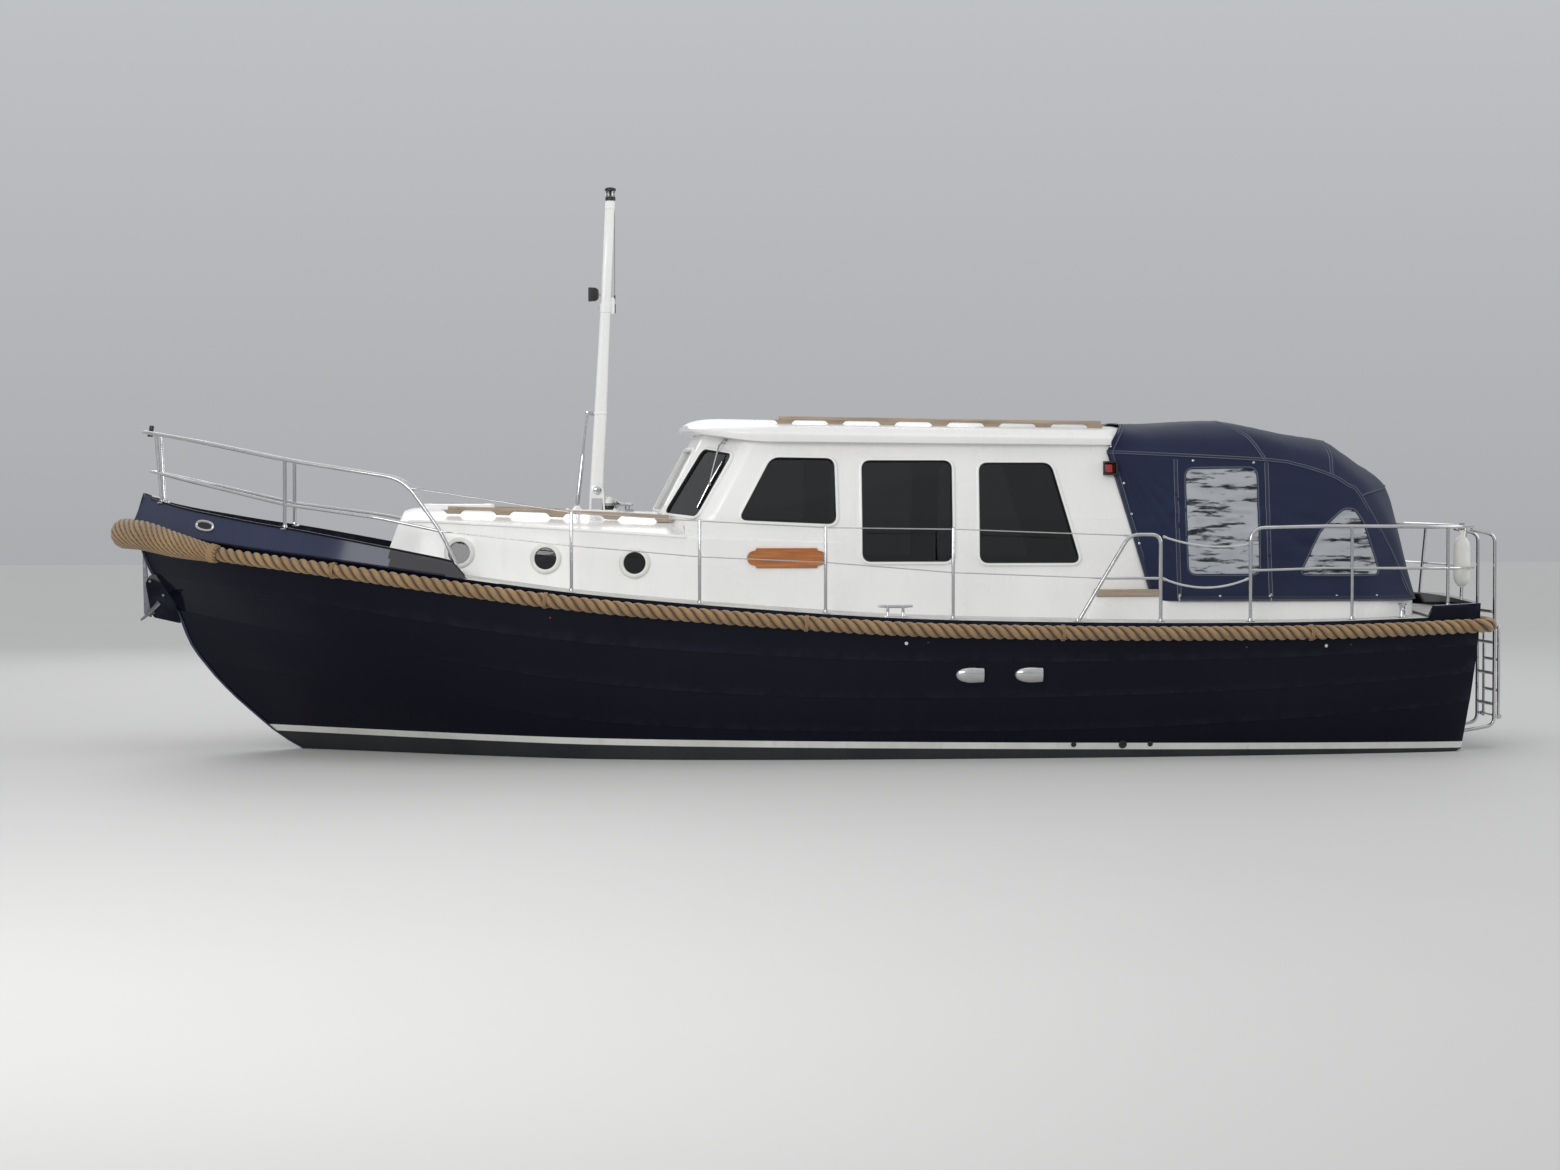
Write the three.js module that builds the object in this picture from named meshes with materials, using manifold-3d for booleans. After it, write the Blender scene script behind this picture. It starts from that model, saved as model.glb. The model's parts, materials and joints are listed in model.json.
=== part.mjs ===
// A 9.8 m inland motor cruiser afloat: steel multi-knuckle hull, coachroof, wheelhouse and covered cockpit.
// Millimetres. +X points to the bow, +Y to port, +Z up. The origin is on the waterline at midships.
import * as THREE from 'three';
import * as BufferGeometryUtils from 'three/addons/utils/BufferGeometryUtils.js';
import Module from 'manifold-3d';

const wasm = await Module();
wasm.setup();

// Driving dimensions
const seatGap = 0.3;
const deckCrown = 35;
const bulwarkWall = 40;
const cabinWall = 40;
const glassThickness = 6;
const railRadius = 12.5;
const wireRadius = 4;
const railInset = 70;
const fenderRadius = 52;

const stemTopX = 4950;
const rakeStartX = 1000;
const transomRake = 0.07;
const transomCrown = 90;

// Finishes
const finish = (color, roughness, metalness = 0, opacity = 1) =>
  new THREE.MeshStandardMaterial({ color, roughness, metalness, opacity, transparent: opacity < 1 });
const finishes = {
  navyPaint: finish(0x10142c, 0.2),
  whitePaint: finish(0xecebe6, 0.3),
  rope: finish(0xa87c49, 0.95),
  steel: finish(0xc9ccce, 0.25, 1),
  teak: finish(0xa27f5c, 0.7),
  canvas: finish(0x252d4a, 0.9),
  glass: finish(0x20262a, 0.1, 0, 0.4),
  bronze: finish(0xb08d57, 0.4, 1),
  iron: finish(0x3f464c, 0.7, 0.4),
  leather: finish(0xb9ae98, 0.6),
  plastic: finish(0x16181a, 0.5),
  galvanised: finish(0x8b9092, 0.5, 0.8),
};

const group = new THREE.Group();

// Solids from geometries, and back
function solidOf(geometry) {
  const bare = geometry.index ? geometry.toNonIndexed() : geometry.clone();
  bare.deleteAttribute('normal');
  bare.deleteAttribute('uv');
  const merged = BufferGeometryUtils.mergeVertices(bare, 0.001);
  const corners = merged.index.array;
  const kept = [];
  for (let i = 0; i < corners.length; i += 3) {
    const [a, b, c] = [corners[i], corners[i + 1], corners[i + 2]];
    if (a !== b && b !== c && c !== a) kept.push(a, b, c);
  }
  return new wasm.Manifold(new wasm.Mesh({
    numProp: 3,
    vertProperties: new Float32Array(merged.attributes.position.array),
    triVerts: new Uint32Array(kept),
  }));
}

function geometryOf(solid) {
  const mesh = solid.getMesh();
  const geometry = new THREE.BufferGeometry();
  const places = new Float32Array(mesh.numVert * 3);
  for (let i = 0; i < mesh.numVert; i += 1) {
    for (let k = 0; k < 3; k += 1) places[3 * i + k] = mesh.vertProperties[mesh.numProp * i + k];
  }
  geometry.setAttribute('position', new THREE.BufferAttribute(places, 3));
  geometry.setIndex(Array.from(mesh.triVerts));
  return geometry;
}

const join = (...solids) => solids.reduce((whole, solid) => whole.add(solid));
const cut = (solid, ...cutters) => cutters.reduce((left, cutter) => left.subtract(cutter), solid);
const shifted = (solid, x, y, z) => solid.translate([x, y, z]);
const mirrored = (solid) => solid.mirror([0, 1, 0]);

// A piece is trimmed by what carries it, so that it stands on it with a small gap
const seated = (piece, carrier) => piece.subtract(carrier.add(shifted(carrier, 0, 0, seatGap)));

// The same carrier with a small gap on every side
const sideSteps = [[0, 0.4, 0], [0, -0.4, 0], [0.4, 0, 0], [-0.4, 0, 0], [0, 0, -0.4], [0, 0, 0.4]];
const grown = (carrier) => join(...sideSteps.map((step) => shifted(carrier, ...step)));

function addPiece(name, solid, material) {
  const geometry = solid.isBufferGeometry ? solid : geometryOf(solid);
  const mesh = new THREE.Mesh(geometry, material);
  mesh.name = name;
  group.add(mesh);
  return mesh;
}

// Plain solids
function block(x0, x1, y0, y1, z0, z1) {
  const geometry = new THREE.BoxGeometry(x1 - x0, y1 - y0, z1 - z0);
  geometry.translate((x0 + x1) / 2, (y0 + y1) / 2, (z0 + z1) / 2);
  return solidOf(geometry);
}

// An outline drawn along two directions u and v from an origin, and pulled along their normal
function prism(outline, depth, origin, u, v) {
  const corners = Array.isArray(outline) ? outline.map(([a, b]) => new THREE.Vector2(a, b)) : null;
  const shape = corners ? new THREE.Shape(corners) : outline;
  const geometry = new THREE.ExtrudeGeometry(shape, { depth, bevelEnabled: false, curveSegments: 3 });
  const across = new THREE.Vector3(...u).normalize();
  const up = new THREE.Vector3(...v).normalize();
  const normal = new THREE.Vector3().crossVectors(across, up);
  const place = new THREE.Matrix4().makeBasis(across, up, normal);
  place.setPosition(...origin);
  geometry.applyMatrix4(place);
  return solidOf(geometry);
}

// An outline of x and z, from port side y1 to starboard side y0
const sidePrism = (outline, y0, y1) => prism(outline, y1 - y0, [0, y1, 0], [1, 0, 0], [0, 0, 1]);
// An outline of x and y, standing from z0 to z1
const planPrism = (outline, z0, z1) => prism(outline, z1 - z0, [0, 0, z0], [1, 0, 0], [0, 1, 0]);

// A path of straight runs with round bends, which gives one step per run and a few per bend
class BentPath extends THREE.Curve {
  constructor(points, bend, bendSteps = 3) {
    super();
    this.places = [];
    this.headings = [];
    const corners = points.map((p) => new THREE.Vector3(...p));
    const last = corners.length - 1;
    corners.forEach((corner, i) => {
      if (i === 0 || i === last) {
        const heading = corners[i === 0 ? 1 : last].clone().sub(corners[i === 0 ? 0 : last - 1]).normalize();
        this.places.push(corner);
        this.headings.push(heading);
        return;
      }
      const before = corners[i - 1].clone().sub(corner);
      const after = corners[i + 1].clone().sub(corner);
      const reach = Math.min(bend, before.length() * 0.45, after.length() * 0.45);
      const turn = before.angleTo(after);
      if (turn > Math.PI * 0.93 || reach < 1) {
        this.places.push(corner);
        this.headings.push(after.clone().normalize().sub(before.clone().normalize()).normalize());
        return;
      }
      const from = corner.clone().addScaledVector(before.normalize(), reach);
      const to = corner.clone().addScaledVector(after.normalize(), reach);
      const arc = new THREE.QuadraticBezierCurve3(from, corner, to);
      for (let k = 0; k <= bendSteps; k += 1) {
        this.places.push(arc.getPoint(k / bendSteps));
        this.headings.push(arc.getTangent(k / bendSteps));
      }
    });
    this.steps = this.places.length - 1;
  }

  at(t) {
    return Math.round(t * this.steps);
  }

  getPoint(t, target = new THREE.Vector3()) {
    return target.copy(this.places[this.at(t)]);
  }

  getPointAt(t, target) {
    return this.getPoint(t, target);
  }

  getTangentAt(t, target = new THREE.Vector3()) {
    return target.copy(this.headings[this.at(t)]);
  }
}

// A run drawn on the port side up to the centreline, carried on down the starboard side
const across = (half) => [...half, ...half.slice(0, -1).reverse().map(([x, y, z]) => [x, -y, z])];

function roundShape(radius, sides) {
  const points = [];
  for (let i = 0; i < sides; i += 1) {
    const angle = (2 * Math.PI * (i + 0.5)) / sides;
    points.push(new THREE.Vector2(radius * Math.cos(angle), radius * Math.sin(angle)));
  }
  return new THREE.Shape(points);
}

function tube(points, radius = railRadius, bend = 90, sides = 6, bendSteps = 2) {
  const path = new BentPath(points, bend, bendSteps);
  const options = { steps: path.steps, extrudePath: path, bevelEnabled: false };
  return solidOf(new THREE.ExtrudeGeometry(roundShape(radius, sides), options));
}

// A turned piece: a profile of radius and height, stood at a place and pointed along a direction
function turned(profile, place, direction = [0, 0, 1], sides = 16) {
  const geometry = new THREE.LatheGeometry(profile.map(([r, h]) => new THREE.Vector2(r, h)), sides);
  const turn = new THREE.Quaternion().setFromUnitVectors(
    new THREE.Vector3(0, 1, 0),
    new THREE.Vector3(...direction).normalize(),
  );
  geometry.applyQuaternion(turn);
  geometry.translate(...place);
  return solidOf(geometry);
}

const disc = (radius, from, to, place, direction, sides = 16) =>
  turned([[0, from], [radius, from], [radius, to], [0, to]], place, direction, sides);

// A skin through mirrored sections: each lists its port side points from the top to the bottom
function loft(sections) {
  const ring = sections[0].length;
  const places = [];
  const portOf = [];
  const starboardOf = [];
  sections.forEach((section, i) => {
    portOf.push([]);
    starboardOf.push([]);
    section.forEach(([x, y, z]) => {
      portOf[i].push(places.length / 3);
      places.push(x, y, z);
      if (y === 0) {
        starboardOf[i].push(portOf[i].at(-1));
      } else {
        starboardOf[i].push(places.length / 3);
        places.push(x, -y, z);
      }
    });
  });
  const faces = [];
  const face = (a, b, c) => {
    if (a !== b && b !== c && c !== a) faces.push(a, b, c);
  };
  const quad = (a, b, c, d) => {
    face(a, b, c);
    face(a, c, d);
  };
  for (let i = 0; i + 1 < sections.length; i += 1) {
    for (let j = 0; j + 1 < ring; j += 1) {
      quad(portOf[i][j], portOf[i][j + 1], portOf[i + 1][j + 1], portOf[i + 1][j]);
      quad(starboardOf[i][j], starboardOf[i + 1][j], starboardOf[i + 1][j + 1], starboardOf[i][j + 1]);
    }
    for (const j of [0, ring - 1]) {
      const [a, b] = [portOf[i][j], starboardOf[i][j]];
      const [c, d] = [portOf[i + 1][j], starboardOf[i + 1][j]];
      if (a === b) continue;
      if (j === 0) quad(a, c, d, b);
      else quad(a, b, d, c);
    }
  }
  const last = sections.length - 1;
  for (let j = 0; j + 1 < ring; j += 1) {
    quad(portOf[0][j + 1], portOf[0][j], starboardOf[0][j], starboardOf[0][j + 1]);
    quad(portOf[last][j], portOf[last][j + 1], starboardOf[last][j + 1], starboardOf[last][j]);
  }
  const geometry = new THREE.BufferGeometry();
  geometry.setAttribute('position', new THREE.Float32BufferAttribute(places, 3));
  geometry.setIndex(faces);
  let volume = 0;
  const corner = (n) => new THREE.Vector3().fromArray(places, 3 * n);
  for (let i = 0; i < faces.length; i += 3) {
    volume += corner(faces[i]).dot(corner(faces[i + 1]).cross(corner(faces[i + 2])));
  }
  if (volume < 0) geometry.index.array.reverse();
  return solidOf(geometry);
}

// Smooth reading between the rows of a table whose first column is x
function rowAt(table, x) {
  const last = table.length - 1;
  let i = 0;
  while (i < last - 1 && x > table[i + 1][0]) i += 1;
  const span = table[i + 1][0] - table[i][0];
  const t = Math.min(1, Math.max(0, (x - table[i][0]) / span));
  const slope = (k, column) => {
    const [from, to] = [Math.max(0, k - 1), Math.min(last, k + 1)];
    return (table[to][column] - table[from][column]) / (table[to][0] - table[from][0]);
  };
  const row = table[i].map((value, column) => {
    const [a, b] = [value, table[i + 1][column]];
    const [da, db] = [slope(i, column) * span, slope(i + 1, column) * span];
    return a * (2 * t ** 3 - 3 * t * t + 1) + da * (t ** 3 - 2 * t * t + t)
      + b * (3 * t * t - 2 * t ** 3) + db * (t ** 3 - t * t);
  });
  row[0] = x;
  return row;
}

const between = (a, b, t) => a + (b - a) * t;

// Hull
// Columns: x, then half-breadth and height of the sheer, of knuckles A, B and C, of the bilge and of the
// garboard, and the height of the flat bottom at the keel
const hullTable = [
  [-4880, 1340, 1020, 1325, 800, 1290, 600, 1230, 380, 1090, 20, 640, -60, -110],
  [-4400, 1420, 1000, 1410, 770, 1378, 560, 1322, 335, 1190, -30, 720, -130, -190],
  [-3400, 1540, 978, 1534, 726, 1505, 500, 1452, 270, 1320, -90, 830, -290, -390],
  [-2000, 1640, 985, 1632, 705, 1604, 455, 1552, 215, 1420, -150, 930, -400, -530],
  [-600, 1675, 1020, 1665, 715, 1636, 448, 1582, 205, 1450, -160, 960, -430, -570],
  [600, 1660, 1100, 1645, 768, 1608, 480, 1545, 225, 1400, -150, 900, -430, -575],
  [1800, 1580, 1208, 1550, 860, 1490, 575, 1400, 290, 1200, -130, 730, -430, -575],
  [2800, 1400, 1340, 1340, 985, 1240, 710, 1105, 410, 860, -60, 500, -400, -565],
  [3600, 1130, 1452, 1040, 1110, 920, 835, 780, 510, 560, 10, 320, -370, -560],
  [4200, 800, 1530, 700, 1205, 590, 925, 480, 580, 330, 60, 190, -340, -555],
  [4600, 450, 1600, 375, 1270, 305, 985, 240, 620, 160, 80, 100, -320, -550],
  [stemTopX, 30, 1690, 28, 1330, 26, 1040, 24, 650, 22, 100, 22, -310, -545],
];
// Where the stem meets the top of the bulwark, the sheer, the knuckles, the bilge, the garboard and the keel
const stemX = [4900, 4950, 4845, 4655, 4455, 3890, 3150, 2400];
const keelHalf = 20;

// Columns: x, height of the bulwark above the sheer
const bulwarkTable = [
  [-4880, 85],
  [-4520, 85],
  [-4470, 0],
  [2550, 0],
  [2660, 108],
  [3100, 133],
  [3820, 168],
  [4400, 186],
  [stemTopX, 185],
];

function straightAt(table, x) {
  let i = 0;
  while (i < table.length - 2 && x > table[i + 1][0]) i += 1;
  const t = (x - table[i][0]) / (table[i + 1][0] - table[i][0]);
  return between(table[i][1], table[i + 1][1], Math.min(1, Math.max(0, t)));
}

const sheerHalfAt = (x) => rowAt(hullTable, x)[1];
const sheerHeightAt = (x) => rowAt(hullTable, x)[2];
const bulwarkTopAt = (x) => sheerHeightAt(x) + straightAt(bulwarkTable, x);

function hullSection(x) {
  const row = rowAt(hullTable, x);
  const [, sheerHalf, sheer] = row;
  const top = bulwarkTopAt(x);
  const rise = top - sheer;
  const pairs = [[sheerHalf - 0.1 * rise, top], [sheerHalf, sheer]];
  for (let k = 3; k < 13; k += 2) pairs.push([row[k], row[k + 1]]);
  pairs.push([keelHalf, row[13]]);
  const forward = Math.max(0, (x - rakeStartX) / (stemTopX - rakeStartX));
  const aft = x <= hullTable[0][0] ? transomRake : 0;
  const points = pairs.map(([y, z], line) => [
    x + forward * (stemX[line] - stemTopX) + aft * (sheer - z),
    y,
    z,
  ]);
  return [[points[0][0], 0, top + deckCrown], ...points];
}

const hullStations = [
  -4880, -4520, -4470, -3900, -3300, -2500, -1600, -600, 500, 1400, 2100, 2550, 2660, 3100, 3500, 3850, 4200,
  4450, 4700, stemTopX,
];

function transomSection(share, bulge) {
  return hullSection(-4880).map(([x, y, z]) => [x - bulge, y * share, z]);
}

const sternTubeX = -3560;
const shaftZ = -620;
const keelSlab = sidePrism([
  [2350, -480], [-3300, -300], [sternTubeX, -420], [sternTubeX, -880], [-4270, -880], [-4270, -920],
  [-3440, -920], [1950, -760], [2420, -600],
], -50, 50);

// The foredeck and the aft deck lie inside their bulwarks
function deckWell(stations, drop) {
  const lid = 2600;
  return loft(stations.map((x) => {
    const half = sheerHalfAt(x) - bulwarkWall;
    const sheer = sheerHeightAt(x) - drop;
    const lean = Math.max(0, (x - rakeStartX) / (stemTopX - rakeStartX)) * (stemX[0] - stemTopX);
    return [[x + lean, 0, lid], [x + lean, half - 15, lid], [x, half, sheer], [x, 0, sheer + deckCrown]];
  }));
}
const foreWell = deckWell([2556, 2660, 3100, 3500, 3850, 4200, 4450, 4700, 4800], 4);
const aftWell = deckWell([-4480, -4520, -4840], 4);

// The space below the coachroof and the wheelhouse, the engine bay under its sole, and the cockpit
const soleZ = 400;
const cabinWellPlan = [
  [-2380, -1020], [1000, -1020], [1800, -950], [2850, -690], [2850, 690], [1800, 950], [1000, 1020],
  [-2380, 1020],
];
const cabinWell = planPrism(cabinWellPlan, soleZ, 2600);
const engineBay = block(-1700, -560, -380, 380, -320, soleZ + 10);

// The wheelhouse ends in a raked bulkhead with a door
const bulkheadTop = [-2200, 2200];
const bulkheadFoot = [-2450, 1280];
const bulkheadLean = (bulkheadTop[0] - bulkheadFoot[0]) / (bulkheadTop[1] - bulkheadFoot[1]);
const bulkheadX = (z) => bulkheadFoot[0] + (z - bulkheadFoot[1]) * bulkheadLean;

// The cockpit ends at the raked bulkhead, and its benches leave a foot well between them
const cockpit = { aftX: -4400, half: 1080, floorZ: 450, benchZ: 860, footAftX: -4020, footHalf: 640 };
const cockpitWell = (aftX, floorZ, half, topZ, gap) => sidePrism([
  [aftX + gap, floorZ + gap], [bulkheadX(floorZ) - gap, floorZ + gap], [bulkheadX(topZ) - gap, topZ],
  [aftX + gap, topZ],
], gap - half, half - gap);
const cockpitSpace = cockpitWell(cockpit.aftX, cockpit.floorZ, cockpit.half, 1300, 0);
const footWell = cockpitWell(cockpit.footAftX, cockpit.floorZ, cockpit.footHalf, 1300, 0);

const doorWidth = 620;
const doorHinge = 310;
const hingeGap = 0.8;
const doorZ = [660, 2080];
// The door rises as it turns on its raked hinges, so there is room above it
const doorHeadZ = doorZ[1] + 16;
const doorway = sidePrism([
  [bulkheadX(doorZ[0] - 8) - 300, doorZ[0] - 8], [bulkheadX(doorZ[0] - 8) + 400, doorZ[0] - 8],
  [bulkheadX(1400) + 400, 1400], [bulkheadX(1400) - 300, 1400],
], doorHinge - doorWidth - 6, doorHinge + hingeGap);

const hullShell = join(
  loft([transomSection(0.45, transomCrown), ...hullStations.map(hullSection)]),
  keelSlab,
);
const rudderStockX = -4200;
const stockHole = disc(22, -1200, 1200, [rudderStockX, 0, 0], [0, 0, 1], 12);
const shaftHole = disc(20.8, 0, 900, [sternTubeX - 400, 0, shaftZ], [1, 0, 0], 16);
const hull = cut(
  hullShell, foreWell, aftWell, cabinWell, engineBay, cockpitSpace, doorway,
  stockHole.intersect(block(-4400, -4000, -200, 200, -400, 120)), shaftHole,
);
addPiece('hull', hull, finishes.navyPaint);

// Rope fender all round the sheer, pressed a little into the plating
const fenderDrop = 75;
const fenderZ = { stern: 945, bow: 1618 };
const fenderReach = fenderRadius - 4;
const fenderStations = [
  -4700, -4300, -3600, -2500, -1600, -600, 500, 1400, 2100, 2800, 3500, 3850, 4150, 4300,
];
const sternFaceX = -4880 - transomCrown - fenderReach;
const ropePath = across([
  [sternFaceX, 0, fenderZ.stern],
  [sternFaceX, 560, fenderZ.stern],
  [-4925 - fenderReach * 0.5, sheerHalfAt(-4880) + fenderReach * 0.2, fenderZ.stern],
  ...fenderStations.map((x) => [
    x + Math.max(0, x - 4000) * 0.04,
    sheerHalfAt(x) + fenderReach * (1 - Math.max(0, x - 3000) * 0.0001),
    sheerHeightAt(x) - fenderDrop,
  ]),
].reverse());
const ropeLoop = tube(ropePath, fenderRadius, 40, 8, 1);
const hullSkin = grown(hullShell);
addPiece('rope_fender', cut(ropeLoop, hullSkin), finishes.rope);

// The thick fender over the bow, whipped rope that tapers into the run on each side
// Columns: station, radius, rise above the run
const bowFenderTable = [
  [4302, 54, 0],
  [4450, 66, 6],
  [4600, 80, 12],
  [4740, 94, 16],
  [4850, 104, 12],
];
function taperedTube(points, radii, sides) {
  const path = new BentPath(points, 0);
  const frames = path.computeFrenetFrames(path.steps, false);
  const places = [];
  const faces = [];
  points.forEach((point, i) => {
    for (let k = 0; k < sides; k += 1) {
      const angle = (2 * Math.PI * k) / sides;
      const spot = new THREE.Vector3(...point)
        .addScaledVector(frames.normals[i], radii[i] * Math.cos(angle))
        .addScaledVector(frames.binormals[i], radii[i] * Math.sin(angle));
      places.push(...spot.toArray());
    }
  });
  const corner = (i, k) => i * sides + (k % sides);
  for (let i = 0; i + 1 < points.length; i += 1) {
    for (let k = 0; k < sides; k += 1) {
      faces.push(corner(i, k), corner(i, k + 1), corner(i + 1, k + 1));
      faces.push(corner(i, k), corner(i + 1, k + 1), corner(i + 1, k));
    }
  }
  const last = points.length - 1;
  for (let k = 1; k + 1 < sides; k += 1) {
    faces.push(corner(0, 0), corner(0, k + 1), corner(0, k));
    faces.push(corner(last, 0), corner(last, k), corner(last, k + 1));
  }
  const geometry = new THREE.BufferGeometry();
  geometry.setAttribute('position', new THREE.Float32BufferAttribute(places, 3));
  geometry.setIndex(faces);
  return solidOf(geometry);
}
const bowSide = bowFenderTable.map(([x, radius, rise]) => [
  x + (x - 4000) * 0.04 + radius * 0.25,
  sheerHalfAt(x) + radius * 0.86,
  sheerHeightAt(x) - fenderDrop + rise,
]);
const bowNose = [stemTopX + 98, 0, fenderZ.bow - 8];
const bowFenderPath = [...bowSide, bowNose, ...bowSide.map(([x, y, z]) => [x, -y, z]).reverse()];
const bowSideRadii = bowFenderTable.map(([, radius]) => radius);
const bowFender = taperedTube(bowFenderPath, [...bowSideRadii, 110, ...[...bowSideRadii].reverse()], 12);
addPiece('bow_fender', cut(bowFender, hullSkin, grown(ropeLoop)), finishes.rope);

// Coachroof
// Columns: x at its foot, half-breadth at the foot, side height, half-breadth there, crown edge half,
// crown edge height, height on the centreline, lean of the face
const coachTable = [
  [962, 1185, 1560, 1150, 900, 1690, 1765, 0],
  [1800, 1130, 1610, 1085, 840, 1715, 1785, 0],
  [2550, 985, 1665, 935, 700, 1735, 1800, 0],
  [2960, 860, 1685, 805, 590, 1738, 1800, 60],
  [3150, 790, 1672, 700, 500, 1722, 1778, 170],
];
function coachSection([x, foot, side, sideHalf, edge, edgeZ, top, lean], wall) {
  const inset = wall;
  const sill = wall > 0 ? 600 : 1000;
  const back = (z) => x - lean * Math.max(0, (z - 1380) / 400) - (lean > 0 ? wall : 0);
  return [
    [back(top), 0, top - inset],
    [back(edgeZ), edge - inset * 0.6, edgeZ - inset],
    [back(side), sideHalf - inset, side - inset * 0.5],
    [x - (lean > 0 ? wall : 0), foot - inset, sill],
  ];
}
const coachOuter = loft(coachTable.map((row) => coachSection(row, 0)));
const coachInner = loft([
  coachSection([900, ...coachTable[0].slice(1)], cabinWall),
  ...coachTable.slice(1).map((row) => coachSection(row, cabinWall)),
]);
// Columns: x and height of each round window, in each side
const portlights = [[2580, 1480], [1960, 1440], [1320, 1408]];
const portlightRadius = 80;
const portlightHoles = portlights.map(([x, z]) =>
  disc(portlightRadius, -1600, 1600, [x, 0, z], [0, 1, 0], 16));
const hatch = { x0: 2310, x1: 2850, half: 290, top: 1832, plate: 22, skirt: 8 };
const hatchBlock = (inset, z0, z1) => block(
  hatch.x0 + inset, hatch.x1 - inset, -hatch.half + inset, hatch.half - inset, z0, z1,
);
const hatchHole = hatchBlock(40, 1500, 2000);
const hatchCoaming = cut(hatchBlock(14, 1700, hatch.top - hatch.plate - seatGap), hatchHole);
const coachShell = join(cut(coachOuter, coachInner), hatchCoaming.subtract(coachInner));
const coachroof = seated(cut(coachShell, hatchHole, ...portlightHoles), hull);
const coachTop = join(coachOuter, hatchCoaming);
addPiece('coachroof', coachroof, finishes.whitePaint);

const hatchLid = cut(
  hatchBlock(0, hatch.top - 60, hatch.top),
  block(
    hatch.x0 + hatch.skirt, hatch.x1 + hatch.skirt, -hatch.half + hatch.skirt, hatch.half - hatch.skirt,
    hatch.top - 70, hatch.top - hatch.plate,
  ),
);
addPiece('fore_hatch', cut(hatchLid, shifted(coachOuter, 0, 0, 5)), finishes.whitePaint);

// Wheelhouse
// Columns: height, x and half-breadth of the front pane's corner, of the front side corner and of the
// rear corner
const houseTable = [
  [900, 955, 700, 955, 1192, bulkheadX(900), 1205],
  [1719, 955, 700, 955, 1150, bulkheadX(1719), 1160],
  [1720, 1105, 590, 815, 1148, bulkheadX(1720), 1160],
  [2300, 800, 560, 505, 1062, bulkheadX(2300), 1112],
];
function houseSection([z, frontX, frontHalf, sideX, sideHalf, rearX, rearHalf], wall) {
  return [
    [frontX - wall, frontHalf - wall * 0.3, z],
    [sideX - wall * 0.4, sideHalf - wall, z],
    [rearX + wall, rearHalf - wall, z],
  ];
}
const houseSolid = (wall) => loft(houseTable.map((row) => houseSection(row, wall)));
// The underside of the roof is one sloping plane
const roofUnderAt = (x) => 2274 + (x + 1000) * 0.0091;
const houseOuter = houseSolid(0);
const houseInnerTop = loft([
  houseSection([1700, 1115, 590, 825, 1150, bulkheadX(1700), 1160], cabinWall),
  houseSection([2500, 695, 560, 398, 1046, bulkheadX(2500), 1096], cabinWall),
]);
const houseInnerLow = loft([
  houseSection([600, 1100, 1160, 1100, 1205, bulkheadX(600), 1215], cabinWall),
  houseSection([1719, 1100, 1120, 1100, 1150, bulkheadX(1719), 1160], cabinWall),
]);
const aboveRoof = sidePrism([
  [-2700, roofUnderAt(-2700) - seatGap], [1300, roofUnderAt(1300) - seatGap], [1300, 2700], [-2700, 2700],
], -1400, 1400);

// A rounded window outline from its corners
function roundedOutline(corners, radius, grow = 0) {
  const centre = corners.reduce((sum, [a, b]) => sum.add(new THREE.Vector2(a, b)), new THREE.Vector2());
  centre.divideScalar(corners.length);
  const grown = corners.map(([a, b]) => {
    const point = new THREE.Vector2(a, b);
    const away = point.clone().sub(centre);
    return point.add(new THREE.Vector2(Math.sign(away.x) * grow, Math.sign(away.y) * grow));
  });
  const shape = new THREE.Shape();
  grown.forEach((corner, i) => {
    const before = grown[(i + grown.length - 1) % grown.length];
    const after = grown[(i + 1) % grown.length];
    const from = corner.clone().add(before.clone().sub(corner).setLength(radius));
    const to = corner.clone().add(after.clone().sub(corner).setLength(radius));
    if (i === 0) shape.moveTo(from.x, from.y);
    else shape.lineTo(from.x, from.y);
    shape.quadraticCurveTo(corner.x, corner.y, to.x, to.y);
  });
  shape.closePath();
  return shape;
}

const sideWindows = {
  fore: [[320, 2166], [-130, 2159], [-140, 1691], [560, 1721]],
  middle: [[-340, 2144], [-990, 2144], [-990, 1419], [-340, 1419]],
  aft: [[-1200, 2128], [-1720, 2128], [-1930, 1408], [-1200, 1408]],
};
const windowRadius = 60;
const paneGap = 0.4;
const paneDepth = 16;
const glassShell = cut(houseSolid(paneDepth), houseSolid(paneDepth + glassThickness));
const sideCutters = [];
const panes = [];
for (const [name, corners] of Object.entries(sideWindows)) {
  sideCutters.push(sidePrism(roundedOutline(corners, windowRadius), -1500, 1500));
  const small = roundedOutline(corners, windowRadius, -paneGap);
  panes.push([`window_${name}_port`, glassShell.intersect(sidePrism(small, 1000, 1500))]);
  panes.push([`window_${name}_starboard`, glassShell.intersect(sidePrism(small, -1500, -1000))]);
}

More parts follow.
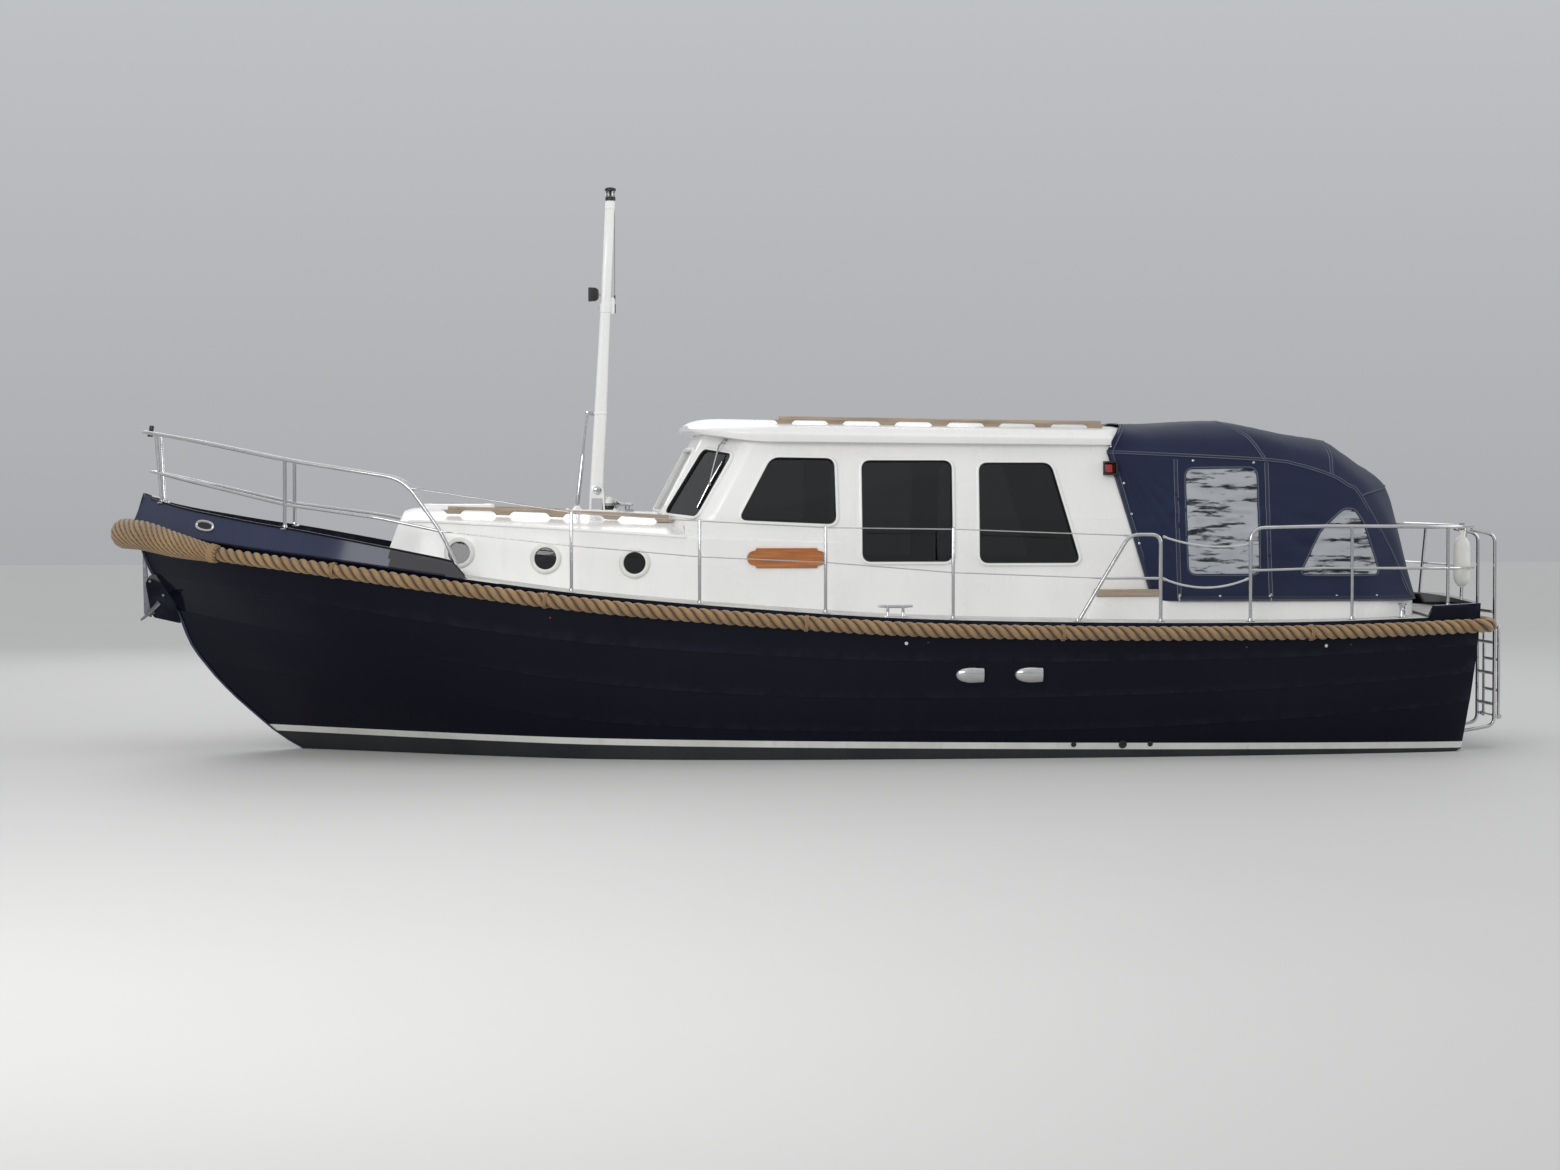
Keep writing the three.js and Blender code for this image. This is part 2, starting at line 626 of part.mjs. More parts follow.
// The windscreen has one wide pane ahead and one on each bow
const screenZ = [1782, 2212];
const screenPanes = [
  {
    name: 'windscreen_centre',
    at: [1600, 0],
    u: [0, 1, 0],
    corners: [[-520, 1782], [520, 1782], [495, 2222], [-495, 2222]],
  },
];
function cornerDirection(side) {
  const [, frontX, frontHalf, sideX, sideHalf] = houseTable[2];
  return new THREE.Vector3(sideX - frontX, side * (sideHalf - frontHalf), 0).normalize();
}
for (const side of [1, -1]) {
  const direction = cornerDirection(side);
  const length = Math.hypot(houseTable[2][3] - houseTable[2][1], houseTable[2][4] - houseTable[2][2]);
  const u = side > 0 ? direction.toArray() : direction.clone().negate().toArray();
  const span = side > 0 ? [62, length - 62] : [-length + 62, -62];
  const rise = side > 0 ? [-25, -30] : [30, 25];
  screenPanes.push({
    name: side > 0 ? 'windscreen_port' : 'windscreen_starboard',
    at: [houseTable[2][1], side * houseTable[2][2]],
    u,
    corners: [
      [span[0], screenZ[0] - (side > 0 ? 0 : 50)], [span[1], screenZ[0] - (side > 0 ? 50 : 0)],
      [span[1] + rise[1], screenZ[1] - 20], [span[0] + rise[0], screenZ[1] + (side > 0 ? 5 : -20)],
    ],
  });
}
const screenReach = 700;
function screenCutter({ at, u, corners }, grow) {
  const normal = new THREE.Vector3(...u).cross(new THREE.Vector3(0, 0, 1));
  const outline = roundedOutline(corners, 45, grow);
  const back = screenReach / 2 + (at[1] === 0 ? 500 : 0);
  const start = new THREE.Vector3(at[0], at[1], 0).addScaledVector(normal, -back);
  return prism(outline, screenReach, start.toArray(), u, [0, 0, 1]);
}
const screenCutters = screenPanes.map((pane) => screenCutter(pane, 0));
for (const pane of screenPanes) panes.push([pane.name, glassShell.intersect(screenCutter(pane, -paneGap))]);

const doorHole = sidePrism([
  [bulkheadX(400) - 200, 400], [bulkheadX(400) + 200, 400],
  [bulkheadX(doorHeadZ) + 200, doorHeadZ], [bulkheadX(doorHeadZ) - 200, doorHeadZ],
], doorHinge - doorWidth - 6, doorHinge + hingeGap);

let wheelhouse = cut(
  houseOuter, houseInnerTop, houseInnerLow, aboveRoof, ...sideCutters, ...screenCutters, doorHole,
);
wheelhouse = cut(wheelhouse, coachOuter.add(shifted(coachOuter, seatGap, 0, seatGap)));
wheelhouse = seated(wheelhouse, hull);
addPiece('wheelhouse', wheelhouse, finishes.whitePaint);
for (const [name, solid] of panes) addPiece(name, solid, finishes.glass);

// Door in the raked bulkhead, hung on its port edge, with a window
const doorOutline = sidePrism([
  [bulkheadX(doorZ[0]) + 2, doorZ[0]], [bulkheadX(doorZ[0]) + 34, doorZ[0]],
  [bulkheadX(doorZ[1]) + 34, doorZ[1]], [bulkheadX(doorZ[1]) + 2, doorZ[1]],
], doorHinge - doorWidth, doorHinge);
const doorWindow = block(-2700, -2100, doorHinge - doorWidth + 110, doorHinge - 110, 1420, 1940);
const doorPane = sidePrism([
  [bulkheadX(1400) + 15, 1400], [bulkheadX(1400) + 21, 1400],
  [bulkheadX(1960) + 21, 1960], [bulkheadX(1960) + 15, 1960],
], doorHinge - doorWidth + 90, doorHinge - 90);
addPiece('cabin_door', join(cut(doorOutline, doorWindow), doorPane), finishes.teak);

// Roof with a visor over the windscreen
// Columns: x, half-breadth, rise of the underside, edge height, shoulder half-breadth and height, crown
const roofTable = [
  [-2395, 420, 0, 2350, 300, 2395, 2412],
  [-2330, 860, 0, 2335, 640, 2392, 2416],
  [-2180, 1165, 0, 2322, 1010, 2380, 2422],
  [-1000, 1185, 0, 2335, 1030, 2395, 2445],
  [200, 1165, 0, 2352, 1010, 2412, 2462],
  [620, 1105, 0, 2368, 940, 2412, 2460],
  [850, 860, 0, 2372, 700, 2398, 2428],
  [930, 500, 40, 2376, 420, 2388, 2402],
];
const roof = loft(roofTable.map(([x, half, rise, edge, shoulder, shoulderZ, crown]) => [
  [x, 0, crown], [x, shoulder, shoulderZ], [x, half, edge], [x, half - 12, roofUnderAt(x) + rise],
  [x, 0, roofUnderAt(x) + rise],
]));
addPiece('wheelhouse_roof', roof, finishes.whitePaint);

// Cabin sole, engine, helm and seat
addPiece('cabin_sole', planPrism(cabinWellPlan.map(([x, y]) => [x - Math.sign(x) * 4, y * 0.994]),
  soleZ + seatGap, soleZ + 30), finishes.teak);
const engineBlock = block(-1620, -640, -330, 330, -320 + seatGap, 360);
addPiece('engine', engineBlock, finishes.iron);

const helm = { x: 560, y: -520, z: 1430, radius: 215, tilt: 0.35 };
const soleTop = soleZ + 30 + seatGap;
const helmConsole = sidePrism([
  [600, soleTop], [930, soleTop], [930, 1640], [840, 1690], [700, 1640], [600, 1330],
], -980, -120);
const helmAxis = [-Math.cos(helm.tilt), 0, Math.sin(helm.tilt)];
const helmCentre = [helm.x, helm.y, helm.z];
function ringAbout(centre, axis, radius, thickness, sides, turns) {
  const points = [];
  for (let i = 0; i <= turns; i += 1) {
    const angle = (2 * Math.PI * i) / turns;
    points.push([radius + thickness * Math.cos(angle), thickness * Math.sin(angle)]);
  }
  return turned(points, centre, axis, sides);
}
const spokeAt = (angle) => {
  const along = new THREE.Vector3(...helmAxis);
  const side = new THREE.Vector3(0, 1, 0);
  const up = new THREE.Vector3().crossVectors(along, side);
  const tip = new THREE.Vector3(...helmCentre)
    .addScaledVector(side, Math.cos(angle) * helm.radius)
    .addScaledVector(up, Math.sin(angle) * helm.radius);
  return tube([helmCentre, tip.toArray()], 9, 0, 6);
};
const helmWheel = join(
  ringAbout(helmCentre, helmAxis, helm.radius, 14, 20, 6),
  disc(38, -62, 24, helmCentre, helmAxis, 10),
  ...[0, 1, 2, 3, 4, 5].map((k) => spokeAt((k * Math.PI) / 3)),
);
const wheelBoss = disc(48, -180, -62 - seatGap, helmCentre, helmAxis, 10);
addPiece('helm_console', join(helmConsole, wheelBoss), finishes.teak);
addPiece('helm_wheel', helmWheel, finishes.teak);
const helmSeat = join(
  block(-180, 300, -760, -280, 900, 1000),
  block(-240, -130, -760, -280, 900, 1330),
  disc(45, soleTop, 910, [60, -520, 0], [0, 0, 1], 12),
  disc(160, soleTop, soleTop + 20, [60, -520, 0], [0, 0, 1], 12),
);
addPiece('helm_seat', helmSeat, finishes.leather);

// Cockpit benches and coaming
const benchBlock = cockpitWell(cockpit.aftX, cockpit.floorZ, cockpit.half, cockpit.benchZ, seatGap);
addPiece('cockpit_benches', cut(benchBlock, footWell), finishes.whitePaint);
const coamingTopZ = 1130;
const coamingOuter = 1280;
const coamingWall = 70;
function coamingRing(grow) {
  return planPrism([
    [-1960 + grow, coamingOuter + grow], [-4150, coamingOuter + grow], [-4430, 1120 + grow],
    [-4450 - grow, 1090 + grow], [-4450 - grow, -1090 - grow], [-4430, -1120 - grow],
    [-4150, -coamingOuter - grow], [-1960 + grow, -coamingOuter - grow],
  ], 850, 1215);
}
const coamingTrim = sidePrism([
  [-4700, coamingTopZ], [-2500, coamingTopZ], [-2470, 1190], [-2040, 1190], [-1960, 970], [-1500, 800],
  [-1500, 1500], [-4700, 1500],
], -1500, 1500);
const coamingBody = cut(
  coamingRing(0),
  coamingRing(-coamingWall).intersect(block(-4600, -2560, -1500, 1500, 500, 1600)),
  block(-2560, -1800, -coamingOuter + coamingWall, coamingOuter - coamingWall, 500, 1600),
  coamingTrim,
);
const coaming = seated(cut(coamingBody, wheelhouse), join(hull, benchBlock));
addPiece('cockpit_coaming', coaming, finishes.whitePaint);

// Canopy over the cockpit, a sewn cover on hoops
// Columns: x, height and half-breadth of the centre, shoulder, seam and hem, with their x offsets
const canopyTable = [
  { x: -2410, top: 2432, shoulder: [70, 760, 2404], seam: [195, 1085, 2312], hem: [-70, 1300, 1150] },
  { x: -3090, top: 2458, shoulder: [0, 760, 2428], seam: [0, 1085, 2318], hem: [0, 1312, 1112] },
  { x: -3600, top: 2378, shoulder: [0, 750, 2350], seam: [0, 1075, 2255], hem: [0, 1312, 1112] },
  { x: -4050, top: 2310, shoulder: [0, 730, 2275], seam: [20, 1050, 2120], hem: [-40, 1300, 1112] },
  { x: -4400, top: 2110, shoulder: [0, 690, 2075], seam: [40, 985, 1840], hem: [-60, 1150, 1112] },
  { x: -4590, top: 1760, shoulder: [0, 620, 1740], seam: [10, 860, 1560], hem: [-10, 1000, 1112] },
];
function canopySection({ x, top, shoulder, seam, hem }, wall) {
  const lip = wall > 0 ? 900 : hem[2];
  return [
    [x + (x < -4500 ? wall : 0), 0, top - wall],
    [x + shoulder[0] + (x < -4500 ? wall : 0), shoulder[1] - wall * 0.3, shoulder[2] - wall],
    [x + seam[0] + (x < -4500 ? wall : 0), seam[1] - wall, seam[2] - wall * 0.5],
    [x + hem[0] + (x < -4500 ? wall : 0), hem[1] - wall, lip],
  ];
}
const canopyWall = 12;
const canopyOuter = loft(canopyTable.map((row) => canopySection(row, 0)));
const canopyInner = loft([
  canopySection({ ...canopyTable[0], x: -2300 }, canopyWall),
  ...canopyTable.map((row) => canopySection(row, canopyWall)),
]);
const canopy = cut(
  canopyOuter, canopyInner, coamingRing(0.4).intersect(block(-4700, -2000, -1400, 1400, 900, 1200)),
  shifted(roof, -2, 0, 0), shifted(wheelhouse, -2, 0, 0), block(-4800, -4452, -1500, 1500, 1000, 1112),
);
addPiece('canopy', canopy, finishes.canvas);

// Rails
const railY = (x) => sheerHalfAt(x) - railInset;
const deckZ = (x) => sheerHeightAt(x);
const both = (build) => join(build, mirrored(build));
const capAt = (x) => {
  const [, [px, py, pz]] = hullSection(x);
  return [px, py - bulwarkWall / 2, pz];
};
const pulpitFeet = [3870, 4815].map(capAt);
const lowered = ([x, y, z]) => [x, y, z - 20];
const pulpitTop = [
  [2560, railY(2560) + 30, 1290], [2700, railY(2700) + 20, 1620], [2980, railY(2980) + 20, 2015],
  [pulpitFeet[0][0], pulpitFeet[0][1], 2153], [4480, 590, 2290], [4880, 200, 2360], [4915, 0, 2362],
];
const pulpitLow = [
  [2700, railY(2700) + 20, 1640], [3150, railY(3150) + 25, 1735], [pulpitFeet[0][0], pulpitFeet[0][1], 1830],
  [4480, 580, 1985], [4830, 205, 2068], [4865, 0, 2070],
];
const pulpitFrame = join(
  tube(across(pulpitTop), railRadius, 140, 6, 3),
  tube(across(pulpitLow), railRadius * 0.8, 80),
  both(tube([lowered(pulpitFeet[0]), [pulpitFeet[0][0], pulpitFeet[0][1], 2150]])),
  both(tube([lowered(pulpitFeet[1]), [4800, 278, 2345]])),
);
const pulpit = cut(pulpitFrame, grown(hull));
addPiece('pulpit', pulpit, finishes.steel);

// Columns: stanchion x, height of its top, height of the lower wire
const stanchions = [
  [1790, 1788, 1540],
  [880, 1728, 1461],
  [-20, 1680, 1420],
  [-940, 1668, 1345],
];
const gate = { footX: -1850, riseX: -2230, topZ: 1615, endX: -2460, barZ: 1300 };
const upperWire = [
  [2930, railY(2930) + 20, 1950],
  ...stanchions.map(([x, top]) => [x, railY(x), top - 12]),
  [gate.riseX - 20, railY(gate.riseX), gate.topZ - 8],
];
const lowerWire = [
  [2715, railY(2715) + 20, 1642],
  ...stanchions.map(([x, , low]) => [x, railY(x), low]),
  [gate.riseX + 190, railY(gate.riseX), gate.barZ],
];
const lifelineHalf = join(
  ...stanchions.map(([x, top]) => tube([[x, railY(x), deckZ(x) - 60], [x, railY(x), top]])),
  ...stanchions.map(([x]) => disc(38, -30, 8, [x, railY(x), deckZ(x)], [0, 0, 1], 8)),
  tube(upperWire, wireRadius, 0, 6),
  tube(lowerWire, wireRadius, 0, 6),
  tube([
    [gate.footX, railY(gate.footX), deckZ(gate.footX) - 50], [gate.riseX, railY(gate.riseX), gate.topZ],
    [gate.endX, railY(gate.endX), gate.topZ], [gate.endX, railY(gate.endX), deckZ(gate.endX) - 50],
  ], railRadius, 70),
  tube([
    [gate.riseX + 200, railY(gate.riseX), gate.barZ], [gate.endX, railY(gate.endX), gate.barZ],
  ], 10, 0, 6),
);
const pulpitClearance = join(pulpitFrame, shifted(pulpitFrame, 0.6, 0, 0));
const lifelines = (solid) => seated(cut(solid, pulpitClearance), hull);
addPiece('lifelines_port', lifelines(lifelineHalf), finishes.steel);
addPiece('lifelines_starboard', lifelines(mirrored(lifelineHalf)), finishes.steel);

const sternTopZ = 1665;
const sternRun = (z) => [
  [-3700, railY(-3700), z + 8], [-4450, 1340, z + 2], [-4760, 1215, z], [-4945, 960, z - 2],
  [-5000, 400, z - 2], [-5005, 0, z - 2],
];
const sternTop = [[-3130, railY(-3130), 900], [-3130, railY(-3130), sternTopZ - 4], ...sternRun(sternTopZ)];
const sternFrame = join(
  tube(across(sternTop), railRadius, 110),
  tube(across([[-3130, railY(-3130), 1352], ...sternRun(1360)]), railRadius * 0.8, 80),
  ...[[-3900, railY(-3900)], [-4660, 1255]].map(([x, y]) => both(tube([[x, y, 850], [x, y, sternTopZ]]))),
  both(tube([[-4935, 600, 950], [-4990, 560, sternTopZ - 4]])),
);
const sternRail = seated(sternFrame, hull);
addPiece('stern_rail', sternRail, finishes.steel);

// Two covered lines close each side gate, hung between the gate frame and the stern rail
// Columns: name, height at the gate frame, height at the stern rail, sag
const gateLines = [
  ['upper', 1606, 1545, 45],
  ['lower', 1304, 1300, 72],
];
const gateLineRadius = 8;
for (const [name, foreZ, aftZ, sag] of gateLines) {
  const from = new THREE.Vector3(gate.endX, railY(gate.endX), foreZ);
  const to = new THREE.Vector3(-3130, railY(-3130), aftZ);
  const points = [];
  for (let i = 0; i <= 12; i += 1) {
    const t = i / 12;
    const point = from.clone().lerp(to, t);
    point.z -= 4 * sag * t * (1 - t);
    points.push(point.toArray());
  }
  const line = cut(tube(points, gateLineRadius, 0, 8), grown(lifelineHalf), grown(sternFrame));
  addPiece(`gate_line_${name}_port`, line, finishes.steel);
  addPiece(`gate_line_${name}_starboard`, mirrored(line), finishes.steel);
}

// Swim ladder on the transom: a fixed frame, and a lower half folded up behind it
const ladder = { y0: 400, y1: 850, x: -5130, hingeZ: 240, foldX: -5172, foldTop: 920 };
const ladderStile = (y) => tube([
  [-4940, y, 1640], [ladder.x, y, 1600], [ladder.x, y, 175], [-4780, y, 115],
], railRadius, 60);
const hingeLug = (y) => cut(
  block(ladder.foldX - 18, ladder.x, y - 5, y + 5, ladder.hingeZ - 18, ladder.hingeZ + 18),
  disc(9, y - 10, y + 10, [ladder.foldX, 0, ladder.hingeZ], [0, 1, 0], 12),
);
const ladderFixed = join(
  ladderStile(ladder.y0), ladderStile(ladder.y1), hingeLug(ladder.y0), hingeLug(ladder.y1),
  ...[330, 560, 790, 1020].map((z) => tube([[ladder.x, ladder.y0, z], [ladder.x, ladder.y1, z]], 11, 0, 6)),
);
const ladderEnd = block(-4955, -4700, 0, 1400, 1500, 1700);
addPiece('ladder_fixed', cut(ladderFixed, hullSkin, grown(sternFrame), ladderEnd), finishes.steel);
const fold = { y0: ladder.y0 + 30, y1: ladder.y1 - 30 };
const foldStile = (y) => tube([
  [ladder.foldX, y, ladder.hingeZ - 20], [ladder.foldX, y, ladder.foldTop],
], 11, 0, 8);
const ladderFold = join(
  foldStile(fold.y0), foldStile(fold.y1),
  ...[ladder.hingeZ + 190, ladder.hingeZ + 420, ladder.foldTop - 20].map((z) =>
    tube([[ladder.foldX, fold.y0, z], [ladder.foldX, fold.y1, z]], 10, 0, 6)),
  tube([
    [ladder.foldX, ladder.y0 - 12, ladder.hingeZ], [ladder.foldX, ladder.y1 + 12, ladder.hingeZ],
  ], 8, 0, 8),
);
addPiece('ladder_folding', ladderFold, finishes.steel);

// Mast in its tabernacle, with its lamp and the gas strut ahead of it
const mastPivot = [1540, 0, 1930];
const mastTop = [1436, 0, 4105];
const mastLean = Math.atan2(mastPivot[0] - mastTop[0], mastTop[2] - mastPivot[2]);
const mastHalf = { foot: 54, top: 43, width: 38 };
const mastLength = Math.hypot(mastTop[0] - mastPivot[0], mastTop[2] - mastPivot[2]);
function mastFrame(solid) {
  return solid.rotate([0, (-mastLean * 180) / Math.PI, 0]).translate(mastPivot);
}
const mastProfile = (() => {
  const shape = new THREE.Shape();
  shape.moveTo(mastHalf.foot, 0);
  shape.lineTo(mastHalf.top, mastLength);
  shape.lineTo(-mastHalf.top, mastLength);
  shape.lineTo(-mastHalf.foot, 0);
  shape.absarc(0, 0, mastHalf.foot, Math.PI, 2 * Math.PI, false);
  return shape;
})();
const mastBody = mastFrame(sidePrism(mastProfile, -mastHalf.width, mastHalf.width));
const strutTop = [1570 + 42, 0, 2510];
const strutFoot = [1690, 0, 1800];
const mastLug = tube([[1528, 0, 2540], strutTop], 9, 0, 6);
const floodLamp = join(
  block(1560, 1640, -42, 42, 3520, 3610),
  block(1490, 1570, -14, 14, 3545, 3570),
);
const mastBolt = disc(9, -mastHalf.width - 20, mastHalf.width + 20, mastPivot, [0, 1, 0], 10);
addPiece('mast', join(mastBody, mastLug, floodLamp, mastBolt), finishes.whitePaint);
const lampBase = [mastTop[0], 0, mastTop[2] + seatGap];
addPiece('masthead_light', turned(
  [[0, 0], [30, 0], [34, 20], [27, 26], [27, 70], [38, 74], [34, 96], [0, 104]], lampBase,
  [-Math.sin(mastLean), 0, Math.cos(mastLean)], 8,
), finishes.plastic);
const cheekOutline = (() => {
  const shape = new THREE.Shape();
  shape.moveTo(mastPivot[0] - 62, 1700);
  shape.lineTo(mastPivot[0] + 62, 1700);
  shape.lineTo(mastPivot[0] + 48, mastPivot[2]);
  shape.absarc(mastPivot[0], mastPivot[2], 48, 0, Math.PI, false);
  return shape;
})();
const tabernacleRaw = join(
  sidePrism(cheekOutline, mastHalf.width + 5, mastHalf.width + 13),
  sidePrism(cheekOutline, -mastHalf.width - 13, -mastHalf.width - 5),
  block(1380, 1790, -120, 120, 1740, 1784),
  block(1655, 1725, -30, -18, 1770, 1815),
  block(1655, 1725, 18, 30, 1770, 1815),
);
const tabernacle = seated(cut(
  tabernacleRaw,
  disc(10, -90, 90, mastPivot, [0, 1, 0], 16),
  disc(6.6, -60, 60, strutFoot, [0, 1, 0], 12),
), coachTop);
addPiece('tabernacle', tabernacle, finishes.steel);

// The gas strut: a cylinder on the foot lugs, and a rod that ends in an eye at the mast
const strut = new THREE.Vector3(strutTop[0] - strutFoot[0], 0, strutTop[2] - strutFoot[2]);
const strutLength = strut.length();
const strutDirection = strut.clone().normalize();
const cylinderLength = strutLength * 0.57;
const along = (distance) =>
  new THREE.Vector3(...strutFoot).addScaledVector(strutDirection, distance).toArray();
const cylinderProfile = [
  [0, 10], [14, 16], [14, cylinderLength], [5.6, cylinderLength], [5.6, 30], [0, 30],
];
const strutCylinder = join(
  turned(cylinderProfile, strutFoot, strutDirection.toArray(), 12),
  disc(11, -12, 12, strutFoot, [0, 1, 0], 12),
  disc(6, -33, 33, strutFoot, [0, 1, 0], 10),
);
addPiece('strut_cylinder', strutCylinder, finishes.plastic);
const rodReach = [cylinderLength - 60, strutLength - 16];
addPiece('strut_rod', tube([along(rodReach[0]), along(rodReach[1])], 5, 0, 8), finishes.steel);

// Horn and searchlight behind the mast
const searchlight = seated(join(
  turned([[0, 0], [38, 0], [38, 40], [26, 68], [0, 80]], [1455, 0, 1784], [0, 0, 1], 12),
), tabernacle);
addPiece('horn', searchlight, finishes.steel);

// Teak handrails on feet
function handrail(stations, y, height, feet, carrier) {
  const outer = stations.map(([x, z]) => [x, z + height]);
  const run = [];
  for (let i = 0; i < outer.length; i += 1) run.push([outer[i][0], y(outer[i][0]), outer[i][1]]);
  const rail = tube(run, 17, 0, 6);
  const legs = feet.map((x) => {
    const z = stationHeight(stations, x);
    return block(x - 55, x + 55, y(x) - 15, y(x) + 15, z - 40, z + height);
  });
  return seated(join(rail, ...legs), carrier);
}
function stationHeight(stations, x) {
  const rising = stations[0][0] < stations.at(-1)[0] ? stations : [...stations].reverse();
  return straightAt(rising, x);
}
const coachRailY = (x) => 0.62 * straightAt([[900, 1150], [1800, 1085], [2550, 935], [3150, 760]], x) + 60;
const coachRailRun = [[1035, 1718], [2670, 1768]];
const coachRailFeet = [1085, 1470, 1870, 2260, 2620];
const coachRail = handrail(coachRailRun, coachRailY, 48, coachRailFeet, coachTop);
addPiece('coach_rail_port', coachRail, finishes.teak);
addPiece('coach_rail_starboard', mirrored(coachRail), finishes.teak);
const roofRailRun = [[-2150, 2398], [-1000, 2410], [260, 2427]];
const roofRailFeet = [-2095, -1710, -1325, -940, -555, -170, 205];
const roofRail = handrail(roofRailRun, () => 880, 48, roofRailFeet, roof);
addPiece('roof_rail_port', roofRail, finishes.teak);
addPiece('roof_rail_starboard', mirrored(roofRail), finishes.teak);

// Mooring gear
function doublePost(x, y, carrier) {
  const z = deckZ(x);
  const post = (dx) => disc(15, -40, 95, [x + dx, y, z], [0, 0, 1], 10);
  return seated(join(
    post(-55), post(55),
    tube([[x - 120, y, z + 72], [x + 120, y, z + 72]], 12, 0, 8),
    block(x - 90, x + 90, y - 32, y + 32, z - 30, z + 22),
  ), carrier);
}
const midCleatX = -530;
const midCleat = doublePost(midCleatX, sheerHalfAt(midCleatX) - 130, hull);
addPiece('cleat_mid_port', midCleat, finishes.steel);
addPiece('cleat_mid_starboard', mirrored(midCleat), finishes.steel);
const sternBollard = (x, y) => seated(join(
  disc(22, -60, 100, [x, y, deckZ(x)], [0, 0, 1], 12),
  disc(32, 92, 104, [x, y, deckZ(x)], [0, 0, 1], 12),
  disc(45, -40, 30, [x, y, deckZ(x)], [0, 0, 1], 12),
), hull);
const aftBollard = sternBollard(-4300, 1320);
addPiece('bollard_aft_port', aftBollard, finishes.steel);
addPiece('bollard_aft_starboard', mirrored(aftBollard), finishes.steel);
const foreBitts = seated(join(
  disc(38, -80, 190, [3720, 110, 1490], [0, 0, 1], 12),
  disc(38, -80, 190, [3720, -110, 1490], [0, 0, 1], 12),
  tube([[3720, -220, 1630], [3720, 220, 1630]], 20, 0, 8),
), hull);
addPiece('fore_bitts', foreBitts, finishes.steel);

// Anchor stowed ahead of the stem
const anchor = join(
  sidePrism([[4870, 1470], [4925, 1465], [4800, 1010], [4772, 1000], [4765, 1030]], -12, 12),
  prism(
    [[0, 0], [150, 190], [60, 120], [-60, 120], [-150, 190]], 16, [4778, 0, 985], [0, 1, 0], [0.35, 0, 0.94],
  ),
);
addPiece('anchor', cut(anchor, hullSkin, grown(bowFender)), finishes.galvanised);

// Running gear
const propeller = { x: -3760, radius: 225, hub: 48 };
const shaft = disc(20, 0, 520, [propeller.x + 30, 0, shaftZ], [1, 0, 0], 12);
const propHub = turned([
  [0, -60], [26, -50], [propeller.hub, 0], [propeller.hub, 70], [0, 70],
], [propeller.x, 0, shaftZ], [1, 0, 0], 14);
function blade(angle) {
  const outline = new THREE.Shape();
  const tip = propeller.radius - 25;
  outline.moveTo(-40, 20);
  outline.quadraticCurveTo(-125, 120, -70, tip);
  outline.quadraticCurveTo(0, tip + 45, 70, tip);
  outline.quadraticCurveTo(125, 120, 40, 20);
  const twist = 0.55;
  const u = [Math.sin(twist), Math.cos(twist), 0];
  const solid = prism(outline, 9, [0, 0, 0], u, [0, 0, 1]);
  return solid.rotate([(angle * 180) / Math.PI, 0, 0]).translate([propeller.x + 32, 0, shaftZ]);
}
const blades = [0, 1, 2, 3].map((k) => blade((k * Math.PI) / 2));
addPiece('propeller', join(shaft, propHub, ...blades), finishes.bronze);
const rudderBlade = sidePrism([
  [-4095, -300], [-4420, -250], [-4620, -300], [-4640, -780], [-4560, -860], [-4110, -866],
], -20, 20);
const rudder = join(
  rudderBlade,
  disc(20, -866, 100, [rudderStockX, 0, 0], [0, 0, 1], 12),
  disc(14, -880 + seatGap, -860, [rudderStockX, 0, 0], [0, 0, 1], 10),
);
addPiece('rudder', rudder, finishes.navyPaint);

// Fender hung inside the stern rail
const hungFender = turned([
  [0, 0], [40, 20], [62, 70], [62, 330], [40, 385], [18, 400], [18, 425], [0, 425],
], [-4836, 998, 1212], [0, 0, 1], 10);
addPiece('hung_fender', cut(hungFender, grown(sternFrame)), finishes.whitePaint);

export default group;
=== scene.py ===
import bpy
import bmesh
import json
from math import atan2, copysign, cos, pi, radians, sin, sqrt
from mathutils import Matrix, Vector, noise

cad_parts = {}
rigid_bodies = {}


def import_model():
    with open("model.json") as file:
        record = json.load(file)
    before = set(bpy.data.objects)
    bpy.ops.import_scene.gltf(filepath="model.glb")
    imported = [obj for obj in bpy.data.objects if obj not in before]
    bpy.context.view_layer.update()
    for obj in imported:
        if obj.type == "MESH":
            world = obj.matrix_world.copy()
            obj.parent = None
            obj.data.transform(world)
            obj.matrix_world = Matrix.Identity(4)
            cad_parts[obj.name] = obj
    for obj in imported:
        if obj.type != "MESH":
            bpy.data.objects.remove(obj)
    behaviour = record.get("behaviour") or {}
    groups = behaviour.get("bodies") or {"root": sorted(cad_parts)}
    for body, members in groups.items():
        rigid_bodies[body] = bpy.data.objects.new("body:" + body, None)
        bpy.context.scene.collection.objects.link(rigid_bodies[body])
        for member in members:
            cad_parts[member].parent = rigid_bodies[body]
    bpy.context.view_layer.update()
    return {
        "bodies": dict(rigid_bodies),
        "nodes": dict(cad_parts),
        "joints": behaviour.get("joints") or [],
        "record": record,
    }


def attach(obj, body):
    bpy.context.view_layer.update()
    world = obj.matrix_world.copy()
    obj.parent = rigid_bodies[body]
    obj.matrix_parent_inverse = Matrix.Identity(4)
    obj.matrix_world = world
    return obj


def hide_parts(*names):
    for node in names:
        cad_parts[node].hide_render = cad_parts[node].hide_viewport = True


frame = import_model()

# Tables are in millimetres: +X to the bow, +Y to port, +Z up from the waterline amidships.
mm = 0.001
upright, level = ((1, 0, 0), (0, 0, 1)), ((1, 0, 0), (0, 1, 0))  # planes that outlines are drawn on
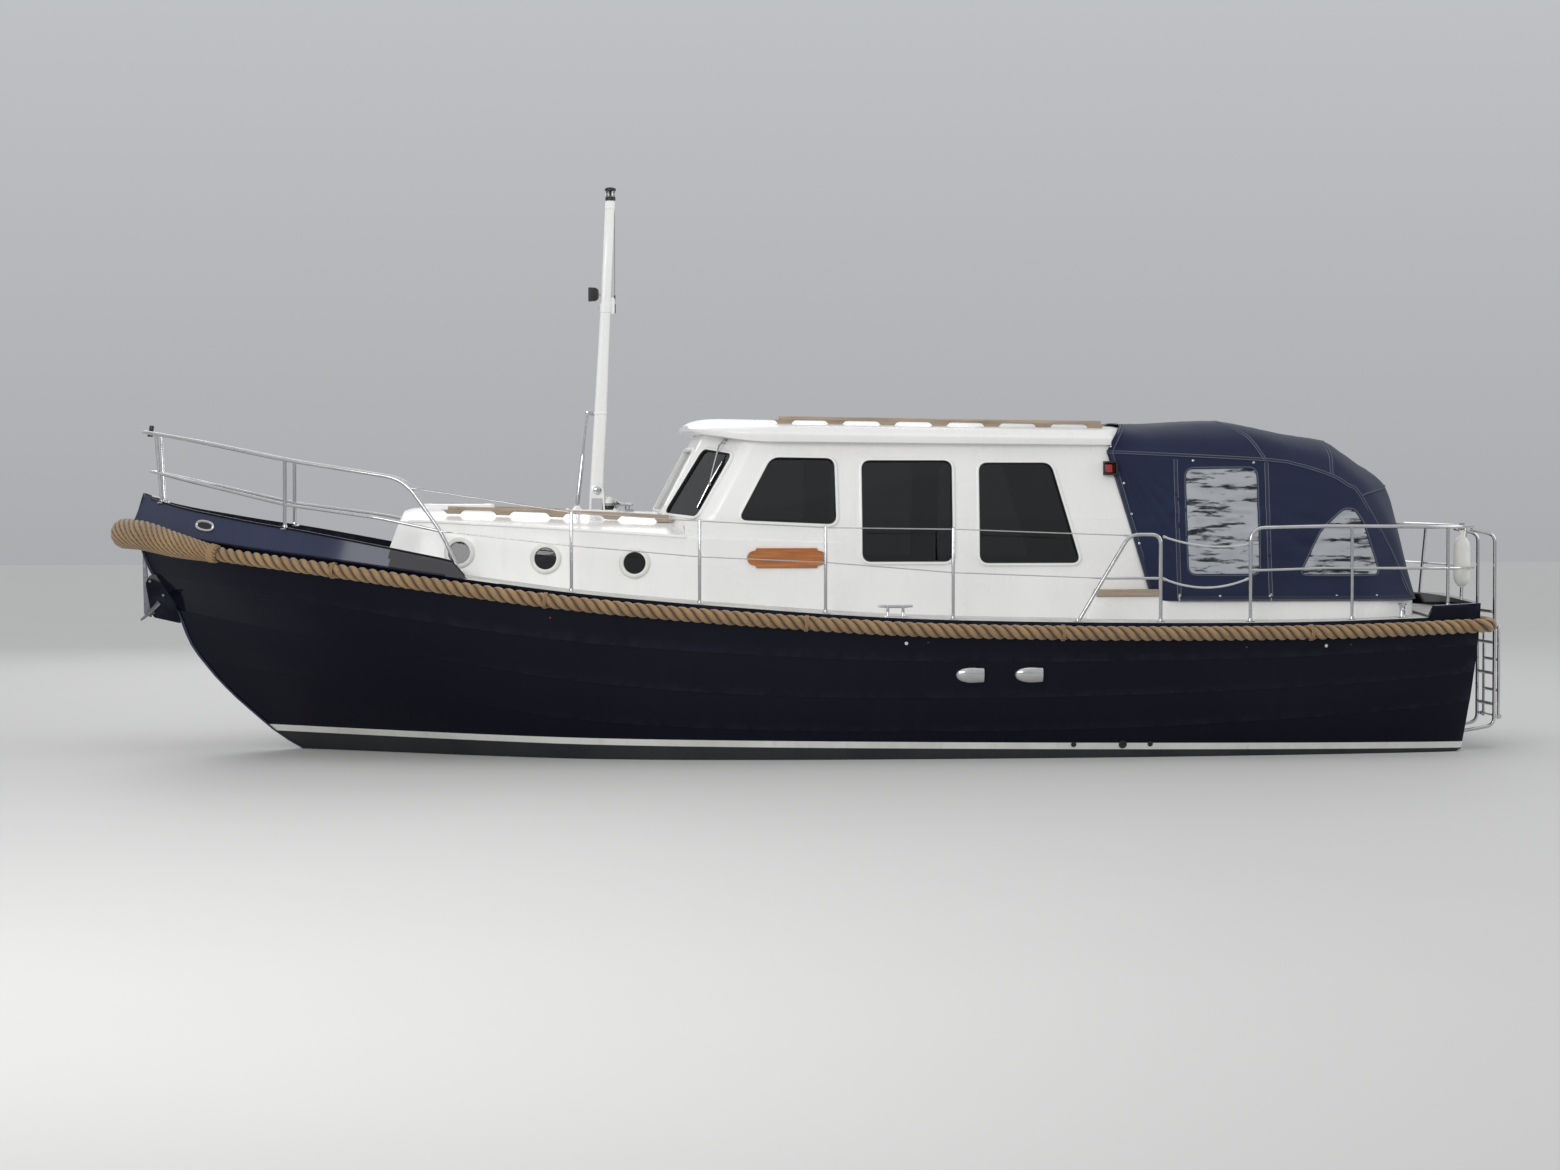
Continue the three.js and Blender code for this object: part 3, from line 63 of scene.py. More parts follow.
scene = bpy.context.scene


# Camera: place in metres, turn and dip in degrees, lens and film in millimetres
cameraSpec = {"place": (2.79, 27.87, 2.015), "turn": 5.4, "dip": 1.64, "lens": 85.38, "film": 36}


def setCamera(spec):
    lens = bpy.data.cameras.new("camera")
    lens.lens = spec["lens"]
    lens.sensor_width = spec["film"]
    lens.clip_end = 300
    eye = bpy.data.objects.new("camera", lens)
    scene.collection.objects.link(eye)
    turn, dip = radians(spec["turn"]), radians(spec["dip"])
    look = Vector((-sin(turn) * cos(dip), -cos(turn) * cos(dip), -sin(dip)))
    eye.location = spec["place"]
    eye.rotation_euler = look.to_track_quat("-Z", "Y").to_euler()
    scene.camera = eye


setCamera(cameraSpec)
print("camera ready")


# Node groups and finishes
def nodeIn(tree, kind, inputs=None, **settings):
    node = tree.nodes.new(kind)
    for key, value in settings.items():
        setattr(node, key, value)
    for key, value in (inputs or {}).items():
        socket = node.inputs[key]
        if isinstance(value, bpy.types.NodeSocket):
            tree.links.new(value, socket)
        else:
            socket.default_value = value
    return node


def mathIn(tree, operation, a, b=0.0, clamp=False):
    return nodeIn(tree, "ShaderNodeMath", {0: a, 1: b}, operation=operation, use_clamp=clamp).outputs[0]


def rangeIn(tree, value, low, high, start=0.0, end=1.0):
    spread = {"Value": value, "From Min": low, "From Max": high, "To Min": start, "To Max": end}
    return nodeIn(tree, "ShaderNodeMapRange", spread).outputs[0]


def plus(tree, a, b, clamp=False):
    return mathIn(tree, "ADD", a, b, clamp)


def times(tree, a, b, clamp=False):
    return mathIn(tree, "MULTIPLY", a, b, clamp)


def scaled(tree, place, factors):
    return nodeIn(tree, "ShaderNodeVectorMath", {0: place, 1: factors}, operation="MULTIPLY").outputs[0]


def noiseIn(tree, place, scale, detail=4, rough=0.55):
    spec = {"Vector": place, "Scale": scale, "Detail": detail, "Roughness": rough}
    return nodeIn(tree, "ShaderNodeTexNoise", spec).outputs["Fac"]


def gritIn(tree, place, scale):
    return nodeIn(tree, "ShaderNodeTexVoronoi", {"Vector": place, "Scale": scale}).outputs["Distance"]


def film(tree, place, scale):  # brushed or sprayed paint: cloudy sheen, fine peel and a few runs of dust
    cloud = noiseIn(tree, place, scale, 5)
    peel = noiseIn(tree, place, times(tree, scale, 60), 2)
    streak = rangeIn(tree, noiseIn(tree, scaled(tree, place, (9, 9, 0.8)), scale, 5, 0.65), 0.55, 0.8)
    mask = plus(tree, times(tree, rangeIn(tree, cloud, 0.35, 0.7), 0.6), times(tree, streak, 0.5), True)
    return mask, plus(tree, peel, times(tree, cloud, 0.6))


def grain(tree, place, scale):  # long grain along X with pores
    warped = nodeIn(tree, "ShaderNodeVectorMath", {0: scaled(tree, place, (1, 14, 14)), 1: (3.1, 5.7, 1.3)},
                    operation="ADD").outputs[0]
    broad = noiseIn(tree, warped, scale, 6, 0.6)
    fine = noiseIn(tree, scaled(tree, place, (1.5, 60, 60)), scale, 3, 0.6)
    return rangeIn(tree, plus(tree, times(tree, broad, 0.75), times(tree, fine, 0.35)), 0.36, 0.7), fine


def weave(tree, place, scale):  # plain weave: warp and weft threads that go over and under
    parts = nodeIn(tree, "ShaderNodeSeparateXYZ", {0: place}).outputs
    across = plus(tree, parts["Y"], parts["Z"])
    warp, weft = (mathIn(tree, "SINE", times(tree, way, scale)) for way in (parts["X"], across))
    thread = mathIn(tree, "MAXIMUM", mathIn(tree, "ABSOLUTE", warp), mathIn(tree, "ABSOLUTE", weft))
    fade = rangeIn(tree, noiseIn(tree, place, 2.3, 5, 0.6), 0.3, 0.72)
    return plus(tree, times(tree, fade, 0.7), times(tree, noiseIn(tree, place, 160, 2), 0.35), True), thread


def fibre(tree, place, scale):  # yarns that run along a strand, with loose hairs
    yarn = noiseIn(tree, scaled(tree, place, (1.2, 12, 12)), scale, 5, 0.7)
    mask = plus(tree, times(tree, yarn, 0.8), times(tree, noiseIn(tree, place, 3, 3), 0.45))
    return rangeIn(tree, mask, 0.42, 0.85), yarn


def stipple(tree, place, scale):  # non-slip texture: close round grit
    return rangeIn(tree, noiseIn(tree, place, 5), 0.35, 0.7), mathIn(tree, "SUBTRACT", 1, gritIn(tree, place, scale))


def smudge(tree, place, scale):  # polished metal: wipe marks and water spots
    wipe = noiseIn(tree, scaled(tree, place, (1, 1, 4)), scale, 6, 0.7)
    spots = times(tree, rangeIn(tree, gritIn(tree, place, 90), 0.12, 0), 0.5)
    return plus(tree, rangeIn(tree, wipe, 0.4, 0.75), spots, True), wipe


def crease(tree, place, scale):  # long level creases in clear sheet
    broad = noiseIn(tree, scaled(tree, place, (1, 1, 7)), scale, 5, 0.6)
    fine = noiseIn(tree, scaled(tree, place, (2.5, 1, 14)), scale, 3, 0.6)
    return rangeIn(tree, plus(tree, times(tree, broad, 0.7), times(tree, fine, 0.3)), 0.515, 0.585), broad


def wear(tree, place, scale):  # bright, rubbed edges, broken up by noise
    edge = rangeIn(tree, nodeIn(tree, "ShaderNodeNewGeometry").outputs["Pointiness"], 0.52, 0.6)
    torn = rangeIn(tree, noiseIn(tree, place, scale, 4, 0.7), 0.4, 0.65)
    return (times(tree, edge, torn, True),)


def groupOf(name, build, outputs=("Mask", "Height")):
    tree = bpy.data.node_groups.new(name, "ShaderNodeTree")
    tree.interface.new_socket("Place", in_out="INPUT", socket_type="NodeSocketVector")
    tree.interface.new_socket("Scale", in_out="INPUT", socket_type="NodeSocketFloat").default_value = 10
    for label in outputs:
        tree.interface.new_socket(label, in_out="OUTPUT", socket_type="NodeSocketFloat")
    way = tree.nodes.new("NodeGroupInput").outputs
    results = build(tree, way["Place"], way["Scale"])
    end = tree.nodes.new("NodeGroupOutput")
    for label, socket in zip(outputs, results):
        tree.links.new(socket, end.inputs[label])
    return tree


groupNames = {film: "paintFilm", grain: "woodGrain", weave: "plainWeave", fibre: "ropeFibre", stipple: "gritDeck",
              smudge: "metalSmudge", crease: "sheetCrease"}
patterns = {build.__name__: groupOf(name, build) for build, name in groupNames.items()}
wearGroup = groupOf("edgeWear", wear, ("Mask",))

# Each finish: pattern, its scale, the two colours that it moves between, the roughness range, the height of the
# pattern in metres, its strength, and what else it has: wear (colour, grit), the colour of painted shade in the grooves
# between strands, run (the pattern follows the strand), and values that are the same all over, set on the shader's own
# socket
finishRows = {
    "navyPaint": ("film", 0.9, ((0.0035, 0.004, 0.0105), (0.0055, 0.0062, 0.0145)), (0.05, 0.12), 0.0004, 0.06,
        {"wear": ((0.03, 0.035, 0.06), 9.0), "Specular IOR Level": 0.13}),
    # the hull's navy made lighter and bluer: painted sky light and reflection, for the high bulwark forward and the
    # stem face
    "bulwarkPaint": ("film", 0.9, ((0.024, 0.03, 0.066), (0.036, 0.043, 0.088)), (0.08, 0.18), 0.0004, 0.06,
        {"Specular IOR Level": 0.3}),
    "bootPaint": ("film", 2, ((0.78, 0.78, 0.75), (0.52, 0.53, 0.47)), (0.25, 0.5), 0.0004, 0.1, {}),
    "bottomPaint": ("film", 3, ((0.01, 0.012, 0.018), (0.035, 0.036, 0.034)), (0.6, 0.85), 0.0008, 0.3, {}),
    "whitePaint": ("film", 1.6, ((0.91, 0.905, 0.895), (0.82, 0.815, 0.8)), (0.22, 0.4), 0.0004, 0.05,
        {"Coat Weight": 0.25}),
    "deckPaint": ("stipple", 420, ((0.66, 0.66, 0.63), (0.52, 0.52, 0.49)), (0.55, 0.75), 0.0006, 0.45, {}),
    "liningPaint": ("film", 4, ((0.42, 0.36, 0.27), (0.33, 0.27, 0.19)), (0.5, 0.7), 0.0004, 0.1, {}),
    "manilaRope": ("fibre", 34, ((0.185, 0.1, 0.038), (0.45, 0.28, 0.115)), (0.8, 0.95), 0.002, 0.7,
        {"deep": (0.035, 0.02, 0.01), "run": True, "Sheen Weight": 0.3, "Sheen Roughness": 0.6}),
    "steel": ("smudge", 6, ((0.62, 0.62, 0.63), (0.47, 0.475, 0.48)), (0.1, 0.26), 0.0002, 0.04, {"Metallic": 1}),
    "teakWood": ("grain", 2.6, ((0.25, 0.19, 0.138), (0.45, 0.36, 0.275)), (0.6, 0.8), 0.0008, 0.35,
        {"wear": ((0.5, 0.4, 0.3), 14.0)}),
    "varnish": ("grain", 3, ((0.3, 0.09, 0.019), (0.5, 0.18, 0.043)), (0.2, 0.3), 0.0004, 0.1,
        {"Coat Weight": 0.35, "Coat Roughness": 0.08}),
    "interiorWood": ("grain", 2, ((0.2, 0.095, 0.045), (0.34, 0.18, 0.09)), (0.3, 0.45), 0.0004, 0.12,
        {"Coat Weight": 0.2}),
    "canopyCloth": ("weave", 3400, ((0.0085, 0.013, 0.039), (0.0145, 0.0225, 0.062)), (0.75, 0.9), 0.0005, 0.35,
        {"Sheen Weight": 0.1, "Sheen Roughness": 0.5, "Specular IOR Level": 0.3}),
    "canopyTape": ("weave", 3400, ((0.014, 0.019, 0.043), (0.025, 0.033, 0.068)), (0.7, 0.9), 0.0005, 0.35, {}),
    "thread": ("weave", 5200, ((0.25, 0.265, 0.31), (0.15, 0.165, 0.21)), (0.7, 0.9), 0.0004, 0.3, {}),
    "castBronze": ("smudge", 9, ((0.55, 0.38, 0.16), (0.32, 0.26, 0.14)), (0.28, 0.5), 0.0005, 0.15,
        {"Metallic": 1}),
    "blackPlastic": ("film", 14, ((0.012, 0.012, 0.013), (0.025, 0.025, 0.026)), (0.35, 0.55), 0.0003, 0.12, {}),
    "rubber": ("film", 20, ((0.008, 0.008, 0.009), (0.022, 0.022, 0.022)), (0.5, 0.7), 0.0003, 0.15, {}),
    "whitePlastic": ("film", 8, ((0.8, 0.8, 0.77), (0.62, 0.61, 0.56)), (0.3, 0.5), 0.0004, 0.12, {}),
    "enginePaint": ("film", 7, ((0.05, 0.1, 0.13), (0.03, 0.05, 0.06)), (0.4, 0.6), 0.0006, 0.2, {}),
    "zincCoat": ("smudge", 16, ((0.2, 0.205, 0.22), (0.11, 0.115, 0.125)), (0.4, 0.6), 0.0006, 0.2,
        {"Metallic": 0.4}),
    "leather": ("stipple", 700, ((0.5, 0.45, 0.36), (0.4, 0.35, 0.27)), (0.45, 0.6), 0.0005, 0.25, {}),
    "lineCover": ("fibre", 60, ((0.42, 0.43, 0.44), (0.6, 0.61, 0.62)), (0.4, 0.6), 0.0008, 0.4, {"run": True}),
    "redLamp": ("film", 20, ((0.35, 0.006, 0.008), (0.22, 0.004, 0.006)), (0.08, 0.2), 0.0003, 0.05,
        {"Coat Weight": 0.6}),
    "greenLamp": ("film", 20, ((0.006, 0.22, 0.06), (0.004, 0.14, 0.04)), (0.08, 0.2), 0.0003, 0.05,
        {"Coat Weight": 0.6}),
}


def placeIn(tree, run=False):  # where on the object a pattern is read, or where along its strand
    if run:
        return nodeIn(tree, "ShaderNodeAttribute", attribute_name="run").outputs["Vector"]
    return nodeIn(tree, "ShaderNodeTexCoord").outputs["Object"]


def patternIn(tree, group, place, scale):
    return nodeIn(tree, "ShaderNodeGroup", {"Place": place, "Scale": scale}, node_tree=group).outputs


def mixIn(tree, mask, first, second):
    first, second = (c if isinstance(c, bpy.types.NodeSocket) else (*c, 1) for c in (first, second))
    return nodeIn(tree, "ShaderNodeMix", {0: mask, 6: first, 7: second}, data_type="RGBA").outputs[2]


def newMaterial(name):
    material = bpy.data.materials.new(name)
    material.use_nodes = True
    return material, material.node_tree, material.node_tree.nodes["Principled BSDF"].inputs


def bumpIn(tree, height, strength, distance):
    spec = {"Strength": strength, "Distance": distance, "Height": height}
    return nodeIn(tree, "ShaderNodeBump", spec).outputs["Normal"]


def makeFinish(name, pattern, scale, colours, rough, height, strength, more):
    material, tree, inputs = newMaterial(name)
    place = placeIn(tree, more.pop("run", False))
    made = patternIn(tree, patterns[pattern], place, scale)
    colour = mixIn(tree, made["Mask"], *colours)
    if "wear" in more:
        worn, grit = more.pop("wear")
        colour = mixIn(tree, patternIn(tree, wearGroup, place, grit)["Mask"], colour, worn)
    # painted shade: points that stand out little, down in the grooves between strands, are darkened toward this colour
    if "deep" in more:  # the grooves between strands stay dark
        crown = nodeIn(tree, "ShaderNodeAttribute", attribute_name="crown").outputs["Fac"]
        colour = mixIn(tree, rangeIn(tree, crown, 0.2, 0.95), more.pop("deep"), colour)
    tree.links.new(colour, inputs["Base Color"])
    tree.links.new(rangeIn(tree, made["Mask"], 0.0, 1.0, *rough), inputs["Roughness"])
    tree.links.new(bumpIn(tree, made["Height"], strength, height), inputs["Normal"])
    for socket, value in more.items():
        inputs[socket].default_value = value
    return material


finishes = {name: makeFinish(name, *row) for name, row in finishRows.items()}

# Clear finishes: colour, roughness, share of light let through, share that is solid, height and scale of the ripple,
# and for a creased sheet its pale and dark colours and the scale of its creases; the pale colour is a painted
# reflection along the creases and the dark one painted shade of the space seen through the sheet
clearRows = {
    "windowGlass": ((0.085, 0.10, 0.105), 0.015, 1, 1, 0.0003, 1.5),
    "screenGlass": ((0.62, 0.68, 0.68), 0.015, 1, 1, 0.0003, 1.5),
    "lampGlass": ((0.85, 0.88, 0.9), 0.05, 1, 1, 0.0006, 60),
    "clearVinyl": ((0.50, 0.53, 0.57), 0.08, 0, 0.55, 0.006, 1, (0.60, 0.62, 0.66), (0.015, 0.018, 0.026), 2.6),
}


def makeClear(name, colour, rough, through, alpha, ripple, scale, pale=None, dark=None, creaseScale=0):
    material, tree, inputs = newMaterial(name)
    fixed = {"Base Color": (*colour, 1), "Roughness": rough, "Transmission Weight": through, "Alpha": alpha}
    for socket, value in fixed.items():
        inputs[socket].default_value = value
    place = placeIn(tree)
    wave = noiseIn(tree, scaled(tree, place, (1, 1, 5)), scale, 3, 0.5)
    # painted light: pale streaks along the creases are painted reflections, the dark colour between them painted shade
    if pale:
        creases = patternIn(tree, patterns["crease"], place, creaseScale)["Mask"]
        tree.links.new(mixIn(tree, creases, pale, dark), inputs["Base Color"])
    tree.links.new(bumpIn(tree, wave, 0.4, ripple), inputs["Normal"])
    return material


finishes.update({name: makeClear(name, *row) for name, row in clearRows.items()})

# The slot of the record that each finish belongs to, where a piece says nothing else
finishesOf = {
    "navy_hull_paint": "navyPaint bulwarkPaint bottomPaint", "white_paint": "whitePaint whitePlastic",
    "stainless": "steel", "teak": "teakWood varnish interiorWood", "rope": "manilaRope", "line_cover": "lineCover",
    "black_plastic": "blackPlastic rubber", "canvas": "canopyCloth canopyTape thread", "bronze": "castBronze",
    "window_glass": "windowGlass lampGlass clearVinyl redLamp greenLamp", "seat_leather": "leather",
    "galvanised": "zincCoat",
}
slotOf = {finish: slot for slot, names in finishesOf.items() for finish in names.split()}
print("finishes ready")


# Making shapes
def vector(p):
    return Vector(p) if not isinstance(p, Vector) else p


def acrossOf(axis):  # a direction square to an axis
    side = axis.cross(Vector((0, 0, 1)))
    return (axis.cross(Vector((0, 1, 0))) if side.length < 0.2 else side).normalized()


def turnsOf(count):  # equal angles round a circle
    return [2 * pi * k / count for k in range(count)]


def ringAt(place, side, up, radius, count):
    return [place + (side * cos(a) + up * sin(a)) * radius for a in turnsOf(count)]


def roundSection(radius, count):
    return [(radius * cos(a), radius * sin(a)) for a in turnsOf(count)]


def bendAt(before, corner, after, reach, steps, straightOn=False):  # a round bend, up to about half of each side
    back, on = before - corner, after - corner
    reach = min(reach, back.length * 0.48, on.length * 0.48)
    if straightOn and (reach < 1 or back.angle(on) > 3.05):
        return [corner]
    start, end = corner + back.normalized() * reach, corner + on.normalized() * reach
    return [start * (1 - t) ** 2 + corner * 2 * t * (1 - t) + end * t * t
            for t in [k / steps for k in range(steps + 1)]]


def bentRun(points, bend):  # straight runs with round bends
    corners = [vector(p) for p in points]
    run = [corners[0]]
    for before, corner, after in zip(corners, corners[1:], corners[2:]):
        run += bendAt(before, corner, after, bend, 6, True)
    return [*run, corners[-1]]


def roundedLine(corners, radius, steps=5, closed=True):  # 2-D corners with round bends
    count = len(corners)
    result = []
    for i in range(count):
        before, corner, after = (Vector(corners[k % count]) for k in (i - 1, i, i + 1))
        reach = radius[i] if isinstance(radius, (list, tuple)) else radius
        if (not closed and i in (0, count - 1)) or reach <= 0:
            result.append(corner)
        else:
            result += bendAt(before, corner, after, reach, steps)
    return result


def refined(line, step, closed=True):  # the same line with its points close together
    fine = []
    for a, b in zip(line, [*line[1:], line[0]] if closed else line[1:]):
        count = max(1, round((b - a).length / step))
        fine += [a.lerp(b, k / count) for k in range(count)]
    return fine if closed else [*fine, line[-1]]


def framesAlong(run):  # a direction and two cross directions at each point, turned as little as possible
    last = len(run) - 1
    headings = [(run[min(i + 1, last)] - run[max(i - 1, 0)]).normalized() for i in range(last + 1)]
    side, frames = acrossOf(headings[0]), []
    for heading in headings:
        side = (side - heading * side.dot(heading)).normalized()
        frames.append((heading, side, heading.cross(side)))
    return frames


def lengthsAlong(run):
    lengths = [0.0]
    for a, b in zip(run, run[1:]):
        lengths.append(lengths[-1] + (b - a).length)
    return lengths


def evenRun(run, step):  # the same line in steps of one length
    lengths = lengthsAlong(run)
    count = max(2, round(lengths[-1] / step))
    result, k = [], 0
    for i in range(count + 1):
        want = lengths[-1] * i / count
        while k < len(run) - 2 and lengths[k + 1] < want:
            k += 1
        t = (want - lengths[k]) / max(1e-9, lengths[k + 1] - lengths[k])
        result.append(run[k].lerp(run[k + 1], t))
    return result


def smoothStep(a, b, c, d, t):  # between b and c, on the smooth line through all four
    return 0.5 * (2 * b + (c - a) * t + (2 * a - 5 * b + 4 * c - d) * t * t + (3 * b - a - 3 * c + d) * t ** 3)


def smoothRun(points, steps=8):  # a smooth line through points
    corners = [vector(p) for p in points]
    corners = [corners[0] * 2 - corners[1], *corners, corners[-1] * 2 - corners[-2]]
    fours = zip(corners, corners[1:], corners[2:], corners[3:])
    return [*[smoothStep(*four, k / steps) for four in fours for k in range(steps)], corners[-2]]


def spread(low, high, step):
    count = max(1, round((high - low) / step))
    return [low + (high - low) * i / count for i in range(count + 1)]


def straightAt(table, x):  # straight reading of a table of (x, value)
    for (x0, v0), (x1, v1) in zip(table, table[1:]):
        if x <= x1:
            return v0 + (v1 - v0) * max(0.0, min(1.0, (x - x0) / (x1 - x0)))
    return table[-1][1]


def between(a, b, da, db, t):  # from a to b, leaving with slope da and arriving with slope db
    return (a * (2 * t ** 3 - 3 * t * t + 1) + da * (t ** 3 - 2 * t * t + t) + b * (3 * t * t - 2 * t ** 3)
            + db * (t ** 3 - t * t))


def rowAt(table, x):  # smooth reading between rows whose first column is x
    last = len(table) - 1
    i = 0
    while i < last - 1 and x > table[i + 1][0]:
        i += 1
    span = table[i + 1][0] - table[i][0]
    t = min(1.0, max(0.0, (x - table[i][0]) / span))

    def slope(k, column):
        a, b = table[max(0, k - 1)], table[min(last, k + 1)]
        return (b[column] - a[column]) / (b[0] - a[0])

    return [x, *[between(table[i][k], table[i + 1][k], slope(i, k) * span, slope(i + 1, k) * span, t)
                 for k in range(1, len(table[i]))]]


def flipped(points):  # the same points on the other side
    return [Vector((x, -y, z)) for x, y, z in points]


def middleOf(line):
    return sum(line[1:], line[0].copy()) / len(line)


def opposite(points):
    return [(x, -y, z) for x, y, z in reversed(points)]


class Pile:  # gathers the parts of one piece, in millimetres
    def __init__(self):
        self.places, self.faces, self.finishOf, self.runs, self.crowns = [], [], [], [], []

    def add(self, places, faces, finish=0, runs=None):
        start = len(self.places)
        self.places += [tuple(p) for p in places]
        self.runs += runs or [tuple(c * mm for c in p) for p in places]
        self.crowns += [1.0] * len(places)
        self.faces += [tuple(i + start for i in face) for face in faces]
        self.finishOf += [finish] * len(faces)
        return self

    def rings(self, rings, finish=0, runs=None, closed=False):
        sides, count = len(rings[0]), len(rings)
        faces = []
        for i in range(count if closed else count - 1):
            a, b = i * sides, ((i + 1) % count) * sides
            for k in range(sides):
                n = (k + 1) % sides
                faces.append((a + k, a + n, b + n, b + k))
        if not closed:
            faces.append(tuple(reversed(range(sides))))
            faces.append(tuple((count - 1) * sides + k for k in range(sides)))
        return self.add([p for ring in rings for p in ring], faces, finish, runs)

    def tube(self, points, radius, bend=0, sides=12):
        run = bentRun(points, bend) if bend else [vector(p) for p in points]
        radii = radius if isinstance(radius, (list, tuple)) else [radius] * len(run)
        rings, runs, gone = [], [], 0.0
        for i, (place, (_, side, up)) in enumerate(zip(run, framesAlong(run))):
            gone += (run[i] - run[i - 1]).length if i else 0.0
            rings.append(ringAt(place, side, up, radii[i], sides))
            runs += [(gone * mm, cos(a) * radii[i] * mm, sin(a) * radii[i] * mm) for a in turnsOf(sides)]
        return self.rings(rings, 0, runs)

    def turned(self, profile, place, direction=(0, 0, 1), sides=24, finish=0):  # profile of radius and height
        axis = vector(direction).normalized()
        side = acrossOf(axis)
        return self.rings([ringAt(vector(place) + axis * height, side, axis.cross(side), max(radius, 0.01), sides)
                           for radius, height in profile], finish)

    def hoop(self, profile, place, direction, sides):  # a ring whose section is closed
        axis = vector(direction).normalized()
        side = acrossOf(axis)
        return self.rings([[vector(place) + way * r + axis * h for r, h in profile]
                           for way in ringAt(Vector(), side, axis.cross(side), 1, sides)], closed=True)

    def block(self, x0, x1, y0, y1, z0, z1):
        bottom = [(x0, y0, z0), (x1, y0, z0), (x1, y1, z0), (x0, y1, z0)]
        return self.rings([bottom, [(x, y, z1) for x, y, _ in bottom]])

    def prism(self, outline, origin, u, v, depth, finish=0):  # outline along u and v, pulled along u x v
        u, v = vector(u).normalized(), vector(v).normalized()
        pull = u.cross(v) * depth
        first = [vector(origin) + u * a + v * b for a, b in outline]
        return self.rings([first, [p + pull for p in first]], finish)

    def bead(self, run, normals, section, closed=True):  # section of (sideways, outward) along a line
        count = len(run)
        rings = []
        for i in range(count):
            before = run[(i - 1) % count] if closed or i else run[0]
            after = run[(i + 1) % count] if closed or i < count - 1 else run[-1]
            heading = (after - before).normalized()
            out = (normals[i] - heading * normals[i].dot(heading)).normalized()
            side = heading.cross(out)
            rings.append([run[i] + side * a + out * b for a, b in section])
        return self.rings(rings, closed=closed)

    def join(self, other, finish=0):
        return self.add(other.places, other.faces, finish, other.runs)

    def mirrored(self):  # adds the same parts on the other side
        count = len(self.places)
        self.places += [(x, -y, z) for x, y, z in self.places]
        self.runs += list(self.runs)
        self.crowns += list(self.crowns)
        self.faces += [tuple(reversed([i + count for i in face])) for face in self.faces]
        self.finishOf += list(self.finishOf)
        return self

    def mesh(self, name, finish, weld=0.02):  # finish names one finish, or several with spaces between
        mesh = bpy.data.meshes.new(name)
        mesh.from_pydata([tuple(c * mm for c in p) for p in self.places], [], self.faces)
        mesh.attributes.new("run", "FLOAT_VECTOR", "POINT").data.foreach_set(
            "vector", [c for run in self.runs for c in run])
        mesh.attributes.new("crown", "FLOAT", "POINT").data.foreach_set("value", self.crowns)
        for one in finish.split():
            mesh.materials.append(finishes[one])
        mesh.polygons.foreach_set("material_index", self.finishOf)
        obj = bpy.data.objects.new(name, mesh)
        scene.collection.objects.link(obj)
        tidyMesh(obj, weld * mm)
        return obj

    def make(self, name, finish, replaces=(), body="root", slot=None, weld=0.02, **edges):
        return settle(self.mesh(name, finish, weld), body, slot or slotOf[finish.split()[0]], replaces, **edges)


def tidyMesh(obj, weld):
    work = bmesh.new()
    work.from_mesh(obj.data)
    bmesh.ops.remove_doubles(work, verts=work.verts, dist=weld)
    bmesh.ops.dissolve_degenerate(work, edges=work.edges, dist=weld * 0.5)
    bmesh.ops.recalc_face_normals(work, faces=work.faces)
    work.to_mesh(obj.data)
    work.free()


def applyAll(obj):
    graph = bpy.context.evaluated_depsgraph_get()
    mesh = bpy.data.meshes.new_from_object(obj.evaluated_get(graph), preserve_all_data_layers=True, depsgraph=graph)
    obj.modifiers.clear()
    old = obj.data
    obj.data = mesh
    bpy.data.meshes.remove(old)
    mesh.name = obj.name


def soften(obj, width, segments=2):  # rounds the edges that turn by more than 30 degrees
    step = obj.modifiers.new("bevel", "BEVEL")
    step.width = width * mm
    step.segments = segments
    step.limit_method = "ANGLE"
    step.angle_limit = radians(30)
    step.use_clamp_overlap = True
    step.harden_normals = False
    applyAll(obj)


def settle(obj, body, slot, replaces=(), bevel=0, segments=2, sharp=38):
    if bevel:
        soften(obj, bevel, segments)
    obj.data.shade_smooth()
    obj.data.set_sharp_from_angle(angle=radians(sharp))
    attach(obj, body)
    if replaces:
        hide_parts(*replaces)
    return obj


def carve(obj, cutters, operation="DIFFERENCE"):
    for cutter in cutters:
        step = obj.modifiers.new("carve", "BOOLEAN")
        step.solver = "EXACT"
        step.operation = operation
        step.material_mode = "TRANSFER"
        step.object = cutter
    applyAll(obj)
    for cutter in cutters:
        mesh = cutter.data
        bpy.data.objects.remove(cutter)
        bpy.data.meshes.remove(mesh)


print("tools ready")



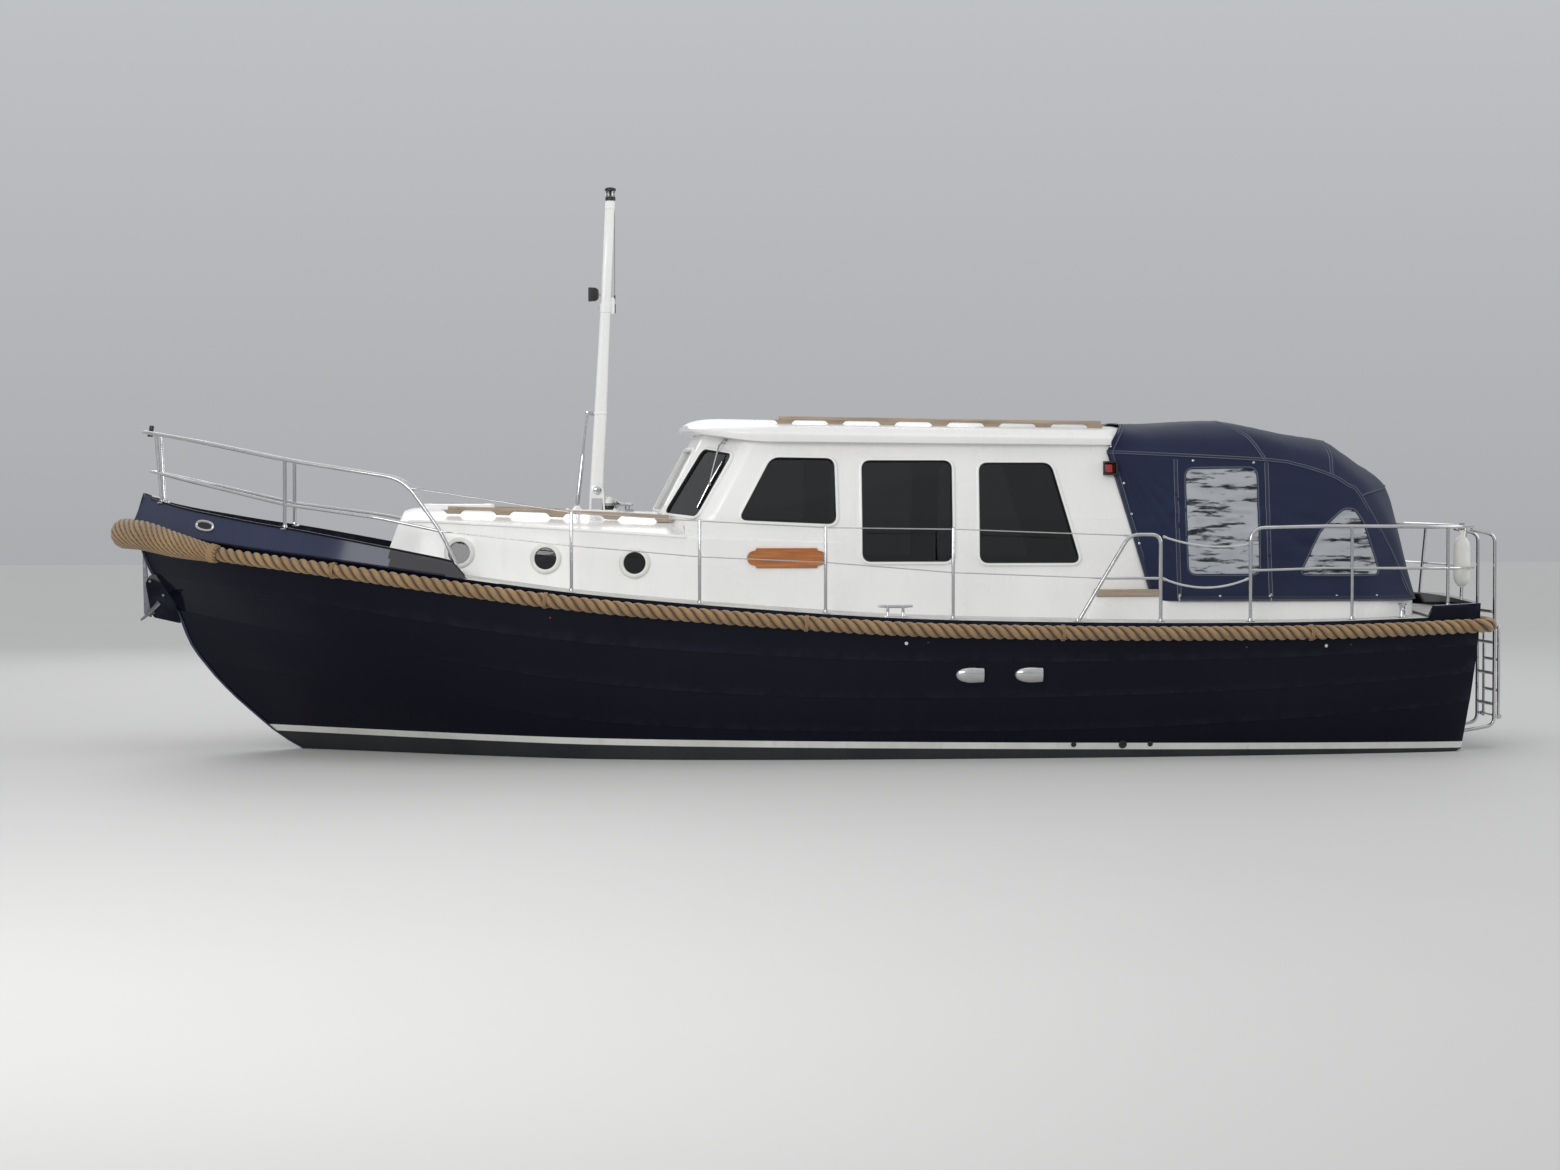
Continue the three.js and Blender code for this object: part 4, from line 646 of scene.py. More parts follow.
# Lines of the hull, which other pieces stand on
# Rows: x, then half-breadth and height of the sheer, of knuckles A, B and C, of the bilge and of the garboard,
# and the height of the bottom at the keel
hullSpec = {
    "rows": (
        (-4880, 1340, 1020, 1325, 800, 1290, 600, 1230, 380, 1090, 20, 640, -60, -110),
        (-4400, 1420, 1000, 1410, 770, 1378, 560, 1322, 335, 1190, -30, 720, -130, -190),
        (-3400, 1540, 978, 1534, 726, 1505, 500, 1452, 270, 1320, -90, 830, -290, -390),
        (-2000, 1640, 985, 1632, 705, 1604, 455, 1552, 215, 1420, -150, 930, -400, -530),
        (-600, 1675, 1020, 1665, 715, 1636, 448, 1582, 205, 1450, -160, 960, -430, -570),
        (600, 1660, 1100, 1645, 768, 1608, 480, 1545, 225, 1400, -150, 900, -430, -575),
        (1800, 1580, 1208, 1550, 860, 1490, 575, 1400, 290, 1200, -130, 730, -430, -575),
        (2800, 1400, 1340, 1340, 985, 1240, 710, 1105, 410, 860, -60, 500, -400, -565),
        (3600, 1130, 1452, 1040, 1110, 920, 835, 780, 510, 560, 10, 320, -370, -560),
        (4200, 800, 1530, 700, 1205, 590, 925, 480, 580, 330, 60, 190, -340, -555),
        (4600, 450, 1600, 375, 1270, 305, 985, 240, 620, 160, 80, 100, -320, -550),
        (4950, 30, 1690, 28, 1330, 26, 1040, 24, 650, 22, 100, 22, -310, -545),
    ),
    "bulwark": ((-4880, 85), (-4520, 85), (-4470, 0), (2550, 0), (2660, 108), (3100, 133), (3820, 168),
                (4400, 186), (4950, 185)),
    "stem": (4900, 4976, 4848, 4655, 4455, 3890, 3150, 2400),  # where the stem meets each line
    "transom": -4880, "transomRake": 0.07, "transomCrown": 90, "stemHead": 4950, "rakeFrom": 1000,
    "keelHalf": 20, "crown": 35, "wall": 40, "lap": 5.0, "strakeCrown": 4.0,
    "stripe": (88, 135.5), "stripeSlope": 0.0125, "railInset": 70,
}


def hullRow(x):
    return rowAt(hullSpec["rows"], x)


def sheerHalf(x):
    return hullRow(x)[1]


def sheerZ(x):
    return hullRow(x)[2]


def railY(x):
    return sheerHalf(x) - hullSpec["railInset"]


def bulwarkRise(x):
    return straightAt(hullSpec["bulwark"], x)


def forwardShare(x):
    return max(0.0, (x - hullSpec["rakeFrom"]) / (hullSpec["stemHead"] - hullSpec["rakeFrom"]))


# Rope and line: a tube whose skin follows its twisted strands
def twistedTube(pile, run, radius, strands, lay, depth, sides=18):
    gone, rings, runs = 0.0, [], []
    for i, (place, (_, side, up)) in enumerate(zip(run, framesAlong(run))):
        gone += (run[i] - run[i - 1]).length if i else 0.0
        ring = []
        for angle in turnsOf(sides):
            turn = angle - 2 * pi * gone / lay
            reach = radius * (1 - depth + depth * abs(cos(strands * 0.5 * turn)))
            ring.append(place + (side * cos(angle) + up * sin(angle)) * reach)
            runs.append((gone * mm, cos(turn) * radius * mm, sin(turn) * radius * mm))
        rings.append(ring)
    return pile.rings(rings, 0, runs)


# Covered lines that close each side gate: height at the gate frame, at the stern rail, and sag
gateLineSpec = {
    "lines": {"upper": (1606, 1545, 45), "lower": (1304, 1300, 72)},
    "from": -2460, "to": -3130, "clear": 15, "radius": 8.0, "lay": 46, "step": 8,
    "ferrule": ((0, 0), (10.5, 0.5), (11.5, 3), (11.5, 26), (9.6, 30), (0, 30.5)),
}


def makeGateLine(name, side):
    spec = gateLineSpec
    foreZ, aftZ, sag = spec["lines"][name]
    start = Vector((spec["from"], side * railY(spec["from"]), foreZ))
    end = Vector((spec["to"], side * railY(spec["to"]), aftZ))
    reach = (end - start).length
    low, high = spec["clear"] / reach, 1 - spec["clear"] / reach
    points = []
    for k in range(61):
        t = low + (high - low) * k / 60
        points.append(start.lerp(end, t) - Vector((0, 0, 4 * sag * t * (1 - t))))
    run = evenRun(points, spec["step"])
    sideName = "port" if side > 0 else "starboard"
    line = twistedTube(Pile(), run, spec["radius"], 3, spec["lay"], 0.13)
    line = line.make(f"gateLine_{name}_{sideName}", "lineCover", [f"gate_line_{name}_{sideName}"], sharp=60)
    for tag, place, after in (("fore", run[0], run[4]), ("aft", run[-1], run[-5])):
        ferrule = Pile().turned(spec["ferrule"], place - (after - place).normalized() * 1.5, after - place, 20)
        eye = (place - after).normalized()
        ferrule.tube([place - eye * 4, place + eye * 2.2], 4.2, sides=10)
        ferrule.make(f"gateLineEnd_{name}_{tag}_{sideName}", "steel")


for lineName in gateLineSpec["lines"]:
    for lineSide in (1, -1):
        makeGateLine(lineName, lineSide)
print("gate lines ready")



# Hull
def hullSide(x):  # port side points from the top edge down to the keel, with each strake slightly crowned
    row = hullRow(x)
    rise = bulwarkRise(x)
    lines = [(row[1] - 0.1 * rise, row[2] + rise)] + [(row[k], row[k + 1]) for k in range(1, 13, 2)]
    lines.append((hullSpec["keelHalf"], row[13]))
    forward = forwardShare(x)
    aft = hullSpec["transomRake"] if x <= hullSpec["transom"] else 0.0

    def station(line, z):  # line may lie between two lines, where the stem curves from one to the next
        stem = hullSpec["stem"]
        low = min(len(stem) - 2, int(line))
        t, a, b = line - low, stem[low], stem[low + 1]
        if low >= 1:
            da, db = (b - stem[low - 1]) / 2, (stem[min(len(stem) - 1, low + 2)] - a) / 2
            da = b - a if low == 1 else da
            reach = between(a, b, da, db, t)
        else:
            reach = a + (b - a) * t
        return x + forward * (reach - hullSpec["stemHead"]) + aft * (row[2] - z)

    fade = max(0.0, min(1.0, (row[1] - 60) / 500))
    lap, crown = hullSpec["lap"] * fade, hullSpec["strakeCrown"] * fade
    points = []
    for line, (y, z) in enumerate(lines):
        lapped = line in (2, 3, 4)
        points.append((station(line, z), y + (lap * 0.4 if lapped else 0), z))
        if lapped:
            points.append((station(line, z), y - lap * 0.6, z - 1.0))
        if line < len(lines) - 1:
            y1, z1 = lines[line + 1]
            y0 = y - lap * 0.6 if lapped else y
            for t in (0.25, 0.5, 0.75):
                bulge = crown * sin(pi * t) * (0 if line == 0 else 2.2 if line > 4 else 1)
                zt = z + (z1 - z) * t
                points.append((station(line + t, zt), y0 + (y1 - y0) * t + bulge, zt))
    return points


def hullRing(x, share=1.0, shift=0.0):
    side = hullSide(x)
    top = side[0]
    deck = [(top[0], top[1] * t, top[2] + hullSpec["crown"] * (1 - t * t)) for t in (0.0, 0.3, 0.55, 0.8)]
    port = [(a + shift, b * share, c) for a, b, c in deck + side]
    return port + opposite(port[1:])


def wellCutter(name, low, high, drop, finish):  # the deck between the bulwarks
    pile, rings = Pile(), []
    for x in spread(low, high, 90):
        half, z = sheerHalf(x) - hullSpec["wall"], sheerZ(x) - drop
        port = [(x - forwardShare(x) * 75, half - 27, z + 270), (x, half, z)]
        port += [(x, half * t, z + hullSpec["crown"] * (1 - t * t)) for t in (0.75, 0.5, 0.25)]
        rings.append(port + [(x, 0, z + hullSpec["crown"])] + opposite(port))
    pile.rings(rings)
    return pile.mesh(name, finish)


interiorSpec = {
    "soleZ": 400, "cockpitZ": 450, "doorHalf": (-316, 311), "doorZ": (652, 1400),
    "plan": ((-2380, -1020), (1000, -1020), (1800, -950), (2850, -690), (2850, 690), (1800, 950), (1000, 1020),
             (-2380, 1020)),
    "bulkhead": ((-2200, 2200), (-2450, 1280)),
}


def bulkheadX(z):
    (x1, z1), (x0, z0) = interiorSpec["bulkhead"]
    return x0 + (z - z0) * (x1 - x0) / (z1 - z0)


def sideSolid(name, outline, low, high, finish):  # an outline of x and z between two values of y
    return Pile().prism(outline, (0, high, 0), *upright, high - low).mesh(name, finish)


def cockpitCutter(name, aft, floor, half, finish):
    outline = [(aft, floor), (bulkheadX(floor), floor), (bulkheadX(1300), 1300), (aft, 1300)]
    return sideSolid(name, outline, -half, half, finish)


keelOutline = [(2350, -480), (-3300, -300), (-3560, -420), (-3560, -880), (-4270, -880), (-4270, -920),
               (-3440, -920), (1950, -760), (2420, -600)]


def makeHull():
    aft, ahead = hullSpec["transom"], hullSpec["stemHead"]
    stations = sorted(set(spread(aft, ahead - 100, 110)) | {x for x, _ in hullSpec["bulwark"]} | {ahead - 50})
    rings = [hullRing(aft, share, -hullSpec["transomCrown"] * (1 - share * share) ** 0.8)
             for share in (0.02, 0.2, 0.4, 0.6, 0.78, 0.9, 0.97)]
    rings += [hullRing(x) for x in stations]
    rings += [hullRing(ahead, share, reach) for share, reach in ((0.8, 8), (0.5, 14), (0.1, 17))]
    hull = Pile().rings(rings).mesh(
        "hullPlating", "navyPaint bottomPaint bootPaint deckPaint liningPaint teakWood whitePaint")
    keel = sideSolid("keel", keelOutline, -50, 50, "bottomPaint")
    soften(keel, 14, 3)
    carve(hull, [keel], "UNION")
    low, high = interiorSpec["doorHalf"]
    z0, z1 = interiorSpec["doorZ"]
    cabin = Pile().prism(interiorSpec["plan"], (0, 0, interiorSpec["soleZ"]), *level, 2200)
    shaft = Pile().turned([(0, -400), (20.8, -400), (20.8, 500), (0, 500)], (-3560, 0, -620), (1, 0, 0), 24)
    carve(hull, [
        wellCutter("foreWell", 2556, 4800, 4, "deckPaint"), wellCutter("aftWell", -4840, -4480, 4, "deckPaint"),
        cabin.mesh("cabinWell", "liningPaint"),
        cockpitCutter("cockpitWell", -4400, interiorSpec["cockpitZ"], 1080, "whitePaint"),
        sideSolid("doorSlot", [(bulkheadX(z0) - 10, z0), (-2300, z0), (-2200, z1), (bulkheadX(z1) - 10, z1)],
                  low, high, "whitePaint"),
        shaft.mesh("shaftTube", "bottomPaint"),
    ])
    paintHull(hull)
    settle(hull, "root", "navy_hull_paint", ["hull"], sharp=14)


def paintHull(hull):  # splits the plating at the stripe, and gives each face its finish
    low, high = hullSpec["stripe"]
    slope = hullSpec["stripeSlope"]
    work = bmesh.new()
    work.from_mesh(hull.data)
    for z in (low, high):
        bmesh.ops.bisect_plane(work, geom=work.verts[:] + work.edges[:] + work.faces[:], dist=1e-6,
                               plane_co=(0, 0, z * mm), plane_no=(-slope, 0, 1))
    names = [m.name for m in hull.data.materials]
    if "bulwarkPaint" not in names:
        hull.data.materials.append(finishes["bulwarkPaint"])
        names.append("bulwarkPaint")
    for face in work.faces:
        x, _, z = (c / mm for c in face.calc_center_median())
        name = names[face.material_index]
        if name == "navyPaint":
            if z - slope * x < low:
                name = "bottomPaint"
            elif z - slope * x < high:
                name = "bootPaint"
            # the high bulwark forward gets the lighter navy, its painted sky light
            elif bulwarkRise(x) > 132 and z > sheerZ(x) - 12 and face.normal.z < 0.8:
                name = "bulwarkPaint"
            elif face.normal.z > 0.8 and z > sheerZ(x) - 10 and bulwarkRise(x) < 20:
                name = "deckPaint"
        elif name == "deckPaint" and face.normal.z < 0.6:
            name = "navyPaint"
        elif name == "whitePaint" and face.normal.z > 0.8 and z < 500:
            name = "teakWood"
        face.material_index = names.index(name)
    work.to_mesh(hull.data)
    work.free()


makeHull()
print("hull ready")



# Rope fender round the sheer and the thick one over the bow
ropeSpec = {
    "radius": 54, "reach": 48, "drop": 75, "lay": 232, "strands": 3, "strand": 0.464, "helix": 0.536,
    "turnSteps": 11, "sides": 10,
    "sternX": -5018, "sternZ": 945, "splay": 4000,
    "stations": (-4700, -4300, -3600, -2500, -1600, -600, 500, 1400, 2100, 2800, 3500, 3850, 4150, 4300),
    "bow": ((4290, 58, 0), (4390, 70, 2), (4500, 84, 7), (4630, 96, 12), (4750, 105, 16), (4850, 110, 12)),
    "bowNose": (5046, 0, 1610), "bowNoseRadius": 113, "bowStrands": 13, "bowLean": 1.25,
    "seizings": (-3560, -1720, 130, 1980, 3480),
}


def ropeHalf():  # the port run of the fender, from the bow to the middle of the stern
    spec = ropeSpec
    points = []
    for x in spec["stations"]:
        half = sheerHalf(x) + spec["reach"] * (1 - max(0, x - 3000) * 0.0001)
        points.append((x + max(0, x - spec["splay"]) * 0.04, half, sheerZ(x) - spec["drop"]))
    corner = (-4949, sheerHalf(hullSpec["transom"]) + 9.6, spec["sternZ"])
    return [(spec["sternX"], 0, spec["sternZ"]), (spec["sternX"], 560, spec["sternZ"]), corner, *points]


# painted shade: the rope finish darkens each point by its crown, so the grooves between strands look shaded
def shadeGrooves(pile, start, run, sides, full, floor):  # crown: how far each point stands out from the middle
    for k in range(start, len(pile.places)):
        i = min(len(run) - 1, (k - start) // sides)
        reach = full[i] if isinstance(full, list) else full
        away = (Vector(pile.places[k]) - run[i]).length
        pile.crowns[k] = max(0.0, min(1.0, (away / reach - floor) / (1 - floor)))


def laidRope(name, run, replaces):
    spec, strands = ropeSpec, ropeSpec["strands"]
    run = evenRun(run, spec["lay"] / spec["turnSteps"])
    radius, helix = spec["radius"] * spec["strand"], spec["radius"] * spec["helix"]
    frames, gone = framesAlong(run), lengthsAlong(run)
    pile = Pile()
    for strand in range(strands):
        centres = []
        for place, far, (_, side, up) in zip(run, gone, frames):
            angle = 2 * pi * far / spec["lay"] + 2 * pi * strand / strands
            centres.append(place + (side * cos(angle) + up * sin(angle)) * helix)
        start = len(pile.places)
        pile.tube(centres, radius, sides=spec["sides"])
        shadeGrooves(pile, start, run, spec["sides"], helix + radius, 0.66)
    pile.make(name, "manilaRope", replaces, sharp=80, weld=0.001)


def lashing(pile, centre, side, up, radius, thick, sides):  # one turn of thin line round the rope
    ring = ringAt(centre, side, up, radius, sides)
    pile.bead(ring, [(p - centre).normalized() for p in ring], roundSection(thick, 6))


def bowStation(spec, x, radius, rise):
    return (x + (x - spec["splay"]) * 0.04 + radius * 0.25, sheerHalf(x) + radius * 0.86,
            sheerZ(x) - spec["drop"] + rise)


def makeBowFender():  # a core wound over with rope, thick at the stem and tapered to each side
    spec = ropeSpec
    side = [bowStation(spec, *row) for row in spec["bow"]]
    points = [*side, spec["bowNose"], *opposite(side)]
    reach = [row[1] for row in spec["bow"]]
    radii = [*reach, spec["bowNoseRadius"], *reversed(reach)]
    fine = smoothRun(points, 12)
    steps = [radii[min(len(radii) - 1, i // 12)] * (1 - (i % 12) / 12)
             + radii[min(len(radii) - 1, i // 12 + 1)] * ((i % 12) / 12) for i in range(len(fine))]
    lengths = lengthsAlong(fine)
    run = evenRun(fine, 11)
    radius = [straightAt(list(zip(lengths, steps)), lengths[-1] * i / (len(run) - 1)) for i in range(len(run))]
    frames = framesAlong(run)
    pile = Pile()
    core = [run[i] for i in range(0, len(run), 2)]
    pile.tube(core, [radius[i] * 0.80 for i in range(0, len(run), 2)], sides=24)
    strands = spec["bowStrands"]
    turn, angles = 0.0, []
    for i in range(len(run)):
        angles.append(turn)
        turn += (run[min(i + 1, len(run) - 1)] - run[i]).length / (radius[i] * spec["bowLean"])
    for strand in range(strands):
        phase = 2 * pi * strand / strands
        centres, widths = [], []
        for i in range(len(run)):
            _, across, up = frames[i]
            angle = angles[i] + phase
            width = pi * radius[i] / strands * (0.84 + 0.14 * sin(i * 1.9 + strand * 2.3))
            centres.append(run[i] + (across * cos(angle) + up * sin(angle)) * (radius[i] - width))
            widths.append(width)
        start = len(pile.places)
        pile.tube(centres, widths, sides=12)
        shadeGrooves(pile, start, run, 12, radius, 0.88)
    for i in (*range(2, 7), *range(len(run) - 3, len(run) - 8, -1)):  # whipping turns at the ends
        lashing(pile, run[i], *frames[i][1:], radius[i] + 1, 6.5, 28)
    pile.make("bowFender", "manilaRope", ["bow_fender"], sharp=80, weld=0.001)


def makeRopeFender():
    spec = ropeSpec
    loop = smoothRun(list(reversed(ropeHalf())), 8)
    laidRope("ropeFender", [*loop, *flipped(reversed(loop[:-1]))], ["rope_fender"])
    pile = Pile()  # lashings that hold the rope to the eyes on the plating
    for x in spec["seizings"]:
        place = Vector((x, sheerHalf(x) + spec["reach"], sheerZ(x) - spec["drop"]))
        ahead = Vector((x + 20, sheerHalf(x + 20) + spec["reach"], sheerZ(x + 20) - spec["drop"]))
        heading = (ahead - place).normalized()
        side = heading.cross(Vector((0, 0, 1))).normalized()
        for k in range(3):
            lashing(pile, place + heading * (9 * (k - 1)), side, side.cross(heading), spec["radius"] + 1.5, 4, 30)
    pile.mirrored().make("ropeLashings", "manilaRope", sharp=80)


makeRopeFender()
makeBowFender()
print("fenders ready")



# Coachroof
# Rows: x at the foot, half-breadth at the foot, height of the side, half-breadth there, half-breadth and height
# of the edge of the crown, height on the centreline, lean of the face
coachSpec = {
    "rows": (
        (962, 1183, 1600, 1156, 900, 1670, 1765, 0),
        (1800, 1130, 1655, 1081, 840, 1706, 1785, 0),
        (2550, 985, 1697, 931, 700, 1738, 1800, 0),
        (2960, 860, 1712, 800, 590, 1744, 1800, 60),
        (3150, 790, 1700, 694, 500, 1730, 1778, 170),
    ),
    "wall": 36, "portlights": ((2580, 1480), (1960, 1440), (1320, 1408)), "portlightRadius": 80,
    "ring": ((80, 17), (86, 20), (98, 19), (110, 13), (114, 5), (114, -4), (80, -4)),
    "gasket": ((76, 7), (78, 15), (81, 17.5), (84, 15), (84, 4), (76, 4)), "pane": 78, "lip": 9,
    "hatch": {"x": (2310, 2850), "half": 290, "top": 1832, "plate": 22},
}


def coachRing(x, inset=0.0, floor=None):
    row = rowAt(coachSpec["rows"], max(962, min(x, 3150)))
    foot, side, sideHalf, edge, edgeZ, top = row[1:7]
    lean = straightAt(((2550, 0), (2960, 60), (3150, 170)), x)
    sill = floor if floor is not None else sheerZ(x) - 60

    def back(z):
        return x - lean * max(0.0, (z - 1380) / 400) - (inset if lean > 0 else 0)

    lip = sideHalf + coachSpec["lip"] - inset
    low = side - inset * 0.6
    corners = [(0, top - inset), (edge * 0.55, top - (top - edgeZ) * 0.28 - inset), (edge - inset * 0.6, edgeZ - inset),
               (lip - 16, low + 10), (lip, low + 3), (lip, low - 9), (sideHalf - inset, low - 14), (foot - inset, sill)]
    line = roundedLine(corners, [0, 200, 90, 8, 5, 3, 3, 0], 5, closed=False)
    points = [(back(p.y), max(0.0, p.x), p.y) for p in line]
    points[0] = (points[0][0], 0, points[0][2])
    return points + opposite(points[1:])


def makeCoachroof():
    spec = coachSpec
    stations = spread(950, 2950, 85)[:-1] + [2960, 3020, 3080, 3120, 3150]
    rings = [coachRing(x) for x in stations[:-1]]
    rings += [coachRing(x, inset) for x, inset in ((3136, 0), (3148, 2), (3158, 7), (3168, 15), (3174, 22))]
    roof = Pile().rings(rings).mesh("coachroofShell", "whitePaint liningPaint")
    inner = [x for x in stations if x < 3090]
    hollow = Pile().rings([coachRing(x, spec["wall"], 380) for x in [900, *inner[1:]]])
    cutters = [hollow.mesh("coachHollow", "liningPaint")]
    for x, z in spec["portlights"]:
        r = spec["portlightRadius"]
        hole = Pile().turned([(0, -1500), (r, -1500), (r, 1500), (0, 1500)], (x, 0, z), (0, 1, 0), 40)
        cutters.append(hole.mesh("lightHole", "whitePaint"))
    x0, x1 = spec["hatch"]["x"]
    half = spec["hatch"]["half"]
    frameTop = spec["hatch"]["top"] - spec["hatch"]["plate"] - 1
    frameBase = Pile().block(x0 + 14, x1 - 14, 14 - half, half - 14, 1700, frameTop)
    frameBase = frameBase.mesh("hatchFrame", "whitePaint")
    soften(frameBase, 6, 2)
    carve(roof, [frameBase], "UNION")
    opening = Pile().block(x0 + 40, x1 - 40, 40 - half, half - 40, 1500, 2000)
    cutters.append(opening.mesh("hatchHole", "whitePaint"))
    carve(roof, cutters)
    settle(roof, "root", "white_paint", ["coachroof"], sharp=30)


def coachSideY(x, z):  # where the outer skin of the coachroof side lies
    row = rowAt(coachSpec["rows"], x)
    sill = sheerZ(x) - 60
    return row[3] + (row[1] - row[3]) * (row[2] - z) / (row[2] - sill)


def sideNormal(surface, x, z):
    ahead = surface(x + 40, z) - surface(x - 40, z)
    above = surface(x, z + 40) - surface(x, z - 40)
    return Vector((-ahead / 80, 1, -above / 80)).normalized()


def makePortlights():
    spec = coachSpec
    rings, gaskets, panes = Pile(), Pile(), Pile()
    for x, z in spec["portlights"]:
        place = Vector((x, coachSideY(x, z), z))
        out = sideNormal(coachSideY, x, z)
        rings.hoop(spec["ring"], place, out, 48)
        gaskets.hoop(spec["gasket"], place, out, 48)
        panes.turned([(0, 2), (spec["pane"], 2), (spec["pane"], 7), (0, 7)], place, out, 40)
        up = out.cross(Vector((1, 0, 0))).normalized()
        side = up.cross(out)
        for k in range(8):
            angle = pi * (k + 0.5) / 4
            spot = place + (side * cos(angle) + up * sin(angle)) * 101
            rings.turned([(0, 17), (4.5, 17), (4.2, 20), (2.5, 21.4), (0, 21.6)], spot, out, 10)
    rings.mirrored().make("portlightRings", "whitePlastic", sharp=40)
    gaskets.mirrored().make("portlightGaskets", "rubber", sharp=40)
    panes.mirrored().make("portlightPanes", "windowGlass", sharp=30)


def makeForeHatch():
    spec = coachSpec["hatch"]
    x0, x1 = spec["x"]
    half, top = spec["half"], spec["top"]
    middle = (x0 + x1) / 2
    outline = roundedLine([(x0, -half), (x1, -half), (x1, half), (x0, half)], 46, 7)
    # inset and drop, from the ceiling of the lid down its skirt and over the top
    levels = ((8, 22), (8, 44), (0, 44), (0, 6), (3, 1), (10, 0), (34, -3), (70, -5))
    rings = [[(p.x - (p.x - middle) / (x1 - middle) * inset, p.y - p.y / half * inset, top - 5 - drop)
              for p in outline] for inset, drop in levels]
    Pile().rings(rings).make("foreHatchLid", "whitePaint", ["fore_hatch"], body="fore_hatch", sharp=40)
    trim = Pile()
    for y in (-150, 150):  # hinges on the aft edge
        trim.block(x0 - 9, x0 + 46, y - 24, y + 24, top - 7, top - 1)
        trim.tube([(x0 - 3, y - 26, top - 10), (x0 - 3, y + 26, top - 10)], 6, sides=12)
    trim.make("foreHatchHinges", "steel", body="fore_hatch", bevel=1.5)
    corners = [(x0 + 78, 78 - half), (x1 - 78, 78 - half), (x1 - 78, half - 78), (x0 + 78, half - 78)]
    pane = roundedLine(corners, 30, 6)
    glass = Pile().prism(pane, (0, 0, top - 1), *level, 4)
    glass.make("foreHatchPane", "windowGlass", body="fore_hatch", bevel=1.2)


makeCoachroof()
makePortlights()
makeForeHatch()
print("coachroof ready")



# Wheelhouse
# Rows: height, x and half-breadth of the front corner, of the side corner and of the rear corner
houseSpec = {
    "rows": (
        (900, 955, 700, 955, 1192, 1205), (1719, 955, 700, 955, 1150, 1160),
        (1720, 1105, 590, 815, 1148, 1160), (2300, 800, 560, 505, 1062, 1112),
    ),
    "sill": 1719.6, "wall": 38, "knuckleZ": 1557, "knuckle": 14, "ledge": (-178, 0.0363, -7),
    "side": {
        "fore": ((320, 2166), (-130, 2159), (-140, 1691), (560, 1721)),
        "middle": ((-340, 2144), (-990, 2144), (-990, 1419), (-340, 1419)),
        "aft": ((-1200, 2128), (-1720, 2128), (-1930, 1408), (-1200, 1408)),
    },
    "sideRadius": 60, "screenRadius": 45,
    "screens": {"centre": ((-520, 1782), (520, 1782), (495, 2222), (-495, 2222)),
                "side": ((57, 1766), (515, 1742), (525, 2187), (127, 2225))},
    "frame": ((-27, -3), (-27, 12), (-24, 15.5), (-3, 16), (1, 13), (1, -3)),
    "seal": ((1.5, -9), (1.5, 12), (-1, 17.5), (-5.5, 17.5), (-8.5, 11), (-8.5, -9)),
    "door": {"hinge": 310, "width": 620, "z": (660, 2080), "head": 2096},
}


def houseAt(z):  # corner places at a height
    low, high = houseSpec["rows"][:2] if z < houseSpec["sill"] else houseSpec["rows"][2:]
    t = (z - low[0]) / (high[0] - low[0])
    return [a + (b - a) * t for a, b in zip(low, high)]


def houseRing(z, inset=0.0, bulge=True):  # plan of the walls at a height, port rear to starboard rear
    _, frontX, frontHalf, sideX, sideHalf, rearHalf = houseAt(z)
    rearX = bulkheadX(z)
    corners = [(rearX + inset, 0), (rearX + inset, rearHalf - inset), (sideX - inset * 0.4, sideHalf - inset),
               (frontX - inset, frontHalf - inset * 0.3), (frontX - inset, 0)]
    low = z < houseSpec["sill"]
    radii = [0, max(6, 40 - inset), 3 if low else max(20, 95 - inset), 3 if low else max(20, 70 - inset), 0]
    line = roundedLine(corners, radii, 7, closed=False)
    # the long runs get more points, so that the knuckle can fade out along the side
    counts = {0: 4, 8: 22, 16: 3, 24: 4}
    port = []
    for i, (start, end) in enumerate(zip(line, line[1:])):
        count = counts.get(i, 1)
        port += [(*start.lerp(end, j / count), z) for j in range(count)]
    port.append((*line[-1], z))
    if bulge:
        port = [(x, y, z + ledgeShift(x) * max(0.0, 1 - abs(z - houseSpec["knuckleZ"]) / 110)) for x, y, z in port]
        port = [(x, y + houseKnuckle(x, z) if y > 800 else y, z) for x, y, z in port]
    return port + opposite(port[1:-1])


def ledgeShift(x):  # the ledge climbs toward the bow
    start, slope, low = houseSpec["ledge"]
    return low + slope * max(0, x - start)


def houseKnuckle(x, z):  # above the knuckle the side steps in a little; the step fades out going aft
    spec = houseSpec
    share = max(0.0, min(1.0, (x + 200) / 520)) * max(0.0, min(1.0, (1250 - x) / 300))
    rise = z - spec["knuckleZ"] - ledgeShift(x)
    if rise < 0:
        return 0.0
    return -spec["knuckle"] * share * min(1.0, rise / 9) * max(0.0, 1 - rise / 420)


def houseSideY(x, z):
    _, _, _, sideX, sideHalf, rearHalf = houseAt(z)
    rearX = bulkheadX(z)
    t = (x - rearX) / (sideX - rearX)
    return rearHalf + (sideHalf - rearHalf) * t + houseKnuckle(x, z)


def roofUnder(x):
    return 2274 + (x + 1000) * 0.0091


def sideCutter(name, corners, radius):
    line = roundedLine(corners, radius, 7)
    return Pile().prism(line, (0, 1500, 0), *upright, 3000).mesh(name, "whitePaint")


def screenPoint(place, u, z, side=1):  # a point on the outer face of a windscreen wall
    _, frontX, frontHalf, sideX, sideHalf, _ = houseAt(z)
    if place == "centre":
        return Vector((frontX, u, z))
    front, back = Vector((frontX, frontHalf)), Vector((sideX, sideHalf))
    spot = front + (back - front).normalized() * u
    return Vector((spot.x, spot.y * side, z))


